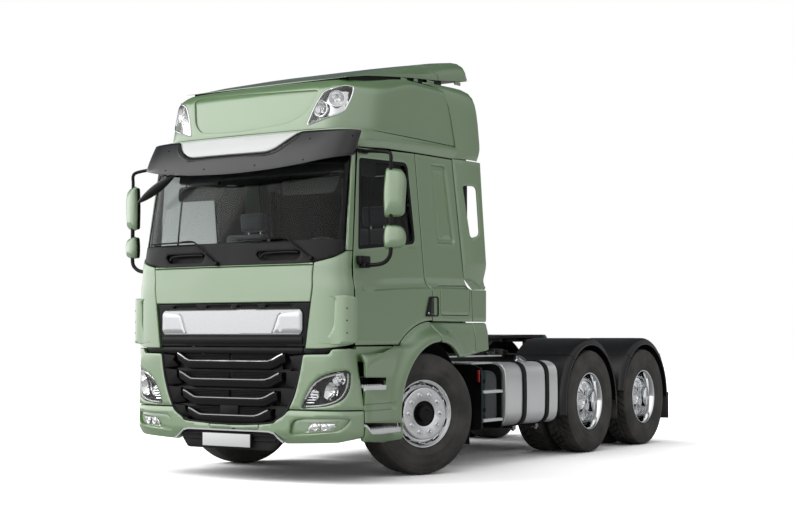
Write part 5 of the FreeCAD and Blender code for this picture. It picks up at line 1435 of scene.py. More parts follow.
def screen_border():
    made = Shape()
    at = CAB_PLAN.s_of
    outer = [(at(1.112), 1.98), (at(1.112), 2.745)]
    hole = [(at(1.088), 2.004), (at(1.08), 2.655)]
    made.skin(rounded([*outer, *mirrored(outer)], 0.03), screen_face, 0.014, FRIT,
              holes=[rounded([*mirrored(hole)[::-1], *hole[::-1]], 0.05)], step=0.035, roll=0.003)
    return made


HANDLES = [(-0.77, -0.29), (0.285, 0.745)]


def scuttle():
    made = Shape()
    at = CAB_PLAN.s_of
    low = [(at(x), z + 0.006) for x, z in COWL_EDGE] + [(at(1.127), 1.915)]
    outline = [(0, 1.811), *low, (at(1.114), 2.01)]
    outline = outline[1:] + mirrored(outline[1:])
    bays = []
    for x0, x1 in HANDLES:
        bays.append(rounded(CAB_PLAN.lay([(x0 + 0.055, 1.848), (x1 - 0.03, 1.848), (x1, 1.872), (x1, 1.925),
                (x0 + 0.02, 1.925), (x0, 1.9)]), 0.02))
    made.skin(rounded(outline, 0.01, 3), inset_of(screen_face, -0.004), 0.025, SATIN_BLACK, holes=bays,
              step=0.03, roll=0.004)
    for bay in bays:
        made.skin(bay, inset_of(screen_face, 0.045), 0.004, GRAIN_BLACK, step=0.03, roll=0)
    for x0, x1 in HANDLES:
        path = [(x0 + 0.05, 1.872), (x0 + 0.1, 1.906), (x1 - 0.12, 1.912), (x1 - 0.03, 1.908)]
        made.tube([screen_face(at(x), z, 0.01) for x, z in path], 0.011, SATIN_BLACK, 10)
    return made


piece("screen_border", screen_border(), "cab")
piece("scuttle", scuttle(), "cab", ["cab_front"])
print("screen surround and scuttle", triangles["screen_border"], "triangles")

# %% Wipers: a tapering arm with a spring cover, and a jointed blade that lies on the glass
WIPERS = [((-0.995, 2.026), (-0.425, 2.028), (-0.132, 1.829)), ((0.069, 2.028), (0.595, 2.034),
        (0.865, 1.85))]


def wipers():
    made = Shape()
    at = CAB_PLAN.s_of
    for tip, joint, pivot in WIPERS:
        ends = [Vector(p) for p in (tip, joint)]
        on_glass = [ends[0].lerp(ends[1], k / 8) for k in range(9)]
        for depth, r, finish in ((-0.01, 0.004, SEAL), (-0.018, 0.006, SATIN_BLACK)):
            made.tube([screen_face(at(p.x), p.y, depth) for p in on_glass], r, finish, 8, 2)
        bridge = [on_glass[k] for k in (1, 2, 3, 5, 6, 7)]
        lift = (-0.014, -0.026, -0.032, -0.032, -0.026, -0.014)
        made.tube([screen_face(at(p.x), p.y, d) for p, d in zip(bridge, lift)], 0.006, SATIN_BLACK, 8, 3)
        centre = on_glass[5]
        arm = [(centre.x, centre.y, -0.036), (joint[0], joint[1] + 0.002, -0.04),
               (joint[0] + (pivot[0] - joint[0]) * 0.35, joint[1] + (pivot[1] - joint[1]) * 0.35, -0.036),
               (joint[0] + (pivot[0] - joint[0]) * 0.75, joint[1] + (pivot[1] - joint[1]) * 0.75, -0.03),
               (pivot[0], pivot[1], -0.026)]
        made.tube([screen_face(at(x), z, d) for x, z, d in arm], lambda t: 0.006 + 0.006 * t, SATIN_BLACK,
                  10, 6)
        foot = screen_face(at(pivot[0]), pivot[1], 0.0)
        made.disc(foot, (0, -1, 0.18), 0.019, 0.036, SATIN_BLACK, 20, 0.006)
    return made


piece("wipers", wipers(), "cab")
print("wipers", triangles["wipers"], "triangles")

# %% Visor blade, its light panel and rivets
VISOR_PLAN = Plan([(0, -1.398), (0.35, -1.392), (0.65, -1.376), (0.85, -1.356), (0.96, -1.328),
                   (1.045, -1.286), (1.09, -1.236), (1.111, -1.18), (1.116, -1.12), (1.116, -1.0),
                   (1.116, -0.8)])


def visor_face(s, z, inset=0.0):
    x, y = VISOR_PLAN.at(s, inset)
    sweep_back = 0.5 * (z - 2.695)
    bow = 0.012 * math.sin(math.pi * min(1.0, max(0.0, (z - 2.62) / 0.31)))
    return Vector((x, y + sweep_back - bow, z))


NOTCH = [(0.655, 2.93), (0.56, 2.868), (0.452, 2.784), (0.366, 2.762), (-0.482, 2.765), (-0.6, 2.822),
         (-0.675, 2.93)]


def visor_blade():
    made = Shape()
    at = VISOR_PLAN.s_of
    end_low = VISOR_PLAN.s_at_y(-1.115)
    low = [(0.0, 2.588), (0.4, 2.602), (0.75, 2.632), (1.0, 2.676)]
    right = [(at(x), z) for x, z in low[1:]] + [(end_low, 2.712), (end_low - 0.02, 2.93)]
    left = mirrored(right)
    top = [(at(x), z) for x, z in NOTCH]
    outline = [(0.0, 2.588), *right, *top, *left]
    radii = [0.3] + [0.2, 0.2, 0.2, 0.02, 0.02] + [0.03, 0.15, 0.1, 0.08, 0.08, 0.15, 0.03] + [0.02, 0.02,
            0.2, 0.2, 0.2]
    made.skin(rounded(outline, radii, 5), visor_face, 0.008, SMOKED, step=0.03, roll=0.006, lip=0.004)
    lip = [(0.69, 2.905), (0.6, 2.835), (0.48, 2.748), (0.37, 2.732), (-0.486, 2.735), (-0.625, 2.8),
           (-0.705, 2.905)]
    made.tube([visor_face(at(x), z, 0.001) for x, z in rounded(lip, 0.06, 4)[3:-3]], 0.007, SMOKED, 10, 2)
    for x in (-0.64, 0.0, 0.64):
        made.bar((x - 0.012, -1.24, 2.806), (x + 0.012, -1.1, 2.836), SATIN_BLACK)
    for x, z in ((0.78, 2.852), (-0.78, 2.852), (0.774, 2.668), (-0.734, 2.668), (-0.263, 2.648),
                 (0.293, 2.648), (1.1, 2.871), (-1.1, 2.871)):
        base = visor_face(at(x), z)
        out = (base - visor_face(at(x), z, 0.02)).normalized()
        made.disc(base - out * 0.001, out, 0.007, 0.005, SEAL, 14, 0.003)
    return made


print("visor blade ready")

# %% Light panel
def light_panel():
    made = Shape()
    at = VISOR_PLAN.s_of
    half = [(at(x), z) for x, z in ((0.632, 2.921), (0.548, 2.866), (0.447, 2.792), (0.366, 2.77),
            (-0.48, 2.773), (-0.59, 2.826), (-0.652, 2.921))]
    made.skin(rounded(half, [0.01, 0.15, 0.1, 0.08, 0.08, 0.15, 0.01], 5), visor_face, 0.02, PANEL_WHITE,
              GRAIN_BLACK, step=0.03, roll=0.004)
    return made


piece("visor_blade", visor_blade(), "cab", ["sun_visor"])
piece("light_panel", light_panel(), "cab")
print("light panel", triangles["visor_blade"], "triangles")

# %% [markdown]
# ## Door pillars and front mirror
# A painted strip runs up each front pillar between the screen and the door. Hanging outside at the
# visor's right-hand end is the front-view mirror, a leaf-shaped shell on a short curved arm.

# %% Pillar covers
def door_front_at(z):
    """Front edge of the door: upright to the cowl, then leaning back."""
    return DOOR_FRONT + 0.1 * max(0.0, z - COWL - 0.02) / 0.92


def pillar_covers():
    made = Shape()
    rear = [(end_at(cab_face, door_front_at(z) - 0.012, z), z) for z in (1.92, 2.3, 2.735)]
    at = CAB_PLAN.s_of
    outline = [(at(1.139), 1.918), *rear, (at(1.118), 2.735)]
    made.skin(rounded(outline, 0.006, 3), inset_of(cab_face, 0.003), 0.03, PAINT, SATIN_BLACK, step=0.022,
              roll=0.004)
    made.both_sides()
    return made


def front_mirror():
    """A leaf-shaped dish hung below the visor, its glass looking down along the front."""
    made = Shape()
    root, tip = Vector((-0.655, -1.365, 2.622)), Vector((-1.085, -1.365, 2.4))
    made.tube([(-0.6, -1.33, 2.655), (-0.64, -1.36, 2.632), (-0.72, -1.366, 2.59)], 0.011, SATIN_BLACK, 10)
    axis = (tip - root).normalized()
    down = Vector((0, 1, 0)).cross(axis).normalized()
    for finish, shift, wide, deep in ((SATIN_BLACK, 0.0, 0.04, 0.038), (MIRROR, 0.012, 0.034, 0.03)):
        rings = []
        for k in range(15):
            t = k / 14
            w = math.sin(math.pi * min(1.0, 0.05 + 0.93 * t)) ** 0.7
            mid = root + axis * (0.48 * t) + down * shift * w
            turn = [2 * math.pi * i / 20 for i in range(20)]
            rings.append([mid + down * (w * wide * math.cos(a)) + Vector((0, w * deep * math.sin(a), 0))
                          for a in turn])
        made.loft(rings, finish)
    return made


piece("pillar_covers", pillar_covers(), "cab")
piece("front_mirror", front_mirror(), "cab")
print("visor and pillars done")

# %% [markdown]
# ## High roof
# The roof is one moulding with a broad skirt, a body whose corners are cut back for the air, and a
# crown. It is described by two plan curves and one quarter arc: `t` climbs the wall first and then
# turns over the crown. The sunken front field and the lamp pockets are holes closed from behind.

# %% Roof surface
ROOF_FOOT = 2.755
SKIRT_TOP = 2.95
CROWN_START, CROWN_RISE, CROWN_IN = 3.27, 0.15, 0.25
CROWN_LENGTH = 0.33
SKIRT_PLAN = Plan([(0, -1.229), (0.35, -1.223), (0.65, -1.207), (0.85, -1.19), (0.95, -1.162),
                   (1.03, -1.118), (1.08, -1.062), (1.098, -1.0), (1.1, -0.94), (1.1, -0.84), (1.1, -0.6),
                   (1.1, -0.1), (1.1, 1.0)])
BODY_PLAN = Plan([(0, -1.229), (0.35, -1.222), (0.6, -1.212), (0.76, -1.198), (0.851, -1.176),
                  (0.93, -1.12), (0.99, -1.045), (1.045, -0.955), (1.083, -0.87), (1.1, -0.76), (1.1, -0.6),
                  (1.1, -0.3), (1.1, 0.3), (1.1, 1.3)])
ROOF_BACK = 0.7


def roof_face(s, t, inset=0.0):
    turn = max(0.0, t - CROWN_START) / CROWN_LENGTH * math.pi / 2
    side = ramp(BODY_PLAN.at(s)[1], -0.95, -0.2)
    start, rise, reach = CROWN_START + 0.14 * side, CROWN_RISE - 0.075 * side, CROWN_IN - 0.12 * side
    wall = SKIRT_TOP + (min(t, CROWN_START) - SKIRT_TOP) * (start - SKIRT_TOP) / (CROWN_START - SKIRT_TOP)
    z = wall + rise * math.sin(min(turn, math.pi / 2)) - inset * math.sin(turn)
    x, y = BODY_PLAN.at(s, reach * (1 - math.cos(turn)) + inset * math.cos(turn))
    front = 1 - ramp(y, -0.9, 0.2)
    return Vector((x, y + 0.22 * (z - 2.75) * front, z))


print("roof surface ready")

# %% How the roof climbs to the rear
def climb(z):
    """Outline height z to distance t up the wall and over the crown."""
    if z <= CROWN_START:
        return z
    return CROWN_START + CROWN_LENGTH * math.asin(min(1.0, (z - CROWN_START) / CROWN_RISE)) / (math.pi / 2)


def roof_lay(outline):
    return [(BODY_PLAN.s_of(x), climb(z)) for x, z in outline]


FIELD = [(-0.69, 3.342), (-0.616, 3.09), (-0.531, 3.012), (-0.067, 2.985), (0.462, 3.03), (0.639, 3.116),
         (0.725, 3.3), (0.202, 3.32), (-0.537, 3.35)]
FIELD_RADII = [0.06, 0.12, 0.1, 0.4, 0.15, 0.14, 0.06, 0.4, 0.1]
ROOF_LAMP = [(0.645, 2.992), (0.7, 3.16), (0.775, 3.284), (0.93, 3.333), (0.976, 3.319), (0.974, 3.24),
             (0.945, 3.115), (0.915, 3.082), (0.763, 3.026)]
ROOF_LAMP_RADII = [0.02, 0.1, 0.04, 0.03, 0.02, 0.06, 0.05, 0.05, 0.1]


def roof_lamp_outline():
    return rounded(roof_lay(ROOF_LAMP), ROOF_LAMP_RADII, 5)


print("climb ready")

# %% Roof shell
def roof_shell():
    made = Shape()
    end, top = BODY_PLAN.s_at_y(ROOF_BACK), CROWN_START + CROWN_LENGTH
    outline = [(-end, SKIRT_TOP + 0.006), (end, SKIRT_TOP + 0.006), (end, top), (-end, top)]
    field = rounded(roof_lay(FIELD), FIELD_RADII, 6)
    lamp = roof_lamp_outline()
    made.skin(outline, roof_face, 0.02, PAINT, TRIM_LIGHT, holes=[field, lamp, mirrored(lamp)], step=0.04,
              roll=0.008, lip=0.003)
    made.skin(field, lambda s, t: roof_face(s, t, 0.014), 0.006, PAINT, TRIM_LIGHT, step=0.035, roll=0)
    rows = [[roof_face(s, top) for s in np.linspace(0, end, 60)],
            [roof_face(-s, top) for s in np.linspace(0, end, 60)]]
    ladder = []
    for k in range(13):
        w = k / 12
        crown = 0.018 * math.sin(math.pi * w)
        ladder.append([a.lerp(b, w) + Vector((0, 0, crown)) for a, b in zip(*rows)])
    made.net(ladder, PAINT)
    return made


print("roof shell ready")

# %% Foot and face of the roof skirt
def skirt_foot(y):
    return float(np.interp(y, [-1.13, -1.05, -0.67, -0.2, 0.4, 0.7],
                           [ROOF_FOOT, 2.79, 2.817, 2.829, 2.837, 2.84]))


def skirt_face(s, v, inset=0.0):
    """v is 0 at the foot, 1 at the crease where the skirt is widest, and 1.35 in the groove above it."""
    y0 = SKIRT_PLAN.at(s)[1]
    foot, crease = skirt_foot(y0), float(np.interp(y0, [-1.1, -0.67, -0.2, 0.49],
            [2.853, 2.885, 2.906, 2.932]))
    z = foot + (crease - foot) * min(v, 1.0) + max(0.0, v - 1.0) * (SKIRT_TOP - crease)
    out = 0.018 * ramp(v, -0.15, 1.0) * (1 - ramp(v, 1.0, 1.9)) - 0.004 * (1 - ramp(v, 0.0, 0.15))
    x, y = SKIRT_PLAN.at(s, inset - out)
    return Vector((x, y + 0.22 * (z - 2.75) * (1 - ramp(y, -0.9, -0.3) * 0.9), z))


print("skirt foot ready")

# %% Roof skirt
def roof_skirt():
    made = Shape()
    end = SKIRT_PLAN.s_at_y(ROOF_BACK)
    rows = []
    for v in (0.0, 0.03, 0.1, 0.3, 0.55, 0.8, 0.93, 1.0, 1.06, 1.15, 1.35, 1.7, 2.0):
        rows.append([skirt_face(w, v, 0.004 * (v == 0.0)) for w in np.linspace(-end, end, 180)])
    sheet(made, rows, 0.02, PAINT, TRIM_LIGHT)
    count = 140
    end_body = BODY_PLAN.s_at_y(ROOF_BACK)
    ledge = []
    for k in range(count + 1):
        w = 2 * k / count - 1
        outer = skirt_face(w * end, 1.995, 0.002)
        inner = roof_face(w * end_body, SKIRT_TOP + 0.003, 0.01)
        ledge.append([outer, inner])
    made.net([[p[0] for p in ledge], [p[1] for p in ledge]], PAINT)
    return made


print("roof skirt ready")

# %% Roof rear
def roof_rear():
    """Back wall of the roof, a flat panel with three pressed ribs."""
    made = Shape()
    half = [(1.096, ROOF_FOOT), (1.096, 3.4), (1.06, 3.465), (0.97, 3.484), (0.7, 3.494)]
    outline = rounded([*half, *mirrored(half)], 0.04)
    made.skin(outline, lambda x, z: Vector((x, ROOF_BACK - 0.003, z)), -0.02, PAINT, TRIM_LIGHT, step=0.05)
    for x in (-0.6, 0.0, 0.6):
        made.bar((x - 0.05, ROOF_BACK - 0.01, 2.86), (x + 0.05, ROOF_BACK + 0.01, 3.3), PAINT, 0.008)
    return made


piece("roof_shell", roof_shell(), "cab", ["cab_roof"])
piece("roof_skirt", roof_skirt(), "cab")
piece("roof_rear", roof_rear(), "cab")
print("roof rear", triangles["roof_shell"], "triangles")

# %% Roof lamps
def roof_lamp_units():
    made = Shape()
    lamp = roof_lamp_outline()
    made.skin(lamp, lambda s, t: roof_face(s, t, -0.002), 0.004, LENS, step=0.03, roll=0.005)
    made.skin(lamp, lambda s, t: roof_face(s, t, 0.055), 0.004, REFLECTOR, step=0.03, roll=0)
    edge = [roof_face(s, t, -0.001) for s, t in even(lamp, 0.03)]
    made.tube([*edge, edge[0]], 0.006, CHROME, 8, 0)
    for x, z, r in ((0.742, 3.135, 0.062), (0.88, 3.215, 0.062)):
        s, t = BODY_PLAN.s_of(x), climb(z)
        out = (roof_face(s, t) - roof_face(s, t, 0.02)).normalized()
        centre = roof_face(s, t, 0.02)
        profile = [(-0.04 * (1 - k * k), max(0.0001, r * k)) for k in (0.0, 0.25, 0.5, 0.75, 1.0)]
        made.turned(profile + [(0.006, r + 0.002), (0.006, r + 0.008), (-0.01, r + 0.008)], centre, out,
                    REFLECTOR, 40, closed=False)
        made.disc(centre - out * 0.034, out, 0.016, 0.026, LENS, 20, 0.006)
    made.both_sides()
    return made


piece("roof_lamp_units", roof_lamp_units(), "cab", ["roof_lamps"])
print("roof lamps", triangles["roof_lamp_units"], "triangles")

# %% [markdown]
# ## Roof wing and the shade beneath it
# The wing lifts the air over the trailer. It is a blade section carried across the roof, so it is
# lofted from rings that shrink a little at the tips, where separate end caps close it. Beneath it a
# black sheet and black side walls fill the gap above the roof: painted shade.

# %% Wing
WING_Y = [-0.93, -0.88, -0.66, -0.4, 0.05, 0.466, 0.8, 0.99, 1.06, 1.12, 1.15]
WING_TOP = [3.419, 3.436, 3.497, 3.56, 3.67, 3.753, 3.822, 3.853, 3.838, 3.775, 3.702]
WING_FOOT = [3.412, 3.421, 3.462, 3.496, 3.549, 3.584, 3.622, 3.65, 3.66, 3.674, 3.69]
WING_HALF = [(0, 0), (0.4, 0.0), (0.66, 0.004), (0.76, 0.012), (0.825, 0.028), (0.868, 0.056),
             (0.89, 0.096), (0.897, 0.15), (0.895, 1), (0.84, 1), (0.4, 1), (0, 1)]


def wing_ring(y0, sink=0.0):
    """One closed section of the wing; near the end seam the sections lean forward at the top."""
    top, foot = np.interp(y0, WING_Y, WING_TOP), np.interp(y0, WING_Y, WING_FOOT)
    narrow = 1 - 0.05 * ramp(y0, 1.02, 1.15)
    lean = 0.18 * ramp(y0, -0.4, 0.3) * (1 - ramp(y0, 0.6, 1.0))
    half = []
    for x, drop in WING_HALF:
        share = min(1.0, drop / (top - foot))
        y = y0 + lean * (share - 0.5)
        z_top, z_foot = np.interp(y, WING_Y, WING_TOP), np.interp(y, WING_Y, WING_FOOT)
        z = z_foot + sink * 0.5 if drop == 1 else max(z_top - drop - sink, z_foot + 0.3 * (z_top - z_foot))
        half.append(Vector((max(0.0, x * narrow - sink), y, z)))
    return half + [Vector((-p.x, p.y, p.z)) for p in half[-2:0:-1]]


print("wing ready")

# %% Wing blade
def wing_blade():
    made = Shape()
    stations = [(-0.93, 0), (-0.88, 0), (-0.77, 0), (-0.66, 0), (-0.4, 0), (-0.17, 0), (0.05, 0), (0.26, 0),
                (0.45, 0), (0.4535, 0.007), (0.4585, 0.007), (0.462, 0), (0.63, 0), (0.8, 0), (0.92, 0),
                (0.99, 0), (1.03, 0), (1.06, 0), (1.09, 0), (1.12, 0), (1.15, 0.004)]
    made.loft([wing_ring(y, sink) for y, sink in stations], PAINT)
    for y0, y1 in ((-0.08, 0.02), (0.14, 0.2), (0.36, 0.48), (0.86, 0.96)):
        foot = float(np.interp(y0, WING_Y, WING_FOOT))
        for side in (-1, 1):
            made.bar((side * 0.882 - 0.008, y0, foot - 0.03), (side * 0.882 + 0.008, y1, foot + 0.002),
                     PAINT, 0.004)
    # Black sheet under the wing: partly its bare underside, partly painted shade for the dark gap above the
    # roof.
    along = np.linspace(-0.86, 1.13, 30)
    under = [(y, float(np.interp(y, WING_Y, WING_FOOT))) for y in along]
    made.net([[Vector((x, y, z - 0.002)) for y, z in under] for x in (-0.885, 0.885)], SATIN_BLACK)
    # Black walls from the wing's foot down to the roof: painted shade that fills the gap under the wing.
    for side in (-1, 1):
        wall = [(y, z) for y, z in under if y < ROOF_BACK - 0.01]
        made.net([[Vector((side * 0.862, y, z)) for y, z in wall],
                  [Vector((side * 0.862, y, 3.4)) for y, z in wall]], SATIN_BLACK)
    return made


piece("wing_blade", wing_blade(), "cab", ["roof_wing"])
print("roof and wing done")

# %% [markdown]
# ## Cab sides
# Door, sleeper wall and locker lid are cut from one side surface, so light runs over all three
# without a break. Low down the side is upright. At the shoulder it dips in, and above it leans in
# a little. A crease is drawn into the net as a fixed edge, so that it stays crisp.

# %% Side surface
def shoulder(y):
    return 1.631 + 0.03 * y - 0.022 * y * y


def side_face(y, z, inset=0.0):
    above = z - shoulder(y)
    dip = 0.024 * ramp(y, -1.15, -0.6) * ramp(above, 0, 0.014) * (1 - ramp(above, 0.035, 0.11))
    lean = 0.02 * ramp(above, 0, 0.13) + 0.03 * max(0.0, z - 1.72) / 1.03
    return Vector((SIDE_X - lean - dip - inset, y, z))


def along_shoulder(y0, y1):
    spots = [y0 + (y1 - y0) * k / 12 for k in range(13)]
    return [[(y, shoulder(y)) for y in spots], [(y, shoulder(y) + 0.014) for y in spots]]


def under_roof(y):
    """Height of the gap below the roof's side bulge."""
    return 2.79 + 0.034 * ramp(y, -1.08, -0.35) + 0.01 * ramp(y, -0.3, 0.6)


ARCH = (0.03, 0.535)
SEAM_Y = 0.03
BACK_SEAM = [(SEAM_Y, 1.352), (SEAM_Y, 1.612), (-0.075, 1.717), (-0.184, under_roof(-0.18) - 0.006)]
WINDOW = rounded([(-1.083, 1.93), (-1.038, 2.7), (-0.3, 2.728), (-0.2, 2.02)], [0.03, 0.03, 0.07, 0.07], 6)
print("shoulder runs from", round(shoulder(-1.15), 3), "to", round(shoulder(0.9), 3))

# %% [markdown]
# The door is hollow in real life: an outer skin, an inner panel and a rubber-sealed frame round
# the glass. A loop is moved inwards by a small distance at every point, which is how the steps of
# the frame are made here.

# %% Doors
def shrunk(loop, by):
    """Outline moved inwards by a small distance."""
    loop = loop if area(loop) > 0 else loop[::-1]
    out = []
    for i, p in enumerate(loop):
        along = Vector(loop[(i + 1) % len(loop)]) - Vector(loop[i - 1])
        if along.length > 1e-7:
            along.normalize()
            out.append((p[0] - along.y * by, p[1] + along.x * by))
    return out


def door():
    made = Shape()
    front = [(door_front_at(z), z) for z in (under_roof(-1.05) - 0.008, 1.83, 1.14)]
    outline = rounded([*BACK_SEAM[::-1][:1], front[0]], 0) + rounded([front[1]], 0) + [front[2]]
    outline += arc(*ARCH, 0.818, 132.3, 90.1, 16) + BACK_SEAM[1:3]
    outline = [BACK_SEAM[3]] + outline[1:]
    made.skin(rounded(outline, 0.006, 2), side_face, 0.046, PAINT, TRIM_DARK, SATIN_BLACK, holes=[WINDOW],
              step=0.024, roll=0.005, lip=0.003, creases=along_shoulder(-1.146, SEAM_Y - 0.018))
    frame_out, frame_in = shrunk(WINDOW, -0.004), shrunk(WINDOW, 0.03)
    made.skin(frame_out, inset_of(side_face, 0.003), 0.018, FRIT, holes=[frame_in], step=0.03, roll=0.003)
    flange = [(-0.3, 2.742), (-0.285, 2.748), (-0.158, 2.04), (-0.175, 1.985), (-0.33, 1.972),
              (-0.33, 1.984), (-0.196, 1.998), (-0.18, 2.04)]
    made.skin(rounded(flange, [0.005, 0.02, 0.06, 0.07, 0.005, 0.005, 0.05, 0.05], 5),
              inset_of(side_face, -0.005), 0.008, PAINT, step=0.012, roll=0.003, lip=0.003)
    inner = rounded([(-1.07, 1.22), (-1.07, 1.86), (-0.15, 1.93), (-0.07, 1.7), (-0.02, 1.45),
                     (-0.18, 1.36)], 0.05)
    made.skin(inner, inset_of(side_face, 0.046), 0.018, TRIM_LIGHT, TRIM_DARK, step=0.06, roll=0.008)
    made.bar((1.03, -0.86, 1.7), (1.085, -0.3, 1.745), TRIM_DARK, 0.012)
    made.tube([(1.045, -0.72, 2.53), (1.043, -0.8, 2.5), (1.05, -0.825, 2.35), (1.072, -0.848, 1.95)],
              0.009, SEAL, 8)
    return made


print("doors ready")

# %% Door handle
def door_handle():
    """Trapezium of black plastic across the seam, with its pull on the door's side of it."""
    made = Shape()
    base = rounded([(-0.025, 1.562), (SEAM_Y - 0.004, 1.564), (SEAM_Y - 0.004, 1.386), (-0.088, 1.386)],
                   [0.03, 0.01, 0.01, 0.025])
    made.skin(base, inset_of(side_face, -0.016), 0.02, SATIN_BLACK, step=0.012, roll=0.006, lip=0.006)
    pull = rounded([(-0.006, 1.552), (0.022, 1.552), (0.022, 1.398), (-0.03, 1.398)], 0.012)
    made.skin(pull, inset_of(side_face, -0.021), 0.006, GLOSS_BLACK, step=0.012, roll=0.004, lip=0.003)
    made.disc(side_face(-0.058, 1.415, -0.014), (1, 0, 0), 0.011, 0.007, CHROME, 20)
    return made


def handle_cup():
    """The dark half of the handle, fixed to the sleeper wall."""
    made = Shape()
    outline = rounded([(SEAM_Y + 0.006, 1.565), (0.124, 1.566), (0.127, 1.389), (SEAM_Y + 0.006, 1.387)],
                      [0.008, 0.03, 0.025, 0.008])
    inner = shrunk(outline, 0.01)
    made.skin(outline, inset_of(side_face, -0.01), 0.014, SATIN_BLACK, holes=[inner], step=0.01, roll=0.003)
    made.skin(inner, inset_of(side_face, 0.001), 0.004, GLOSS_BLACK, step=0.02, roll=0)
    return made


for name, side in (("left", 1), ("right", -1)):
    piece("door_skin_" + name, door(), "door_" + name, ["door_" + name], side)
    piece("door_handle_" + name, door_handle(), "door_" + name, (), side)
    piece("handle_cup_" + name, handle_cup(), "cab", (), side)
print("door", triangles["door_skin_left"], "triangles")

# %% [markdown]
# ## Door mirrors
# Each mirror is a painted shell over a black carrier with a glass set in its rear face. The shell
# is a loft: rounded rectangles stacked from the front tip to the rear rim.

# %% Mirrors
MIRROR_PLACE = Vector((1.455, -1.04, 0))
MIRROR_TURN = Matrix.Rotation(math.radians(25), 3, "Z")


def mirror_ring(loop, scale, depth, mid):
    """The outline shrunk about its middle, set back by depth and turned with the head."""
    return [MIRROR_PLACE + MIRROR_TURN @ Vector((x * scale, depth, mid + (z - mid) * scale)) for x,
            z in loop]


def mirror_head(made, low, high):
    """One housing between two heights; its outline is fuller at the top."""
    mid = (low + high) / 2
    outline = rounded([(-0.088, low), (-0.0985, mid), (-0.076, high), (0.064, high - 0.022),
                       (0.0985, high - 0.1), (0.08, low + 0.012)], [0.03, 0.2, 0.04, 0.07, 0.1, 0.05], 6)
    loop = even(outline, 0.02)
    shell = ((0.3, -0.0445), (0.62, -0.041), (0.84, -0.03), (0.95, -0.013), (1.0, 0.01), (0.985, 0.014),
             (0.95, 0.01))
    rings = [mirror_ring(loop, scale, depth, mid) for scale, depth in shell]
    made.net(rings, PAINT, closed=True)
    made.mesh(rings[0], [tuple(range(len(loop)))], PAINT)
    case = [mirror_ring(loop, scale, depth, mid) for scale, depth in ((0.95, 0.006), (0.95, 0.034),
            (0.93, 0.0445), (0.885, 0.0445), (0.88, 0.036))]
    made.net(case, SATIN_BLACK, closed=True)
    made.mesh(case[-1], [tuple(range(len(loop)))], MIRROR)


print("mirrors ready")

# %% Mirrors
def mirrors():
    made = Shape()
    mirror_head(made, 2.182, 2.599)
    mirror_head(made, 1.922, 2.134)
    arm, fore = MIRROR_PLACE.x - 0.025, MIRROR_PLACE.y - 0.02
    made.tube([(1.108, -1.0, 2.756), (1.22, -1.01, 2.748), (arm - 0.04, -1.045, 2.724), (arm, fore, 2.692),
               (arm, fore, 2.62), (arm, fore, 2.5)], 0.015, SATIN_BLACK, 12)
    made.bar((1.092, -1.06, 2.738), (1.12, -0.93, 2.776), SATIN_BLACK, 0.008)
    made.tube([(arm, fore, 2.25), (arm, fore, 2.05)], 0.018, SATIN_BLACK, 12, 0)
    made.tube([(arm, fore, 2.0), (arm, fore, 1.92), (arm - 0.016, fore, 1.858), (1.35, -1.055, 1.812),
               (1.24, -1.06, 1.798), (1.165, -1.05, 1.81)], 0.017, SATIN_BLACK, 12)
    made.bar((1.122, -1.12, 1.806), (1.176, -0.975, 1.876), SATIN_BLACK, 0.01)
    made.bar((1.13, -1.085, 1.776), (1.196, -1.005, 1.822), SATIN_BLACK, 0.01)
    made.disc(side_face(-1.035, 1.606, -0.001), (1, 0, 0.2), 0.016, 0.007, PAINT, 16, 0.003)
    return made


for name, side in (("left", 1), ("right", -1)):
    piece("mirrors_" + name, mirrors(), "door_" + name, ["mirror_" + name], side)


print("mirrors", triangles["mirrors_left"], "triangles")

# %% [markdown]
# ## Sleeper wall, locker lid and lower panel
# Behind the door the wall has a long pressed recess that stiffens it, and an outer locker whose lid
# lifts. A pressing is a hole in the outer sheet, a sloped wall and a floor set a little deeper.

# %% Sleeper wall
def pressing(made, loop, face, deep, slope, finish, step=0.03):
    """Closes a hole in a sheet with a sloped wall and a floor."""
    ring = even(loop, step)
    ring = ring if area(ring) > 0 else ring[::-1]
    low = shrunk(ring, slope)
    if len(low) == len(ring):
        rows = [[face(a, b, 0.002) for a, b in ring], [face(a, b, deep) for a, b in low]]
        made.net(rows, finish, closed=True)
    made.skin(low, inset_of(face, deep), 0.003, finish, step=step, roll=0, lip=0)


COLLAR_SEAM = [(0.606, 1.738), (0.449, under_roof(0.45) - 0.006)]
LID = rounded([(0.176, 1.404), (0.672, 1.404), (0.684, 1.655), (0.64, 1.672), (0.172, 1.66)],
              [0.02, 0.04, 0.03, 0.05, 0.02], 5)
RECESS = rounded([(0.102, 2.748), (0.345, 2.756), (0.474, 2.05), (0.17, 2.045)], [0.02, 0.06, 0.05, 0.03],
                 6)


def sleeper_wall():
    made = Shape()
    seam = [(y + 0.008, z) for y, z in BACK_SEAM]
    seam[0] = (SEAM_Y + 0.008, 1.346)
    outline = [seam[0], (0.732, 1.346), (0.712, 1.64), *COLLAR_SEAM, seam[3], seam[2], seam[1]]
    made.skin(rounded(outline, 0.005, 2), side_face, 0.04, PAINT, TRIM_LIGHT, SATIN_BLACK,
              holes=[shrunk(LID, -0.006), RECESS], step=0.026, roll=0.005, lip=0.003,
              creases=along_shoulder(SEAM_Y + 0.024, 0.155))
    pressing(made, RECESS, side_face, 0.02, 0.012, PAINT)
    panel = rounded([(0.122, 2.712), (0.318, 2.72), (0.432, 2.09), (0.19, 2.085)], 0.02)
    made.skin(panel, inset_of(side_face, 0.015), 0.004, PAINT, step=0.04, roll=0.004, lip=0.003)
    hole = even(shrunk(LID, -0.006), 0.04)
    made.net([[side_face(a, b, 0.036) for a, b in hole], [side_face(a, b, 0.16) for a, b in hole]],
             TRIM_DARK, closed=True)
    made.skin(hole, inset_of(side_face, 0.16), 0.004, CARPET, step=0.06, roll=0)
    return made


print("sleeper wall ready")

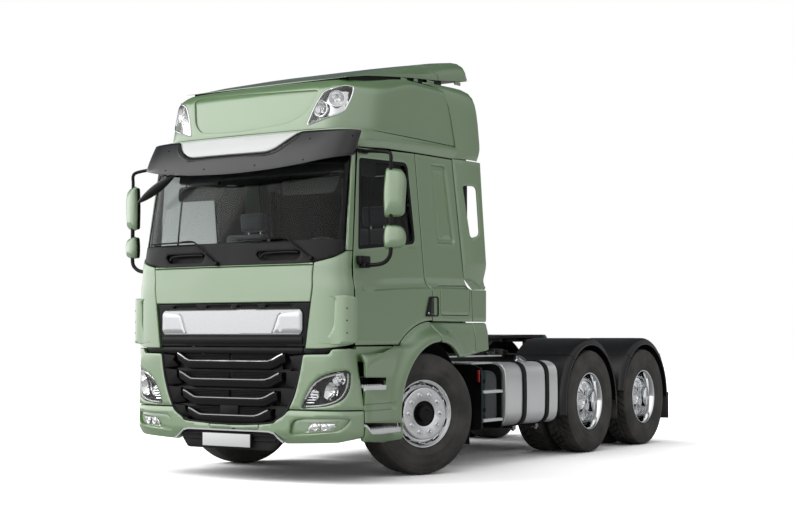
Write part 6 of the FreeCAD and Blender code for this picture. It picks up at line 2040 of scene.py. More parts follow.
# %% Locker lid
def locker_lid():
    made = Shape()
    made.skin(LID, side_face, 0.02, PAINT, PAINT_INSIDE, step=0.022, roll=0.005, lip=0.003,
              creases=along_shoulder(0.19, 0.664))
    made.skin(shrunk(LID, 0.03), inset_of(side_face, 0.02), 0.008, TRIM_DARK, step=0.05, roll=0.004)
    return made


def band_x(y, z):
    """The wheel-arch band swells out towards the opening."""
    r = math.hypot(y - ARCH[0], z - ARCH[1])
    swell = 0.086 * (1 - ramp(r, 0.665, 0.8))
    rear = ramp(y, 0.1, 0.75)
    return SIDE_X + 0.001 + swell * (1 - rear) + rear * 0.014 * ramp(1.335 - z, 0.02, 0.1) - 0.01 * ramp(z,
            1.315, 1.335)


print("locker lid ready")

# %% Rear part of the arch band, and the wall pieces
def band_face(y, z, inset=0.0):
    return Vector((band_x(y, z) - inset, y, z))


BAND_SEAM = [(-0.02, 1.336), (0.05, 1.18)]


def rear_panel():
    """Rear part of the wheel-arch band with the panel below the split line; rides with the cab."""
    made = Shape()
    outline = [(-0.016, 1.336), (0.735, 1.336), (0.775, 1.052), (0.56, 1.024)]
    outline += arc(*ARCH, 0.627, 51, 86.5, 16)
    made.skin(rounded(outline, 0.004, 2), band_face, 0.03, PAINT, SATIN_BLACK, step=0.024, roll=0.008,
              lip=0.006)
    end = [(0.742, 1.336), (0.985, 1.338), (1.006, 1.086), (0.782, 1.053)]
    made.skin(rounded(end, [0.004, 0.02, 0.01, 0.004], 4), band_face, 0.03, PAINT, SATIN_BLACK, step=0.024,
              roll=0.006, lip=0.005)
    return made


for name, side in (("left", 1), ("right", -1)):
    replaced = ["cab_sides"] if side > 0 else ()
    piece("sleeper_wall_" + name, sleeper_wall(), "cab", replaced, side)
    piece("locker_lid_skin_" + name, locker_lid(), "locker_lid_" + name,
          ["locker_lid_" + name], side)
    piece("rear_panel_" + name, rear_panel(), "cab", (), side)


print("band face", triangles["sleeper_wall_left"], "triangles")

# %% [markdown]
# ## Side collars
# Collars carry the air from the cab's side to the trailer. A sheet given as rows of points gets its
# thickness by moving every point back along the local normal.

# %% Collars
def collar_rear(z):
    return float(np.interp(z, [1.655, 1.75, 2.0, 2.84], [0.985, 0.945, 0.925, 0.868]))


def collar_seam(z):
    return COLLAR_SEAM[0][0] + (z - COLLAR_SEAM[0][1]) / 1.09 * (COLLAR_SEAM[1][0] - COLLAR_SEAM[0][0])


def collar_face(y, z, inset=0.0):
    """Leaves the side at the seam and swells out to the width of the trailer."""
    t = (y - collar_seam(z)) / (collar_rear(z) - collar_seam(z))
    swell = 0.058 * math.sin(math.pi / 2 * min(1.0, max(0.0, t) / 0.85)) * ramp(z, 1.655, 1.9)
    lean = 0.02 + 0.03 * max(0.0, z - 1.72) / 1.03
    foot = 0.02 * (1 - ramp(z, 1.655, 1.735)) * ramp(t, 0.2, 1.0)
    return Vector((SIDE_X - lean + foot + 0.003 + swell - inset, y, z))


print("collars ready")

# %% Collars
SLOT = rounded([(0.59, 2.6), (0.79, 2.606), (0.824, 2.15), (0.69, 2.118)], [0.03, 0.06, 0.05, 0.04], 6)


def collars():
    made = Shape()
    top = under_roof(0.5) + 0.002
    foot = [(0.614, 1.738), (0.7, 1.727), (0.79, 1.706), (0.88, 1.678), (0.975, 1.656)]
    rear = [(collar_rear(z), z) for z in (1.75, 1.9, 2.2, 2.5)]
    outline = foot + rear + [(0.872, top), (0.457, top)]
    made.skin(rounded(outline, 0.008, 2), collar_face, 0.016, PAINT, GRAIN_BLACK, holes=[SLOT], step=0.026,
              roll=0.012, lip=0.008)
    low = [(0.74, 1.346), (0.985, 1.346), (0.988, 1.648), (0.722, 1.64)]
    made.skin(rounded(low, [0.004, 0.02, 0.02, 0.004], 4), side_face, 0.02, PAINT, GRAIN_BLACK, step=0.03,
              roll=0.005)
    ledge = [[side_face(0.722 + 0.262 * k / 8, 1.64 + 0.008 * k / 8, 0.003) for k in range(9)]]
    shelf = [(0.614, 1.738), (0.66, 1.732), (0.7, 1.727), (0.745, 1.716), (0.79, 1.706), (0.835, 1.692),
             (0.88, 1.678), (0.93, 1.666), (0.975, 1.656)]
    ledge.append([collar_face(y, z, 0.01) for y, z in shelf])
    made.net(ledge, PAINT)
    # Black panel behind the slot: painted shade for the shaded wall seen through it.
    made.bar((1.05, 0.56, 2.06), (1.098, 0.735, 2.66), SATIN_BLACK, 0.012)
    return made


print("collars ready")

# %% Upper collars
def upper_collars():
    """Same idea beside the high roof, its head rolled in to follow the crown."""
    made = Shape()
    levels = [(2.846, 0.016), (2.9, 0.004), (2.95, 0.0), (3.0, 0.0), (3.1, 0.0), (3.2, 0.0), (3.3, 0.002),
              (3.37, 0.007), (3.43, 0.02), (3.475, 0.046), (3.505, 0.09), (3.52, 0.15)]
    rows = []
    for z, turn_in in levels:
        y0 = float(np.interp(z, [2.846, 2.945, 3.0, 3.28, 3.42, 3.48, 3.52],
                             [0.445, 0.504, 0.487, 0.4, 0.314, 0.235, 0.17]))
        y1 = float(np.interp(z, [2.846, 2.97, 3.25, 3.4, 3.465, 3.52],
                             [0.835, 0.868, 0.822, 0.78, 0.745, 0.66]))
        row = []
        for k in range(17):
            t = k / 16
            swell = 0.05 * math.sin(math.pi / 2 * min(1.0, t / 0.85)) - 0.006 * ramp(t, 0.9, 1.0)
            row.append(Vector((1.108 + swell - turn_in, y0 + (y1 - y0) * t, z)))
        rows.append(row)
    sheet(made, rows, 0.014, PAINT, GRAIN_BLACK)
    return made


for name, side in (("left", 1), ("right", -1)):
    replaced = ["side_collars"] if side > 0 else ()
    piece("collar_" + name, collars(), "cab", replaced, side)
    piece("upper_collar_" + name, upper_collars(), "cab", (), side)


print("upper collars", triangles["collar_left"], "triangles")

# %% Rear wall of the cab, with swages and a grab rail
def cab_rear_wall():
    made = Shape()
    half = [(0.436, 1.52), (0.436, 1.262), (1.092, 1.262), (1.092, 1.64), (1.072, 1.72), (1.042, 2.75)]
    outline = rounded([*half, *mirrored(half)], 0.02, 4)
    made.skin(outline, lambda x, z: Vector((x, 0.7, z)), -0.04, PAINT, TRIM_LIGHT, step=0.07)
    for k in range(5):
        z = 1.72 + 0.22 * k
        made.bar((-0.86, 0.696, z - 0.02), (0.86, 0.712, z + 0.02), PAINT, 0.007)
    for x in (-0.955, 0.955):
        made.tube([(x, 0.7, 1.55), (x, 0.755, 1.57), (x, 0.755, 2.2), (x, 0.7, 2.22)], 0.014, SATIN_BLACK,
                  10, 4)
    return made


piece("cab_rear_wall", cab_rear_wall(), "cab", ["cab_back"])
print("sides done")

# %% [markdown]
# ## Entry steps and the front wheel-arch band
# The step panel stays with the chassis when the cab tilts. It is widest along a bent crease: above
# it the sheet falls in towards the door foot, behind it the sheet falls back until the arch band
# swells out again. Two steps are cut in from the front, with bright perforated treads.

# %% Step panel
OUT_X = 1.238
UPPER_CREASE = [(-0.655, 1.118), (-1.082, 0.997), (-1.112, 0.935)]


def panel_x(y, z):
    front = float(np.interp(z, [0.4, 0.5, 0.66, 0.8, 0.88, 1.005, 1.14],
                            [-1.06, -1.056, -1.02, -1.08, -1.12, -1.086, -1.086]))
    over = max(0.0, z - (1.005 + (y + 1.086) * 0.2867))
    x = OUT_X - 0.62 * over - 0.075 * max(0.0, y - front) - 0.16 * max(0.0, front - y)
    x -= 0.011 * (ramp(z, 0.598, 0.606) - ramp(z, 0.652, 0.66))
    return x - 0.05 * (1 - ramp(z, 0.3, 0.42))


def front_band_face(y, z, inset=0.0):
    r = math.hypot(y - ARCH[0], z - ARCH[1])
    top = ramp(z, 1.09, 1.17)
    base = panel_x(y, z) * (1 - top) + (SIDE_X + 0.001) * top
    t = 1 - ramp(r, 0.66, 0.792)
    return Vector((base + (OUT_X - base) * t - inset, y, z))


print("step panel ready")

# %% Step panel
def step_panel():
    made = Shape()
    gate, low = -1.126, arc(*ARCH, 0.627, 193.5, 91.5, 40)
    outline = [(gate, 0.506), (-0.566, 0.478)] + low[1:] + BAND_SEAM[::-1]
    outline += arc(*ARCH, 0.808, 94.5, 132.4, 18) + [(-0.62, 1.133), (-0.86, 1.078), (gate, 1.068)]
    outline += [(gate, 0.876), (-0.796, 0.868), (-0.806, 0.77), (gate, 0.772)]
    creases = [UPPER_CREASE]
    for z in (0.598, 0.606, 0.652, 0.66):
        creases.append([(-1.114, z), (-0.625, z)])
    made.skin(rounded(outline, 0.005, 2), front_band_face, 0.028, PAINT, SATIN_BLACK, step=0.022,
              roll=0.006, lip=0.004, creases=creases)
    foot = [(gate, 0.35), (-0.763, 0.322), (-0.59, 0.35), (-0.57, 0.402), (-1.035, 0.408), (-1.075, 0.44),
            (gate, 0.476)]
    made.skin(rounded(foot, [0.005, 0.02, 0.02, 0.005, 0.03, 0.04, 0.005], 4), front_band_face, 0.028,
              PAINT, SATIN_BLACK, step=0.022, roll=0.006, lip=0.004)
    made.bar((1.098, -1.135, 1.0), (1.142, -0.6, 1.128), PAINT, 0.006)
    made.bar((1.02, -1.125, 0.36), (1.035, -0.6, 1.05), GRAIN_BLACK, 0.004)
    made.bar((1.03, -0.8, 0.68), (1.21, -0.79, 0.9), GRAIN_BLACK, 0.003)
    made.bar((1.03, -1.135, 0.872), (1.2, -0.79, 0.884), GRAIN_BLACK, 0.003)
    made.bar((1.03, -1.135, 0.5), (1.215, -0.63, 0.512), GRAIN_BLACK, 0.003)
    return made


print("step panel ready")

# %% Step tread
def step_tread(made, y0, y1, z, x1, rear):
    """Pressed tread: a tray with a rolled front lip and rows of raised collars."""
    made.bar((1.035, y0, z - 0.018), (x1 - 0.006, y1, z), TREAD, 0.004)
    lip = [(x1 - 0.016, z + 0.002), (x1, z + 0.001), (x1 + 0.002, z - 0.012), (x1 + 0.002, z - 0.036),
           (x1 - 0.006, z - 0.044), (x1 - 0.016, z - 0.036)]
    rows = []
    for k in range(13):
        y = y0 + (y1 - y0) * k / 12
        taper = 0.01 * ramp(y, y1 - rear, y1)
        rows.append([Vector((x - taper, y, h)) for x, h in lip])
    made.loft(rows, TREAD)
    for row in range(3):
        for k in range(int((y1 - y0) / 0.038)):
            y = y0 + 0.024 + 0.038 * k + 0.019 * (row % 2)
            if y < y1 - 0.015:
                made.turned([(0.0, 0.012), (0.007, 0.009), (0.007, 0.006), (-0.003, 0.005)],
                            (x1 - 0.045 - 0.04 * row, y, z), (0, 0, 1), TREAD, 10, closed=False)


print("step tread ready")

# %% Step treads
def step_treads():
    made = Shape()
    step_tread(made, -1.126, -0.8, 0.806, 1.222, 0.02)
    step_tread(made, -1.075, -0.575, 0.446, 1.226, 0.04)
    path = [(1.205, -1.126, 0.484), (1.214, -1.1, 0.476), (1.222, -1.072, 0.448), (1.222, -1.05, 0.418)]
    made.tube(path, 0.014, TREAD, 10, 6)
    made.bar((1.05, -1.126, 0.468), (1.205, -1.07, 0.484), TREAD, 0.005)
    return made


for name, side in (("left", 1), ("right", -1)):
    replaced = ["step_panels"] if side > 0 else ()
    piece("step_panel_" + name, step_panel(), "chassis", replaced, side)
    piece("step_treads_" + name, step_treads(), "chassis", (), side)
print("steps", triangles["step_panel_left"], "triangles")

# %% [markdown]
# ## Mudguards
# Guards are half rounds of sheet. The rear ones are three-part mouldings with a raised bead where
# the parts overlap, a rolled outer lip, and a rubber flap behind the last axle.

# %% Rear mudguards
GUARD_IN, GUARD_OUT = 0.588, 1.2525
AXLES = (3.02, 4.39)


def guard_point(axle, turn, x, grow=0.0):
    """Turn 0 is forwards, 90 straight up; the ends run straight down."""
    r = 0.658 + grow
    if turn < 0:
        return Vector((x, axle - r, 0.535 + turn * 0.01))
    if turn > 180:
        return Vector((x, axle + r, 0.535 - (turn - 180) * 0.01))
    a = math.radians(turn)
    return Vector((x, axle - r * math.cos(a), 0.535 + r * math.sin(a)))


def rear_guard(axle, first, last, flap):
    made = Shape()
    turns = np.linspace(first, last, 57)
    edge = [(GUARD_OUT - 0.058 + 0.052 * math.sin(math.radians(a)),
             -0.052 + 0.052 * math.cos(math.radians(a))) for a in (12, 28, 45, 62, 78)]
    section = [(GUARD_IN + 0.125 * k, 0.0) for k in range(5)] + edge
    section += [(GUARD_OUT - 0.006, -0.058), (GUARD_OUT - 0.001, -0.064), (GUARD_OUT - 0.003, -0.074)]
    rows = [[guard_point(axle, t, x, g) for x, g in section] for t in turns]
    sheet(made, rows, 0.007, GUARD_BLACK, GRAIN_BLACK)
    for t in (47.5, 132.5):
        ring = [guard_point(axle, t, x, g + 0.001) for x, g in section]
        made.tube(ring, 0.004, GUARD_BLACK, 8, 1, False)
        for k in (0, 2, 4):
            p = guard_point(axle, t + 2.6, section[k][0] + 0.03, -0.001)
            made.disc(p, p - Vector((p.x, axle, 0.535)), 0.01, 0.006, GUARD_BLACK, 12, 0.003)
    y = axle + (0.668 if flap else 0.64)
    foot = 0.265 if flap else 0.32
    made.bar((GUARD_IN + 0.02, y - 0.012, foot), (GUARD_OUT - 0.012, y, 0.56), RUBBER, 0.004)
    made.bar((GUARD_IN + 0.02, y - 0.015, 0.525), (GUARD_OUT - 0.01, y + 0.001, 0.565), GUARD_BLACK, 0.004)
    for t in (50.0, 130.0):
        p = guard_point(axle, t, 0.0, -0.03)
        made.tube([(0.42, p.y, p.z), (GUARD_OUT - 0.1, p.y, p.z)], 0.018, CHASSIS, 12, 0)
        made.bar((0.425, p.y - 0.05, p.z - 0.05), (0.445, p.y + 0.05, p.z + 0.05), CHASSIS, 0.004)
    return made


for name, side in (("left", 1), ("right", -1)):
    replaced = ["rear_mudguards"] if side > 0 else ()
    piece("guard_front_" + name, rear_guard(AXLES[0], -12.0, 186.0, False), "chassis",
          replaced, side)
    piece("guard_rear_" + name, rear_guard(AXLES[1], 8.0, 182.0, True), "chassis", (),
          side)
print("guards done")

# %% [markdown]
# ## Tyres
# A tyre is one section turned round the axle, but the tread is not: grooves and lugs are cut by
# shifting points of the crown inwards wherever a tread pattern says so. Front tyres have straight
# ribs with fine zigzag slots, drive tyres have slanted lugs that meet in arrows.

# %% Tyre with a cut tread
TYRE_R = 0.535
SIDEWALL = [(0.1145, 0.2865), (0.118, 0.305), (0.134, 0.318), (0.1445, 0.35), (0.149, 0.36), (0.147, 0.366),
            (0.1522, 0.4), (0.1525, 0.425), (0.1505, 0.455), (0.1475, 0.462), (0.148, 0.47), (0.142, 0.492),
            (0.1385, 0.497), (0.1375, 0.505), (0.1345, 0.517)]


def grooves(places, half):
    """Columns across one half of the tread, with 1 at the floor of each straight groove."""
    out = [(0.0, 0)] if not places or places[0] > half else []
    for u in places:
        out += [(u - half - 0.012, 0), (u - half, 1), (u + half, 1), (u + half + 0.012, 0)]
    out += [(0.8, 0), (0.93, 0), (0.97, 0), (1.0, 0)]
    right = [c for c in out if c[0] > 1e-6]
    return [(-u, cut) for u, cut in reversed(right)] + ([(0.0, 0)] if out[0][0] == 0.0 else []) + right


print("tyre with a cut tread ready")

# %% Tyre
def tyre(centre_x, axle, lugs, phases, columns, slope, wave, depth, badges=()):
    made = Shape()
    section = [(-x, r, None, 0) for x, r in SIDEWALL]
    section += [(u * 0.126, TYRE_R - 0.01 * u ** 4, u, cut) for u, cut in columns]
    section += [(x, r, None, 0) for x, r in reversed(SIDEWALL)]
    rows = []
    for lug in range(lugs):
        for phase, row_cut in phases:
            row = []
            for x, r, u, cut in section:
                turn = lug + phase + slope * (1.0 if u is None else abs(u))
                if u is not None:
                    x += wave * math.sin(math.pi * 2 * (lug + phase)) * (abs(u) < 0.8)
                    r -= depth * max(cut, row_cut if abs(u) < 0.94 else 0)
                a = 2 * math.pi * turn / lugs
                row.append(Vector((centre_x + x, axle + r * math.sin(a), WHEEL_Z + r * math.cos(a))))
            rows.append(row)
    made.net(rows, RUBBER, looped=True)
    for start, end in badges:
        band = []
        for k in range(25):
            a = math.radians(start + (end - start) * k / 24)
            fade = min(1.0, k / 2, (24 - k) / 2)
            band.append([Vector((centre_x + x + h * fade, axle + r * math.sin(a),
                                 WHEEL_Z + r * math.cos(a))) for x, r,
                         h in ((0.1515, 0.398, 0.0), (0.1522, 0.403, 0.0022), (0.1512, 0.448, 0.0022),
                               (0.15, 0.455, 0.0))])
        made.net(band, RUBBER)
    bore = []
    for k in range(48):
        a = 2 * math.pi * k / 48
        bore.append([Vector((centre_x + x, axle + 0.284 * math.sin(a), WHEEL_Z + 0.284 * math.cos(a)))
                     for x in (-0.1145, 0.0, 0.1145)])
    made.net(bore, RUBBER, looped=True)
    return made


print("tyre ready")

# %% [markdown]
# ## Front wheels
# A polished alloy front wheel bulges outwards: a flat bolted face with ten nuts, a turned dish with
# ten oval hand holes, and a stepped rim. The plastic hub cap is black and sits inside the face.

# %% Front wheel
STEER = math.radians(22)
TRACK = 1.034
KINGPIN = 0.9


def ring_of(centre, r, count, start=0.0):
    for k in range(count):
        a = 2 * math.pi * (k + start) / count
        yield a, Vector((centre[0], centre[1] + r * math.sin(a), centre[2] + r * math.cos(a)))


def nut(made, base, r, height, finish):
    """Hexagon nut on a washer, with the stud end showing."""
    made.turned([(0.0, r * 1.35), (0.004, r * 1.35), (0.006, r * 1.2), (0.006, 0.0001)], base, X_AXIS,
                finish, 18, closed=False)
    made.turned([(0.004, r), (height * 0.8, r), (height, r * 0.8), (height, 0.0001)], base, X_AXIS, finish,
                6, closed=False)
    made.disc(base + Vector((height - 0.002, 0, 0)), X_AXIS, r * 0.45, 0.01, finish, 12, 0.002)


print("front wheel ready")

# %% Hand holes
def hand_holes(made, centre, r, along_axis, across_axis):
    """Ten dark oval holes with a rolled rim, lying on the cone of the dish."""
    for a, p in ring_of(centre, r, 10):
        out = Vector((along_axis, across_axis * math.sin(a), across_axis * math.cos(a))).normalized()
        along = Vector((0, math.cos(a), -math.sin(a)))
        up = out.cross(along)
        turn = [2 * math.pi * k / 20 for k in range(20)]
        loops = []
        for wide, high, lift in ((0.04, 0.015, -0.002), (0.039, 0.014, 0.0035), (0.036, 0.0115, 0.003),
                                 (0.035, 0.0105, 0.0005)):
            loops.append([p + out * lift + along * (wide * math.cos(t)) + up * (high * math.sin(t))
                          for t in turn])
        made.net(loops, ALLOY, closed=True)
        made.mesh(loops[-1], [tuple(range(20))], SEAL)


print("hand holes ready")

# %% Front wheel
def front_wheel():
    made = Shape()
    c = (TRACK, 0.0, WHEEL_Z)
    rim = [(-0.125, 0.2985), (-0.114, 0.2985), (-0.11, 0.288), (-0.06, 0.28), (0.06, 0.276), (0.11, 0.288),
           (0.114, 0.2985), (0.121, 0.2985), (0.125, 0.295), (0.124, 0.288), (0.115, 0.284), (0.108, 0.276),
           (0.088, 0.269), (0.06, 0.262), (-0.06, 0.262), (-0.112, 0.27), (-0.125, 0.284)]
    made.turned(rim, c, X_AXIS, ALLOY, 96)
    dish = [(0.05, 0.264), (0.066, 0.263), (0.082, 0.259), (0.098, 0.251), (0.112, 0.241), (0.124, 0.232),
            (0.1305, 0.226), (0.11, 0.223), (0.09, 0.238), (0.06, 0.254)]
    made.turned(dish, c, X_AXIS, ALLOY, 96)
    hand_holes(made, (c[0] + 0.089, 0, c[2]), 0.2568, 0.6, 0.8)
    face = [(0.1305, 0.226), (0.133, 0.223), (0.1335, 0.218), (0.1335, 0.116), (0.13, 0.111), (0.1, 0.109),
            (0.09, 0.109), (0.09, 0.224)]
    made.turned(face, c, X_AXIS, ALLOY, 96)
    for _, p in ring_of((c[0] + 0.1335, 0, c[2]), 0.1675, 10, 0.5):
        made.turned([(0.0, 0.034), (0.0012, 0.0325), (-0.006, 0.027), (-0.006, 0.0001)], p, X_AXIS, STEEL,
                    24, closed=False)
        nut(made, p - Vector((0.004, 0, 0)), 0.0165, 0.028, CHROME)
    cap = [(0.092, 0.1085), (0.112, 0.108), (0.118, 0.102), (0.112, 0.09), (0.112, 0.074), (0.15, 0.07),
           (0.158, 0.064), (0.16, 0.042), (0.152, 0.034), (0.152, 0.0001)]
    made.turned(cap, c, X_AXIS, SATIN_BLACK, 64, closed=False)
    for a, p in ring_of((c[0] + 0.118, 0, c[2]), 0.089, 8):
        made.disc(p - Vector((0.006, 0, 0)), X_AXIS, 0.006, 0.01, SATIN_BLACK, 6, 0.002)
    made.disc(Vector((c[0] - 0.02, 0, c[2])), X_AXIS, 0.17, 0.06, IRON, 48, 0.008)
    made.disc(Vector((c[0] - 0.11, 0, c[2])), X_AXIS, 0.225, 0.04, STEEL, 64, 0.004)
    valve = Vector((c[0] + 0.1, 0.268 * math.sin(0.9), c[2] + 0.268 * math.cos(0.9)))
    made.tube([valve, valve + Vector((0.04, -0.012, -0.01))], 0.004, CHROME, 8, 0)
    return made


print("front wheel ready")

# %% Place steered
def place_steered(shape, side):
    """Front wheels stand turned by 22 degrees; the whole shape turns about its kingpin."""
    if side < 0:
        for v in shape.bm.verts:
            v.co.x = -v.co.x
    shape.turn_about(Vector((side * KINGPIN, 0, 0)), "Z", -STEER)
    return shape


FRONT_ROWS = [(0.0, 0.22), (0.1, 0.22), (0.13, 0), (0.4, 0), (0.7, 0), (0.97, 0)]
FRONT_COLUMNS = grooves([0.2, 0.6], 0.035)
for name, side in (("left", 1), ("right", -1)):
    body = "front_wheel_" + name
    piece("rim_front_" + name, place_steered(front_wheel(), side), body,
          ["wheel_front_" + name])
    rubber = tyre(TRACK, 0.0, 72, FRONT_ROWS, FRONT_COLUMNS, 0.0, 0.0022, 0.012,
                  ((20, 75), (155, 205), (262, 318)))
    piece("rubber_front_" + name, place_steered(rubber, side), body, ["tyre_front_" + name])
print("front tyre", triangles["rubber_front_left"], "triangles")

# %% [markdown]
# ## Twin rear wheels
# The outer of two twin wheels is mounted inside out, so one looks into a deep chromed dish with the
# hub standing in it. Both rims and both tyres of a pair turn together.

# %% Rear wheels
TWIN_OUT, TWIN_PITCH = 1.1, 0.35


def twin_rims(axle):
    made = Shape()
    outer = (TWIN_OUT, axle, WHEEL_Z)
    rim = [(-0.125, 0.2985), (-0.114, 0.2985), (-0.11, 0.288), (-0.06, 0.28), (0.06, 0.276), (0.11, 0.288),
           (0.114, 0.2985), (0.121, 0.2985), (0.1262, 0.2955), (0.1255, 0.287), (0.118, 0.281),
           (0.108, 0.276), (0.095, 0.2735), (0.08, 0.266), (0.03, 0.263), (0.0, 0.259), (-0.06, 0.255),
           (-0.08, 0.262), (-0.112, 0.27), (-0.125, 0.284)]
    made.turned(rim, outer, X_AXIS, CHROME, 96)
    made.turned([(-a, r) for a, r in rim], (TWIN_OUT - TWIN_PITCH, axle, WHEEL_Z), X_AXIS, STEEL, 64)
    disc = [(-0.066, 0.256), (-0.1, 0.25), (-0.13, 0.236), (-0.148, 0.218), (-0.155, 0.196),
            (-0.155, 0.118), (-0.175, 0.118), (-0.175, 0.22), (-0.15, 0.244), (-0.1, 0.26), (-0.066, 0.262)]
    made.turned(disc, outer, X_AXIS, CHROME, 96)
    hand_holes(made, (TWIN_OUT - 0.119, axle, WHEEL_Z), 0.2415, 0.66, -0.75)
    for a, p in ring_of((TWIN_OUT - 0.155, axle, WHEEL_Z), 0.1675, 10, 0.5):
        nut(made, p, 0.0155, 0.03, CHROME)
    hub = [(-0.175, 0.117), (-0.12, 0.115), (-0.095, 0.109), (-0.04, 0.104), (0.0, 0.098), (0.022, 0.09),
           (0.028, 0.078), (0.028, 0.0001)]
    made.turned(hub, outer, X_AXIS, CHROME, 64, closed=False)
    for a, p in ring_of((TWIN_OUT + 0.028, axle, WHEEL_Z), 0.06, 8):
        made.disc(p - Vector((0.003, 0, 0)), X_AXIS, 0.009, 0.01, CHROME, 6, 0.002)
    made.disc(Vector((TWIN_OUT - TWIN_PITCH - 0.1, axle, WHEEL_Z)), X_AXIS, 0.205, 0.19, IRON, 48, 0.01)
    made.turned([(-0.225, 0.15), (-0.235, 0.24), (-0.275, 0.254), (-0.275, 0.264), (-0.22, 0.256),
                 (-0.205, 0.24), (-0.195, 0.15)], outer, X_AXIS, STEEL, 64)
    return made


DRIVE_ROWS = [(0.0, 1), (0.13, 1), (0.16, 0), (0.42, 0), (0.7, 0), (0.97, 0)]
DRIVE_COLUMNS = grooves([0.0, 0.45], 0.022)
for number, axle in ((1, AXLES[0]), (2, AXLES[1])):
    for name, side in (("left", 1), ("right", -1)):
        body = f"drive{number}_wheel_{name}"
        piece(f"rims_drive{number}_{name}", twin_rims(axle), body,
              [f"wheel_drive{number}_{name}"], side)
        for k, x in ((1, TWIN_OUT), (2, TWIN_OUT - TWIN_PITCH)):
            replaced = [f"tyre_drive{number}_{name}"] if k == 1 else ()
            piece(f"rubber_drive{number}_{name}_{k}", tyre(x, axle, 44, DRIVE_ROWS, DRIVE_COLUMNS, -1.25,
                    0.0, 0.017), body, replaced, side)
print("rear tyre", triangles["rubber_drive1_left_1"], "triangles")

# %% [markdown]
# ## Fuel tank, side step and exhaust box
# The tank is a rolled tube of bright sheet, with a bead where each domed end is welded in. Two
# strap bands on rubber hold it to brackets. Rings that grow and shrink along the tank make all of it.

# %% Tank
def box_ring(y, x0, x1, z0, z1, r, grow=0.0, bulge=0.012):
    """Rounded rectangle across the vehicle at y, its outer wall slightly arched."""
    cx, cz = (x0 + x1) / 2, (z0 + z1) / 2
    w, h = (x1 - x0) / 2 - bulge, (z1 - z0) / 2
    out = []
    for x, z in even(rounded([(cx - w, z0), (cx + w, z0), (cx + w, z1), (cx - w, z1)], r, 8), 0.06):
        arch = bulge * (1 - ((z - cz) / h) ** 2) if x > cx else 0.0
        out.append(Vector((cx + (x - cx) * (1 + grow / w) + arch, y, cz + (z - cz) * (1 + grow / h))))
    return out


TANK_BOX = (0.485, 1.2, 0.345, 0.965, 0.135)
STRAPS = (1.644, 2.114)


def fuel_tank():
    made = Shape()
    bead = [(0.014, -0.16), (0.006, -0.08), (0.001, -0.034), (0.0, -0.016), (0.003, -0.004), (0.01, 0.0005),
            (0.018, -0.001), (0.024, -0.003)]
    rows = [(1.265 + y, g) for y, g in bead] + [(2.345 - y, g) for y, g in reversed(bead)]
    made.loft([box_ring(y, *TANK_BOX, grow=g) for y, g in rows], TANK)
    made.tube([(1.018, 1.823, 0.925), (1.064, 1.823, 0.988)], 0.044, TANK, 28, 0)
    away = Vector((0.046, 0, 0.063)).normalized()
    cap = [(0.0, 0.05), (0.004, 0.053), (0.02, 0.053), (0.027, 0.047), (0.028, 0.0001)]
    made.turned(cap, (1.056, 1.823, 0.976), away, STEEL, 40, closed=False)
    for k in range(12):
        a = math.tau * k / 12
        side = away.cross(Y_AXIS) * math.cos(a) + Y_AXIS * math.sin(a)
        p = Vector((1.056, 1.823, 0.976)) + away * 0.004 + side * 0.052
        made.tube([p, p + away * 0.014], 0.005, STEEL, 6, 0)
    made.disc((1.16, 1.4, 0.43), X_AXIS, 0.018, 0.02, STEEL, 24, 0.004)
    return made


print("tank ready")

# %% Tank straps
def tank_straps():
    made = Shape()
    for y in STRAPS:
        for half, low, high, finish in ((0.044, -0.003, 0.0035, SEAL), (0.034, 0.003, 0.0075, SATIN_BLACK)):
            rows = []
            for dy, grow in ((-half, low), (-half, high - 0.001), (-half + 0.002, high),
                             (half - 0.002, high), (half, high - 0.001), (half, low)):
                rows.append(box_ring(y + dy, *TANK_BOX, grow=grow - 0.003))
            made.net(rows, finish, closed=True)
        for edge in (-0.031, 0.031):
            made.tube([*box_ring(y + edge, *TANK_BOX, grow=0.0045),
                       box_ring(y + edge, *TANK_BOX, grow=0.0045)[0]], 0.0025, SATIN_BLACK, 6, 0, False)
        made.bar((0.425, y - 0.04, 0.315), (1.08, y + 0.04, 0.341), CHASSIS, 0.006)
        made.bar((0.425, y - 0.04, 0.315), (0.47, y + 0.04, 0.93), CHASSIS, 0.006)
        made.bar((1.03, y - 0.03, 0.3), (1.085, y + 0.03, 0.345), STEEL, 0.006)
        made.tube([(1.066, y, 0.288), (1.066, y, 0.356)], 0.008, STEEL, 10, 0)
        made.disc((1.066, y, 0.29), Z_AXIS, 0.015, 0.012, STEEL, 6, 0.002)
    return made


piece("tank_shell", fuel_tank(), "chassis", ["fuel_tank"])
piece("tank_straps", tank_straps(), "chassis")
print("tank straps", triangles["tank_shell"], "triangles")

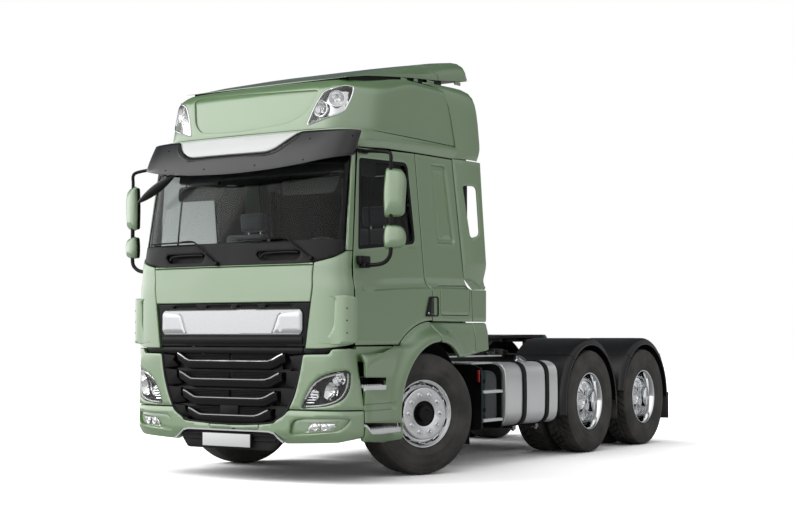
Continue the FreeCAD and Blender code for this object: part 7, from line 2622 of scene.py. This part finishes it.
# %% Side step: two side plates shaped like the tank, bright treads, and a reservoir behind them
def side_step():
    made = Shape()
    outline = [(0.485, 0.345), (1.188, 0.345), (1.188, 0.95), (0.485, 0.95)]
    for y in (0.842, 1.218):
        loop = rounded(outline, [0.01, 0.03, 0.125, 0.01], 10)
        hole = rounded([(0.6, 0.42), (1.135, 0.42), (1.135, 0.885), (0.6, 0.885)], [0.05, 0.05, 0.1, 0.05],
                       8)
        made.skin(loop, lambda x, z: Vector((x, y, z)), -0.02, SATIN_BLACK, holes=[hole] if y > 1 else (),
                  step=0.05, roll=0.003, lip=0.003)
    made.bar((0.485, 0.862, 0.345), (1.0, 1.218, 0.37), SATIN_BLACK, 0.004)
    made.bar((0.485, 0.862, 0.345), (0.52, 1.218, 0.945), SATIN_BLACK, 0.004)
    profile = [(0.0, 0.12), (0.01, 0.14), (0.03, 0.15), (0.47, 0.15), (0.49, 0.14), (0.5, 0.12),
               (0.5, 0.0001)]
    made.turned([(0.0, 0.0001)] + profile, (0.93, 1.04, 0.385), Z_AXIS, TEAL, 48, closed=False)
    for z in (0.5, 0.77):
        made.turned([(0.0, 0.1505), (0.004, 0.1535), (0.03, 0.1535), (0.034, 0.1505)], (0.93, 1.04, z),
                    Z_AXIS, SEAL, 48)
    return made


print("side step ready")

# %% Step bars
def step_bars():
    made = Shape()
    for z in (0.427, 0.692):
        made.bar((1.13, 0.862, z - 0.013), (1.196, 1.218, z + 0.013), TREAD, 0.006)
        for k in range(9):
            y = 0.885 + 0.039 * k
            made.bar((1.138, y, z + 0.011), (1.188, y + 0.01, z + 0.016), TREAD, 0.002)
    made.bar((0.52, 0.842, 0.949), (1.075, 1.238, 0.962), TREAD, 0.004)
    for row in range(9):
        for k in range(7):
            x, y = 0.575 + 0.058 * row, 0.872 + 0.054 * k + 0.027 * (row % 2)
            if y < 1.225:
                made.turned([(-0.002, 0.013), (0.005, 0.01), (0.005, 0.006), (-0.004, 0.005)],
                            (x, y, 0.962), Z_AXIS, TREAD, 8, closed=False)
    return made


print("step bars ready")

# %% Isolator tag
def isolator_tag():
    """Red battery isolator handle on the front plate of the side step."""
    made = Shape()
    made.bar((1.15, 0.8, 0.785), (1.176, 0.842, 0.9), RED_LENS, 0.006)
    made.bar((1.13, 0.822, 0.76), (1.184, 0.844, 0.92), SATIN_BLACK, 0.004)
    return made


piece("side_step_frame", side_step(), "chassis", ["step_box"])
piece("side_step_treads", step_bars(), "chassis")
piece("isolator_handle", isolator_tag(), "chassis")
print("isolator tag", triangles["side_step_frame"], "triangles")

# %% Exhaust box and battery box, on the other side of the frame
def exhaust_box():
    made = Shape()
    size = (0.485, 1.2, 0.335, 0.945, 0.07)
    bead = [(0.01, -0.14), (0.004, -0.06), (0.0, -0.022), (0.002, -0.008), (0.01, -0.001)]
    rows = [(0.84 + y, g) for y, g in bead]
    for centre in (1.03, 1.22, 1.41):
        rows += [(centre - 0.03, -0.001), (centre - 0.02, -0.007), (centre + 0.02, -0.007),
                 (centre + 0.03, -0.001)]
    rows += [(1.6 - y, g) for y, g in reversed(bead)]
    made.loft([box_ring(y, *size, grow=g, bulge=0.006) for y, g in rows], STEEL)
    for y in (0.93, 1.51):
        made.net([box_ring(y + d, *size, grow=g, bulge=0.006) for d,
                  g in ((-0.022, -0.002), (-0.02, 0.0), (0.02, 0.0), (0.022, -0.002))], SATIN_BLACK,
                 closed=True)
    pipe = [(1.0, 1.59, 0.495), (1.0, 1.64, 0.495), (1.02, 1.66, 0.48)]
    made.tube(pipe, 0.058, STEEL, 32, 6, False)
    made.tube([(p[0], p[1] + 0.002, p[2]) for p in pipe], 0.052, IRON, 32, 6, False)
    made.turned([(0.0, 0.06), (0.0, 0.066), (0.014, 0.066), (0.014, 0.06)], (1.0, 1.6, 0.495), Y_AXIS, IRON,
                36)
    return made


def battery_box():
    made = Shape()
    made.bar((0.485, 1.69, 0.365), (1.165, 2.345, 0.8), GRAIN_BLACK, 0.02)
    made.loft([box_ring(y, 0.475, 1.18, 0.64, 0.905, 0.06, grow=g, bulge=0.004) for y,
               g in ((1.69, -0.02), (1.692, -0.006), (1.7, 0.0), (2.335, 0.0), (2.343, -0.006),
                     (2.345, -0.02))], GRAIN_BLACK)
    for k in range(6):
        x = 0.6 + 0.09 * k
        made.bar((x, 1.74, 0.898), (x + 0.03, 2.295, 0.909), GRAIN_BLACK, 0.004)
    for y in (1.83, 2.2):
        made.bar((1.16, y - 0.018, 0.6), (1.186, y + 0.018, 0.72), STEEL, 0.005)
        made.bar((1.168, y - 0.03, 0.69), (1.192, y + 0.03, 0.712), STEEL, 0.005)
    return made


piece("exhaust_silencer", exhaust_box(), "chassis", ["exhaust_box"], side=-1)
piece("battery_cover", battery_box(), "chassis", side=-1)
print("tank", triangles["tank_shell"], "triangles")

# %% [markdown]
# ## Coupling, frame fittings and air system
# The coupling plate rocks on two pins, so it is a body of its own. It has a machined top with grease
# grooves, ramps that lead the trailer's plate up, and a jaw with its locking bar. The frame gets the
# bolts, air tanks, brake chambers and lines that make it read as a real chassis.

# %% Coupling plate
COUPLING_Y, PLATE_TOP = 3.355, 1.23


def coupling_plate():
    made = Shape()
    y0, y1, h = COUPLING_Y - 0.45, COUPLING_Y + 0.45, 0.475
    half = [(0.06, COUPLING_Y + 0.09), (0.17, y1 - 0.01), (h - 0.14, y1 - 0.01), (h, COUPLING_Y + 0.06),
            (h, y0 + 0.23), (h - 0.19, y0)]
    outline = rounded([*half, *mirrored(half)], [0.03, 0.04, 0.05, 0.08, 0.1, 0.12] + [0.12, 0.1, 0.08,
            0.05, 0.04, 0.03], 6)
    bore = arc(0.0, COUPLING_Y, 0.0265, 0, 345, 23)

    def top(x, y, inset=0.0):
        slope = 0.045 * ramp(y, COUPLING_Y + 0.2, y1) + 0.006 * ramp(y, y0 + 0.1, y0)
        groove = 0.0
        for r in (0.14, 0.24, 0.34):
            d = abs(math.hypot(x, y - COUPLING_Y) - r)
            groove = max(groove, 0.004 * (1 - ramp(d, 0.004, 0.01)))
        return Vector((x, y, PLATE_TOP - slope * (abs(x) > 0.1) - groove))

    made.skin(outline, top, 0.034, STEEL, CHASSIS, CHASSIS, holes=[bore], step=0.016, roll=0.006, lip=0.005)
    for s in (-1, 1):
        made.bar((s * 0.322 - 0.018, COUPLING_Y - 0.115, 1.09), (s * 0.322 + 0.018, COUPLING_Y + 0.115,
                1.196), CHASSIS, 0.006)
        ends = sorted((s * 0.341, s * 0.392))
        made.tube([(ends[0], COUPLING_Y, 1.125), (ends[1], COUPLING_Y, 1.125)], 0.0245, STEEL, 24, 0)
        made.tube([(s * 0.3, COUPLING_Y + 0.02, 1.17), (s * 0.18, COUPLING_Y + 0.3, 1.18)], 0.016, CHASSIS,
                  10, 0)
    for x in (-0.16, 0.16):
        made.bar((x - 0.012, y0 + 0.12, 1.15), (x + 0.012, COUPLING_Y + 0.16, 1.198), CHASSIS, 0.004)
    for y in (COUPLING_Y - 0.24, COUPLING_Y - 0.06):
        made.bar((-0.3, y - 0.01, 1.155), (0.3, y + 0.01, 1.198), CHASSIS, 0.004)
    made.bar((-0.06, COUPLING_Y - 0.09, 1.15), (0.06, COUPLING_Y - 0.03, 1.188), IRON, 0.01)
    made.tube([(0.04, COUPLING_Y - 0.07, 1.172), (0.22, COUPLING_Y - 0.12, 1.172),
               (0.4, COUPLING_Y - 0.2, 1.172), (0.455, COUPLING_Y - 0.215, 1.172)], 0.009, STEEL, 10, 4)
    made.tube([(0.455, COUPLING_Y - 0.245, 1.172), (0.455, COUPLING_Y - 0.185, 1.172)], 0.011, RED_LENS, 12,
              0)
    return made


piece("coupling_plate", coupling_plate(), "fifth_wheel", ["fifth_wheel"])
print("coupling plate", triangles["coupling_plate"], "triangles")

# %% Bolt rows along the rails and the coupling's base
def bolt(made, p, axis, r=0.013):
    axis = Vector(axis)
    made.turned([(-0.001, r * 1.5), (0.003, r * 1.5), (0.003, 0.0001)], p, axis, STEEL, 14, closed=False)
    made.turned([(0.003, r), (0.01, r), (0.012, r * 0.8), (0.012, 0.0001)], p, axis, STEEL, 6, closed=False)


def frame_bolts():
    made = Shape()
    rows = [(-1.1, 0.8), (-0.82, 0.86), (-0.6, 0.8), (0.42, 0.9), (0.66, 0.9), (0.7, 0.8), (1.14, 0.93),
            (1.32, 0.8), (2.46, 0.9), (2.56, 0.8), (2.66, 0.9), (2.86, 0.8), (3.16, 0.88), (3.4, 0.8),
            (3.62, 0.9), (3.76, 0.8), (4.02, 0.88), (4.2, 0.8), (4.6, 0.9), (4.76, 0.8), (4.88, 0.88)]
    for y, z in rows:
        for dy in (0.0, 0.055):
            bolt(made, (0.425, y + dy, z), (1, 0, 0))
    for y in (3.02, 3.14, 3.55, 3.67):
        for x in (0.3, 0.385):
            bolt(made, (x, y, 1.012), (0, 0, 1))
    made.bar((0.425, 2.985, 0.86), (0.437, 3.725, 0.9985), CHASSIS, 0.003)
    made.bar((0.425, 3.4, 0.745), (0.455, 4.0, 0.8), CHASSIS, 0.006)
    made.both_sides()
    return made


piece("frame_bolts", frame_bolts(), "chassis")
print("bolt rows along the rails and the coupling's base", triangles["frame_bolts"], "triangles")

# %% Air tanks between the rails, and brake chambers on the rear axles
def air_tank(made, a, b, r, finish):
    a, b = Vector(a), Vector(b)
    axis, length = (b - a).normalized(), (b - a).length
    end = [(0.0, 0.0001), (0.004, r * 0.45), (0.018, r * 0.8), (0.04, r * 0.97), (0.06, r)]
    profile = end + [(length - d, q) for d, q in reversed(end)]
    made.turned(profile, a, axis, finish, 40, closed=False)
    for d in (0.062, length - 0.062):
        made.turned([(d - 0.004, r), (d, r + 0.0025), (d + 0.004, r)], a, axis, finish, 40, closed=False)
    for d in (length * 0.3, length * 0.7):
        made.turned([(d - 0.016, r + 0.001), (d - 0.016, r + 0.004), (d + 0.016, r + 0.004),
                     (d + 0.016, r + 0.001)], a, axis, STEEL, 40)


def air_system():
    made = Shape()
    air_tank(made, (-0.34, 1.36, 0.62), (0.34, 1.36, 0.62), 0.095, SATIN_BLACK)
    air_tank(made, (-0.34, 2.28, 0.64), (0.34, 2.28, 0.64), 0.105, SATIN_BLACK)
    air_tank(made, (-0.25, 1.62, 0.6), (0.25, 1.62, 0.6), 0.09, SATIN_BLACK)
    for y in (1.36, 1.62, 2.28):
        for x in (-0.2, 0.2):
            made.bar((x - 0.02, y - 0.012, 0.68), (x + 0.02, y + 0.012, 0.8), CHASSIS, 0.003)
    for axle in AXLES:
        for s in (-1, 1):
            base = Vector((s * 0.3, axle - 0.13, 0.66))
            profile = [(0.0, 0.0001), (0.0, 0.05), (0.02, 0.075), (0.07, 0.082), (0.074, 0.09),
                       (0.086, 0.09), (0.09, 0.082), (0.15, 0.078), (0.17, 0.06), (0.17, 0.0001)]
            made.turned(profile, base, (0, -1, 0.25), IRON, 32, closed=False)
    return made


print("air tanks between the rails ready")

# %% Frame lines
def frame_lines():
    """Bundled hoses and cables clipped inside the rails, and up to the coupling deck."""
    made = Shape()
    for k, r in enumerate((0.011, 0.009, 0.009, 0.007)):
        z = 0.975 - 0.022 * k
        path = [(0.36 - 0.012 * k, y, z + 0.008 * math.sin(y * 3 + k)) for y in np.linspace(0.75, 4.8, 28)]
        made.tube(path, r, SEAL if k % 2 else SATIN_BLACK, 8, 3)
    for y in np.linspace(1.0, 4.7, 12):
        made.bar((0.3, y - 0.01, 0.88), (0.385, y + 0.01, 0.992), SATIN_BLACK, 0.004)
    for k in range(4):
        x = -0.16 + 0.1 * k
        made.tube([(x, 0.9, 1.0), (x, 0.93, 1.03), (x + 0.02, 1.1, 1.02), (x + 0.03, 1.3, 1.018),
                   (x + 0.03, 2.7, 1.018)], 0.009, SEAL, 8, 6)
    for y in (1.35, 1.8, 2.25, 2.65):
        made.bar((-0.18, y - 0.012, 1.006), (0.2, y + 0.012, 1.032), SATIN_BLACK, 0.004)
    for x, finish in ((-0.1, RED_LENS), (0.02, AMBER_LENS)):
        made.disc((x, 1.02, 1.008), Z_AXIS, 0.03, 0.03, SATIN_BLACK, 24, 0.004)
        made.disc((x, 1.02, 1.036), Z_AXIS, 0.024, 0.014, finish, 24, 0.004)
    return made


piece("air_system", air_system(), "chassis")
piece("frame_lines", frame_lines(), "chassis")
print("frame lines", triangles["air_system"], "triangles")

# %% Rear end: cross beam, tail lamps and a blank plate
def rear_end():
    made = Shape()
    made.bar((-0.42, 4.915, 0.765), (0.42, 4.95, 0.975), CHASSIS, 0.006)
    for s in (-1, 1):
        lo, hi = sorted((s * 0.2, s * 0.395))
        made.bar((lo, 4.944, 0.8), (hi, 4.978, 0.9), SATIN_BLACK, 0.006)
        for k, finish in enumerate((RED_LENS, AMBER_LENS, RED_LENS)):
            x0 = lo + 0.01 + 0.059 * k
            made.bar((x0, 4.972, 0.808), (x0 + 0.054, 4.986, 0.892), finish, 0.004)
    made.bar((-0.13, 4.95, 0.8), (0.13, 4.96, 0.88), BLANK, 0.003)
    for x in (-0.1, 0.1):
        bolt(made, (x, 4.95, 0.935), (0, 1, 0), 0.01)
    return made


piece("rear_end", rear_end(), "chassis")
print("coupling", triangles["coupling_plate"], "triangles")

# %% [markdown]
# ## Inside the cab
# Through the screen one sees the top of the dashboard, the wheel, two seats and, behind them, the
# bunk. The walls are dark, so the glass reads dark too.

# %% Dashboard
DASH = [(-0.02, 1.795), (0.05, 1.822), (0.15, 1.828), (0.225, 1.818), (0.262, 1.784), (0.25, 1.7),
        (0.205, 1.61), (0.15, 1.572), (0.01, 1.57)]


def dash_ring(x):
    """Section of the fascia at x: it bulges into a hood in front of the driver."""
    edge = cab_face(CAB_PLAN.s_of(x), 1.8, 0.115).y
    hood = ramp(x, 0.3, 0.44) * (1 - ramp(x, 0.84, 0.97))
    centre = ramp(x, -0.24, -0.12) * (1 - ramp(x, 0.26, 0.36))
    ring = []
    for d, z in rounded(DASH, 0.03, 3):
        high = ramp(z, 1.7, 1.8)
        ring.append(Vector((x, edge + d + 0.03 * hood * high + 0.05 * centre,
                            z + 0.04 * hood * high * ramp(d, 0.05, 0.17))))
    return ring


print("dashboard ready")

# %% Dashboard
def dashboard():
    made = Shape()
    made.loft([dash_ring(x) for x in np.linspace(-0.985, 0.985, 70)], TRIM_DARK)
    back = -0.955
    for x0, x1, z0, z1 in ((-0.1, 0.22, 1.7, 1.79), (-0.1, 0.22, 1.61, 1.685)):
        made.bar((x0, back, z0), (x1, back + 0.012, z1), GLOSS_BLACK, 0.006)
    for x in (-0.16, 0.26, -0.86, 0.9):
        for k in range(4):
            made.bar((x - 0.045, back - 0.01, 1.712 + 0.018 * k),
                     (x + 0.045, back + 0.008, 1.722 + 0.018 * k), SATIN_BLACK, 0.002)
    made.bar((-0.78, back - 0.03, 1.62), (-0.26, back - 0.008, 1.76), TRIM_DARK, 0.01)
    made.disc((0.56, back - 0.04, 1.79), (0, 1, 0.35), 0.07, 0.05, GLOSS_BLACK, 40, 0.004)
    made.disc((0.72, back - 0.04, 1.79), (0, 1, 0.35), 0.07, 0.05, GLOSS_BLACK, 40, 0.004)
    centre, axis = Vector((0.64, -0.77, 1.92)), Vector((0, 0.55, 0.83)).normalized()
    side, up = X_AXIS, axis.cross(X_AXIS)
    ring = [centre + (side * math.cos(t) + up * math.sin(t)) * 0.225 for t in np.linspace(0, math.tau, 49)]
    made.tube(ring, 0.0145, TRIM_DARK, 14, 0, False)
    for t in (0.35, math.pi - 0.35, -0.75, math.pi + 0.75):
        out = side * math.cos(t) + up * math.sin(t)
        made.tube([centre + out * 0.05 - axis * 0.02, centre + out * 0.14 - axis * 0.012,
                   centre + out * 0.222], 0.012, SATIN_BLACK, 10, 4)
    made.turned([(-0.035, 0.0001), (-0.03, 0.06), (0.004, 0.078), (0.016, 0.066), (0.02, 0.0001)], centre,
                axis, TRIM_DARK, 40, closed=False)
    made.tube([centre - axis * 0.03, (0.64, -0.9, 1.79), (0.64, -1.005, 1.69)], 0.036, SATIN_BLACK, 16, 4)
    for s in (-1, 1):
        made.tube([centre - axis * 0.05, centre - axis * 0.055 + side * (s * 0.16) + up * 0.02], 0.008,
                  SATIN_BLACK, 10, 0)
    return made


piece("dash_fascia", dashboard(), "cab", ["dashboard"])
print("dashboard", triangles["dash_fascia"], "triangles")

# %% Header shelf, blinds and inner linings
def header_shelf():
    """Overhead console: a shelf right across, with three lockers and two reading lamps."""
    made = Shape()
    rows = []
    for x in np.linspace(-0.93, 0.93, 40):
        edge = -1.035 + 0.05 * (x / 0.93) ** 2
        section = [(edge, 2.6), (edge + 0.02, 2.585), (edge + 0.42, 2.585), (edge + 0.45, 2.61),
                   (edge + 0.45, 2.73), (edge + 0.03, 2.74)]
        rows.append([Vector((x, y, z)) for y, z in rounded(section, 0.02, 3)])
    made.loft(rows, TRIM_DARK)
    for x0, x1 in ((-0.84, -0.34), (-0.3, 0.3), (0.34, 0.84)):
        made.bar((x0, -0.605, 2.615), (x1, -0.592, 2.715), SATIN_BLACK, 0.006)
    for s in (-1, 1):
        made.disc((s * 0.55, -0.7, 2.588), (0, 0, -1), 0.045, 0.012, PANEL_WHITE, 28, 0.003)
    return made


print("header shelf ready")

# %% Sun blinds
def sun_blinds():
    """Two folding blinds hung from the shelf on short rods."""
    made = Shape()
    for x0, x1 in ((-0.88, -0.38), (0.3, 0.86)):
        outline = rounded([(x0, 2.42), (x1, 2.42), (x1 + 0.03, 2.56), (x0 - 0.03, 2.56)], 0.045, 5)
        made.skin(outline, lambda x, z: Vector((x, -1.055 + 0.3 * (z - 2.42), z)), 0.01, TRIM_LIGHT,
                  step=0.04)
        for x in (x0 + 0.06, x1 - 0.06):
            made.tube([(x, -1.012, 2.555), (x, -1.0, 2.592)], 0.006, SATIN_BLACK, 8, 0)
    return made


def linings():
    """Floor mats, tunnel cover and the lining of the rear wall."""
    made = Shape()
    made.bar((-0.96, 0.632, 1.8), (0.96, 0.642, 2.72), TRIM_LIGHT, 0.006)
    for k in range(5):
        x = -0.8 + 0.32 * k
        made.bar((x, 0.622, 1.9), (x + 0.28, 0.634, 2.6), TRIM_DARK, 0.008)
    made.bar((-0.425, -1.05, 1.512), (0.425, 0.06, 1.522), CARPET, 0.004)
    for s in (-1, 1):
        lo, hi = sorted((s * 0.44, s * 1.04))
        made.bar((lo, -1.02, 1.262), (hi, 0.05, 1.272), CARPET, 0.004)
    made.tube([(0.18, -0.52, 1.52), (0.18, -0.5, 1.62), (0.2, -0.47, 1.74)], 0.012, CHROME, 10, 4)
    made.disc((0.2, -0.47, 1.735), (0.1, 0.1, 1), 0.026, 0.06, TRIM_DARK, 24, 0.012)
    return made


piece("header_shelf", header_shelf(), "cab")
piece("sun_blinds", sun_blinds(), "cab")
piece("cab_linings", linings(), "cab")
print("sun blinds", triangles["header_shelf"], "triangles")

# %% [markdown]
# ## Seats and bunk
# A cushion starts as a grid of points wrapped round a soft box: the corners are eased, the faces are
# crowned, and the sides draw in. Sewn channels are shallow valleys across the top.

# %% Cushions
def cushion(name, size, crown, channels, finish, centre, lean, replaces=(), pinch=0.012):
    """Closed padded form of a given size; channels are places along its length where it is sewn down."""
    w, l, t = (v / 2 for v in size)
    made = Shape()
    n, m = 26, 34
    rings = []
    for j in range(m + 1):
        v = -1 + 2 * j / m
        end = (1 - abs(v) ** 7) ** (1 / 3.2)
        ring = []
        for i in range(n * 2):
            a = math.tau * i / (n * 2)
            c, s = math.cos(a), math.sin(a)
            k = (abs(c) ** 5 + abs(s) ** 5) ** (-1 / 5)
            x, z = w * c * k * (0.9 + 0.1 * end), t * s * k * end
            face = max(0.0, 1 - (abs(x) / w) ** 3) * max(0.0, 1 - abs(v) ** 4)
            z += crown * face * (1 if s > 0 else 0.25) * (1 if s > 0 else -1)
            for place in channels:
                dip = math.exp(-((v - place) * l / 0.012) ** 2)
                z -= pinch * dip * face * (1 if s > 0 else 0)
            x *= 1 - 0.02 * math.sin(math.pi * (v + 1) / 2) * (abs(s) < 0.5)
            ring.append(Vector((x, l * v, z)))
        rings.append(ring)
    made.loft(rings, finish)
    piping = [r[i] for r in rings for i in (2,)]
    made.tube([p * 1.002 for p in piping[1:-1]], 0.004, TRIM_DARK, 6, 1)
    made.tube([Vector((-p.x, p.y, p.z)) * 1.002 for p in piping[1:-1]], 0.004, TRIM_DARK, 6, 1)
    made.turn_about(Vector((0, 0, 0)), "X", lean)
    for v in made.bm.verts:
        v.co += Vector(centre)
    obj = piece(name, made, "cab", replaces)
    return obj


print("cushions ready")

# %% Seat frame
def seat_frame(s):
    made = Shape()
    x = s * 0.7
    rings = []
    for z, w, d in ((1.275, 0.19, 0.2), (1.29, 0.195, 0.205), (1.34, 0.165, 0.18), (1.37, 0.16, 0.175),
                    (1.385, 0.175, 0.19), (1.42, 0.15, 0.165), (1.45, 0.2, 0.215), (1.462, 0.205, 0.22)):
        ring = rounded([(x - w, -0.49 - d), (x + w, -0.49 - d), (x + w, -0.49 + d), (x - w, -0.49 + d)],
                       0.03, 3)
        rings.append([Vector((px, py, z)) for px, py in ring])
    made.loft(rings, SATIN_BLACK)
    shell = rounded([(x - 0.2, 1.6), (x + 0.2, 1.6), (x + 0.215, 2.1), (x + 0.13, 2.2), (x - 0.13, 2.2),
                     (x - 0.215, 2.1)], 0.05, 5)

    def rear_of_seat(a, z):
        return Vector((a, -0.232 + 0.135 * (z - 1.6) + 0.08 * ((a - x) / 0.2) ** 2 * -0.3, z))

    made.skin(shell, rear_of_seat, 0.012, SATIN_BLACK, step=0.04)
    for k in (-1, 1):
        made.tube([(x + k * 0.07, -0.178, 2.16), (x + k * 0.07, -0.166, 2.3)], 0.006, CHROME, 10, 0)
    made.tube([(x - s * 0.235, -0.285, 1.82), (x - s * 0.235, -0.34, 1.84), (x - s * 0.235, -0.56, 1.835)],
              0.024, TRIM_DARK, 14, 6)
    return made


for name, s in (("left", 1), ("right", -1)):
    replaced = ["seats"] if s > 0 else ()
    piece("seat_frame_" + name, seat_frame(s), "cab", replaced)
    x = s * 0.7
    cushion(f"seat_cushion_{name}", (0.47, 0.52, 0.11), 0.018, (-0.35, 0.05, 0.45), SEAT_CLOTH,
            (x, -0.505, 1.525), 0.06)
    cushion(f"seat_back_{name}", (0.45, 0.56, 0.105), 0.016, (-0.62, -0.25, 0.15, 0.55), SEAT_CLOTH,
            (x, -0.268, 1.885), math.radians(97))
    cushion(f"headrest_{name}", (0.27, 0.17, 0.09), 0.01, (), SEAT_CLOTH, (x, -0.195, 2.285),
            math.radians(97))

cushion("bunk_mattress", (1.98, 0.52, 0.125), 0.014, (-0.5, 0.0, 0.5), CURTAIN, (0, 0.365, 1.706), 0.0)
cushion("bunk_pillow", (0.5, 0.3, 0.095), 0.022, (), SEAT_CLOTH, (-0.68, 0.4, 1.815), 0.0)
print("seat frame", triangles["seat_frame_left"], "triangles")

# %% Bunk base
def bunk_base():
    made = Shape()
    made.bar((-1.045, 0.085, 1.512), (1.045, 0.64, 1.636), TRIM_DARK, 0.015)
    for x0, x1 in ((-0.98, -0.36), (-0.32, 0.32), (0.36, 0.98)):
        made.bar((x0, 0.078, 1.53), (x1, 0.09, 1.62), SATIN_BLACK, 0.008)
    return made


piece("bunk_base", bunk_base(), "cab", ["bunk"])
print("cabin done")

# %% [markdown]
# ## Parts that keep their working shape
# Rails, axles and other structural parts already have their true shape. They only need a finish,
# so the material slot of each is filled and the mesh is left alone.

# %% Finish the kept parts
KEPT = {"frame_rails": CHASSIS, "crossmembers": CHASSIS, "axles": IRON, "suspension": CHASSIS,
        "powertrain": IRON, "arch_liners": GRAIN_BLACK, "coupling_base": CHASSIS, "deck_plate": TREAD,
        "cab_floor": TRIM_DARK, "knuckle_left": IRON, "knuckle_right": IRON, "windscreen": SCREEN_GLASS,
        "door_glass_left": DOOR_GLASS, "door_glass_right": DOOR_GLASS}
for name, node in frame["nodes"].items():
    if name in KEPT:
        node.data.materials.clear()
        node.data.materials.append(KEPT[name])
print("kept", len(KEPT), "parts with their own shape")

# %% [markdown]
# ## Closing measurements
# Both boxes, the working frame's and the finished model's, are printed side by side. The
# finished model has to be as large as its working frame, no more.

# %% Sizes and finish
print("pieces", len(triangles), "triangles", sum(triangles.values()))
print("largest", sorted(((n, name) for name, n in triangles.items()), reverse=True)[:6])
visual_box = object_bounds()
sizes = {"cad": [list(v) for v in cad_box], "visual": [list(v) for v in visual_box]}
for lo_cad, lo_vis in zip(sizes["cad"], sizes["visual"]):
    print([round(v, 3) for v in lo_cad], [round(v, 3) for v in lo_vis])
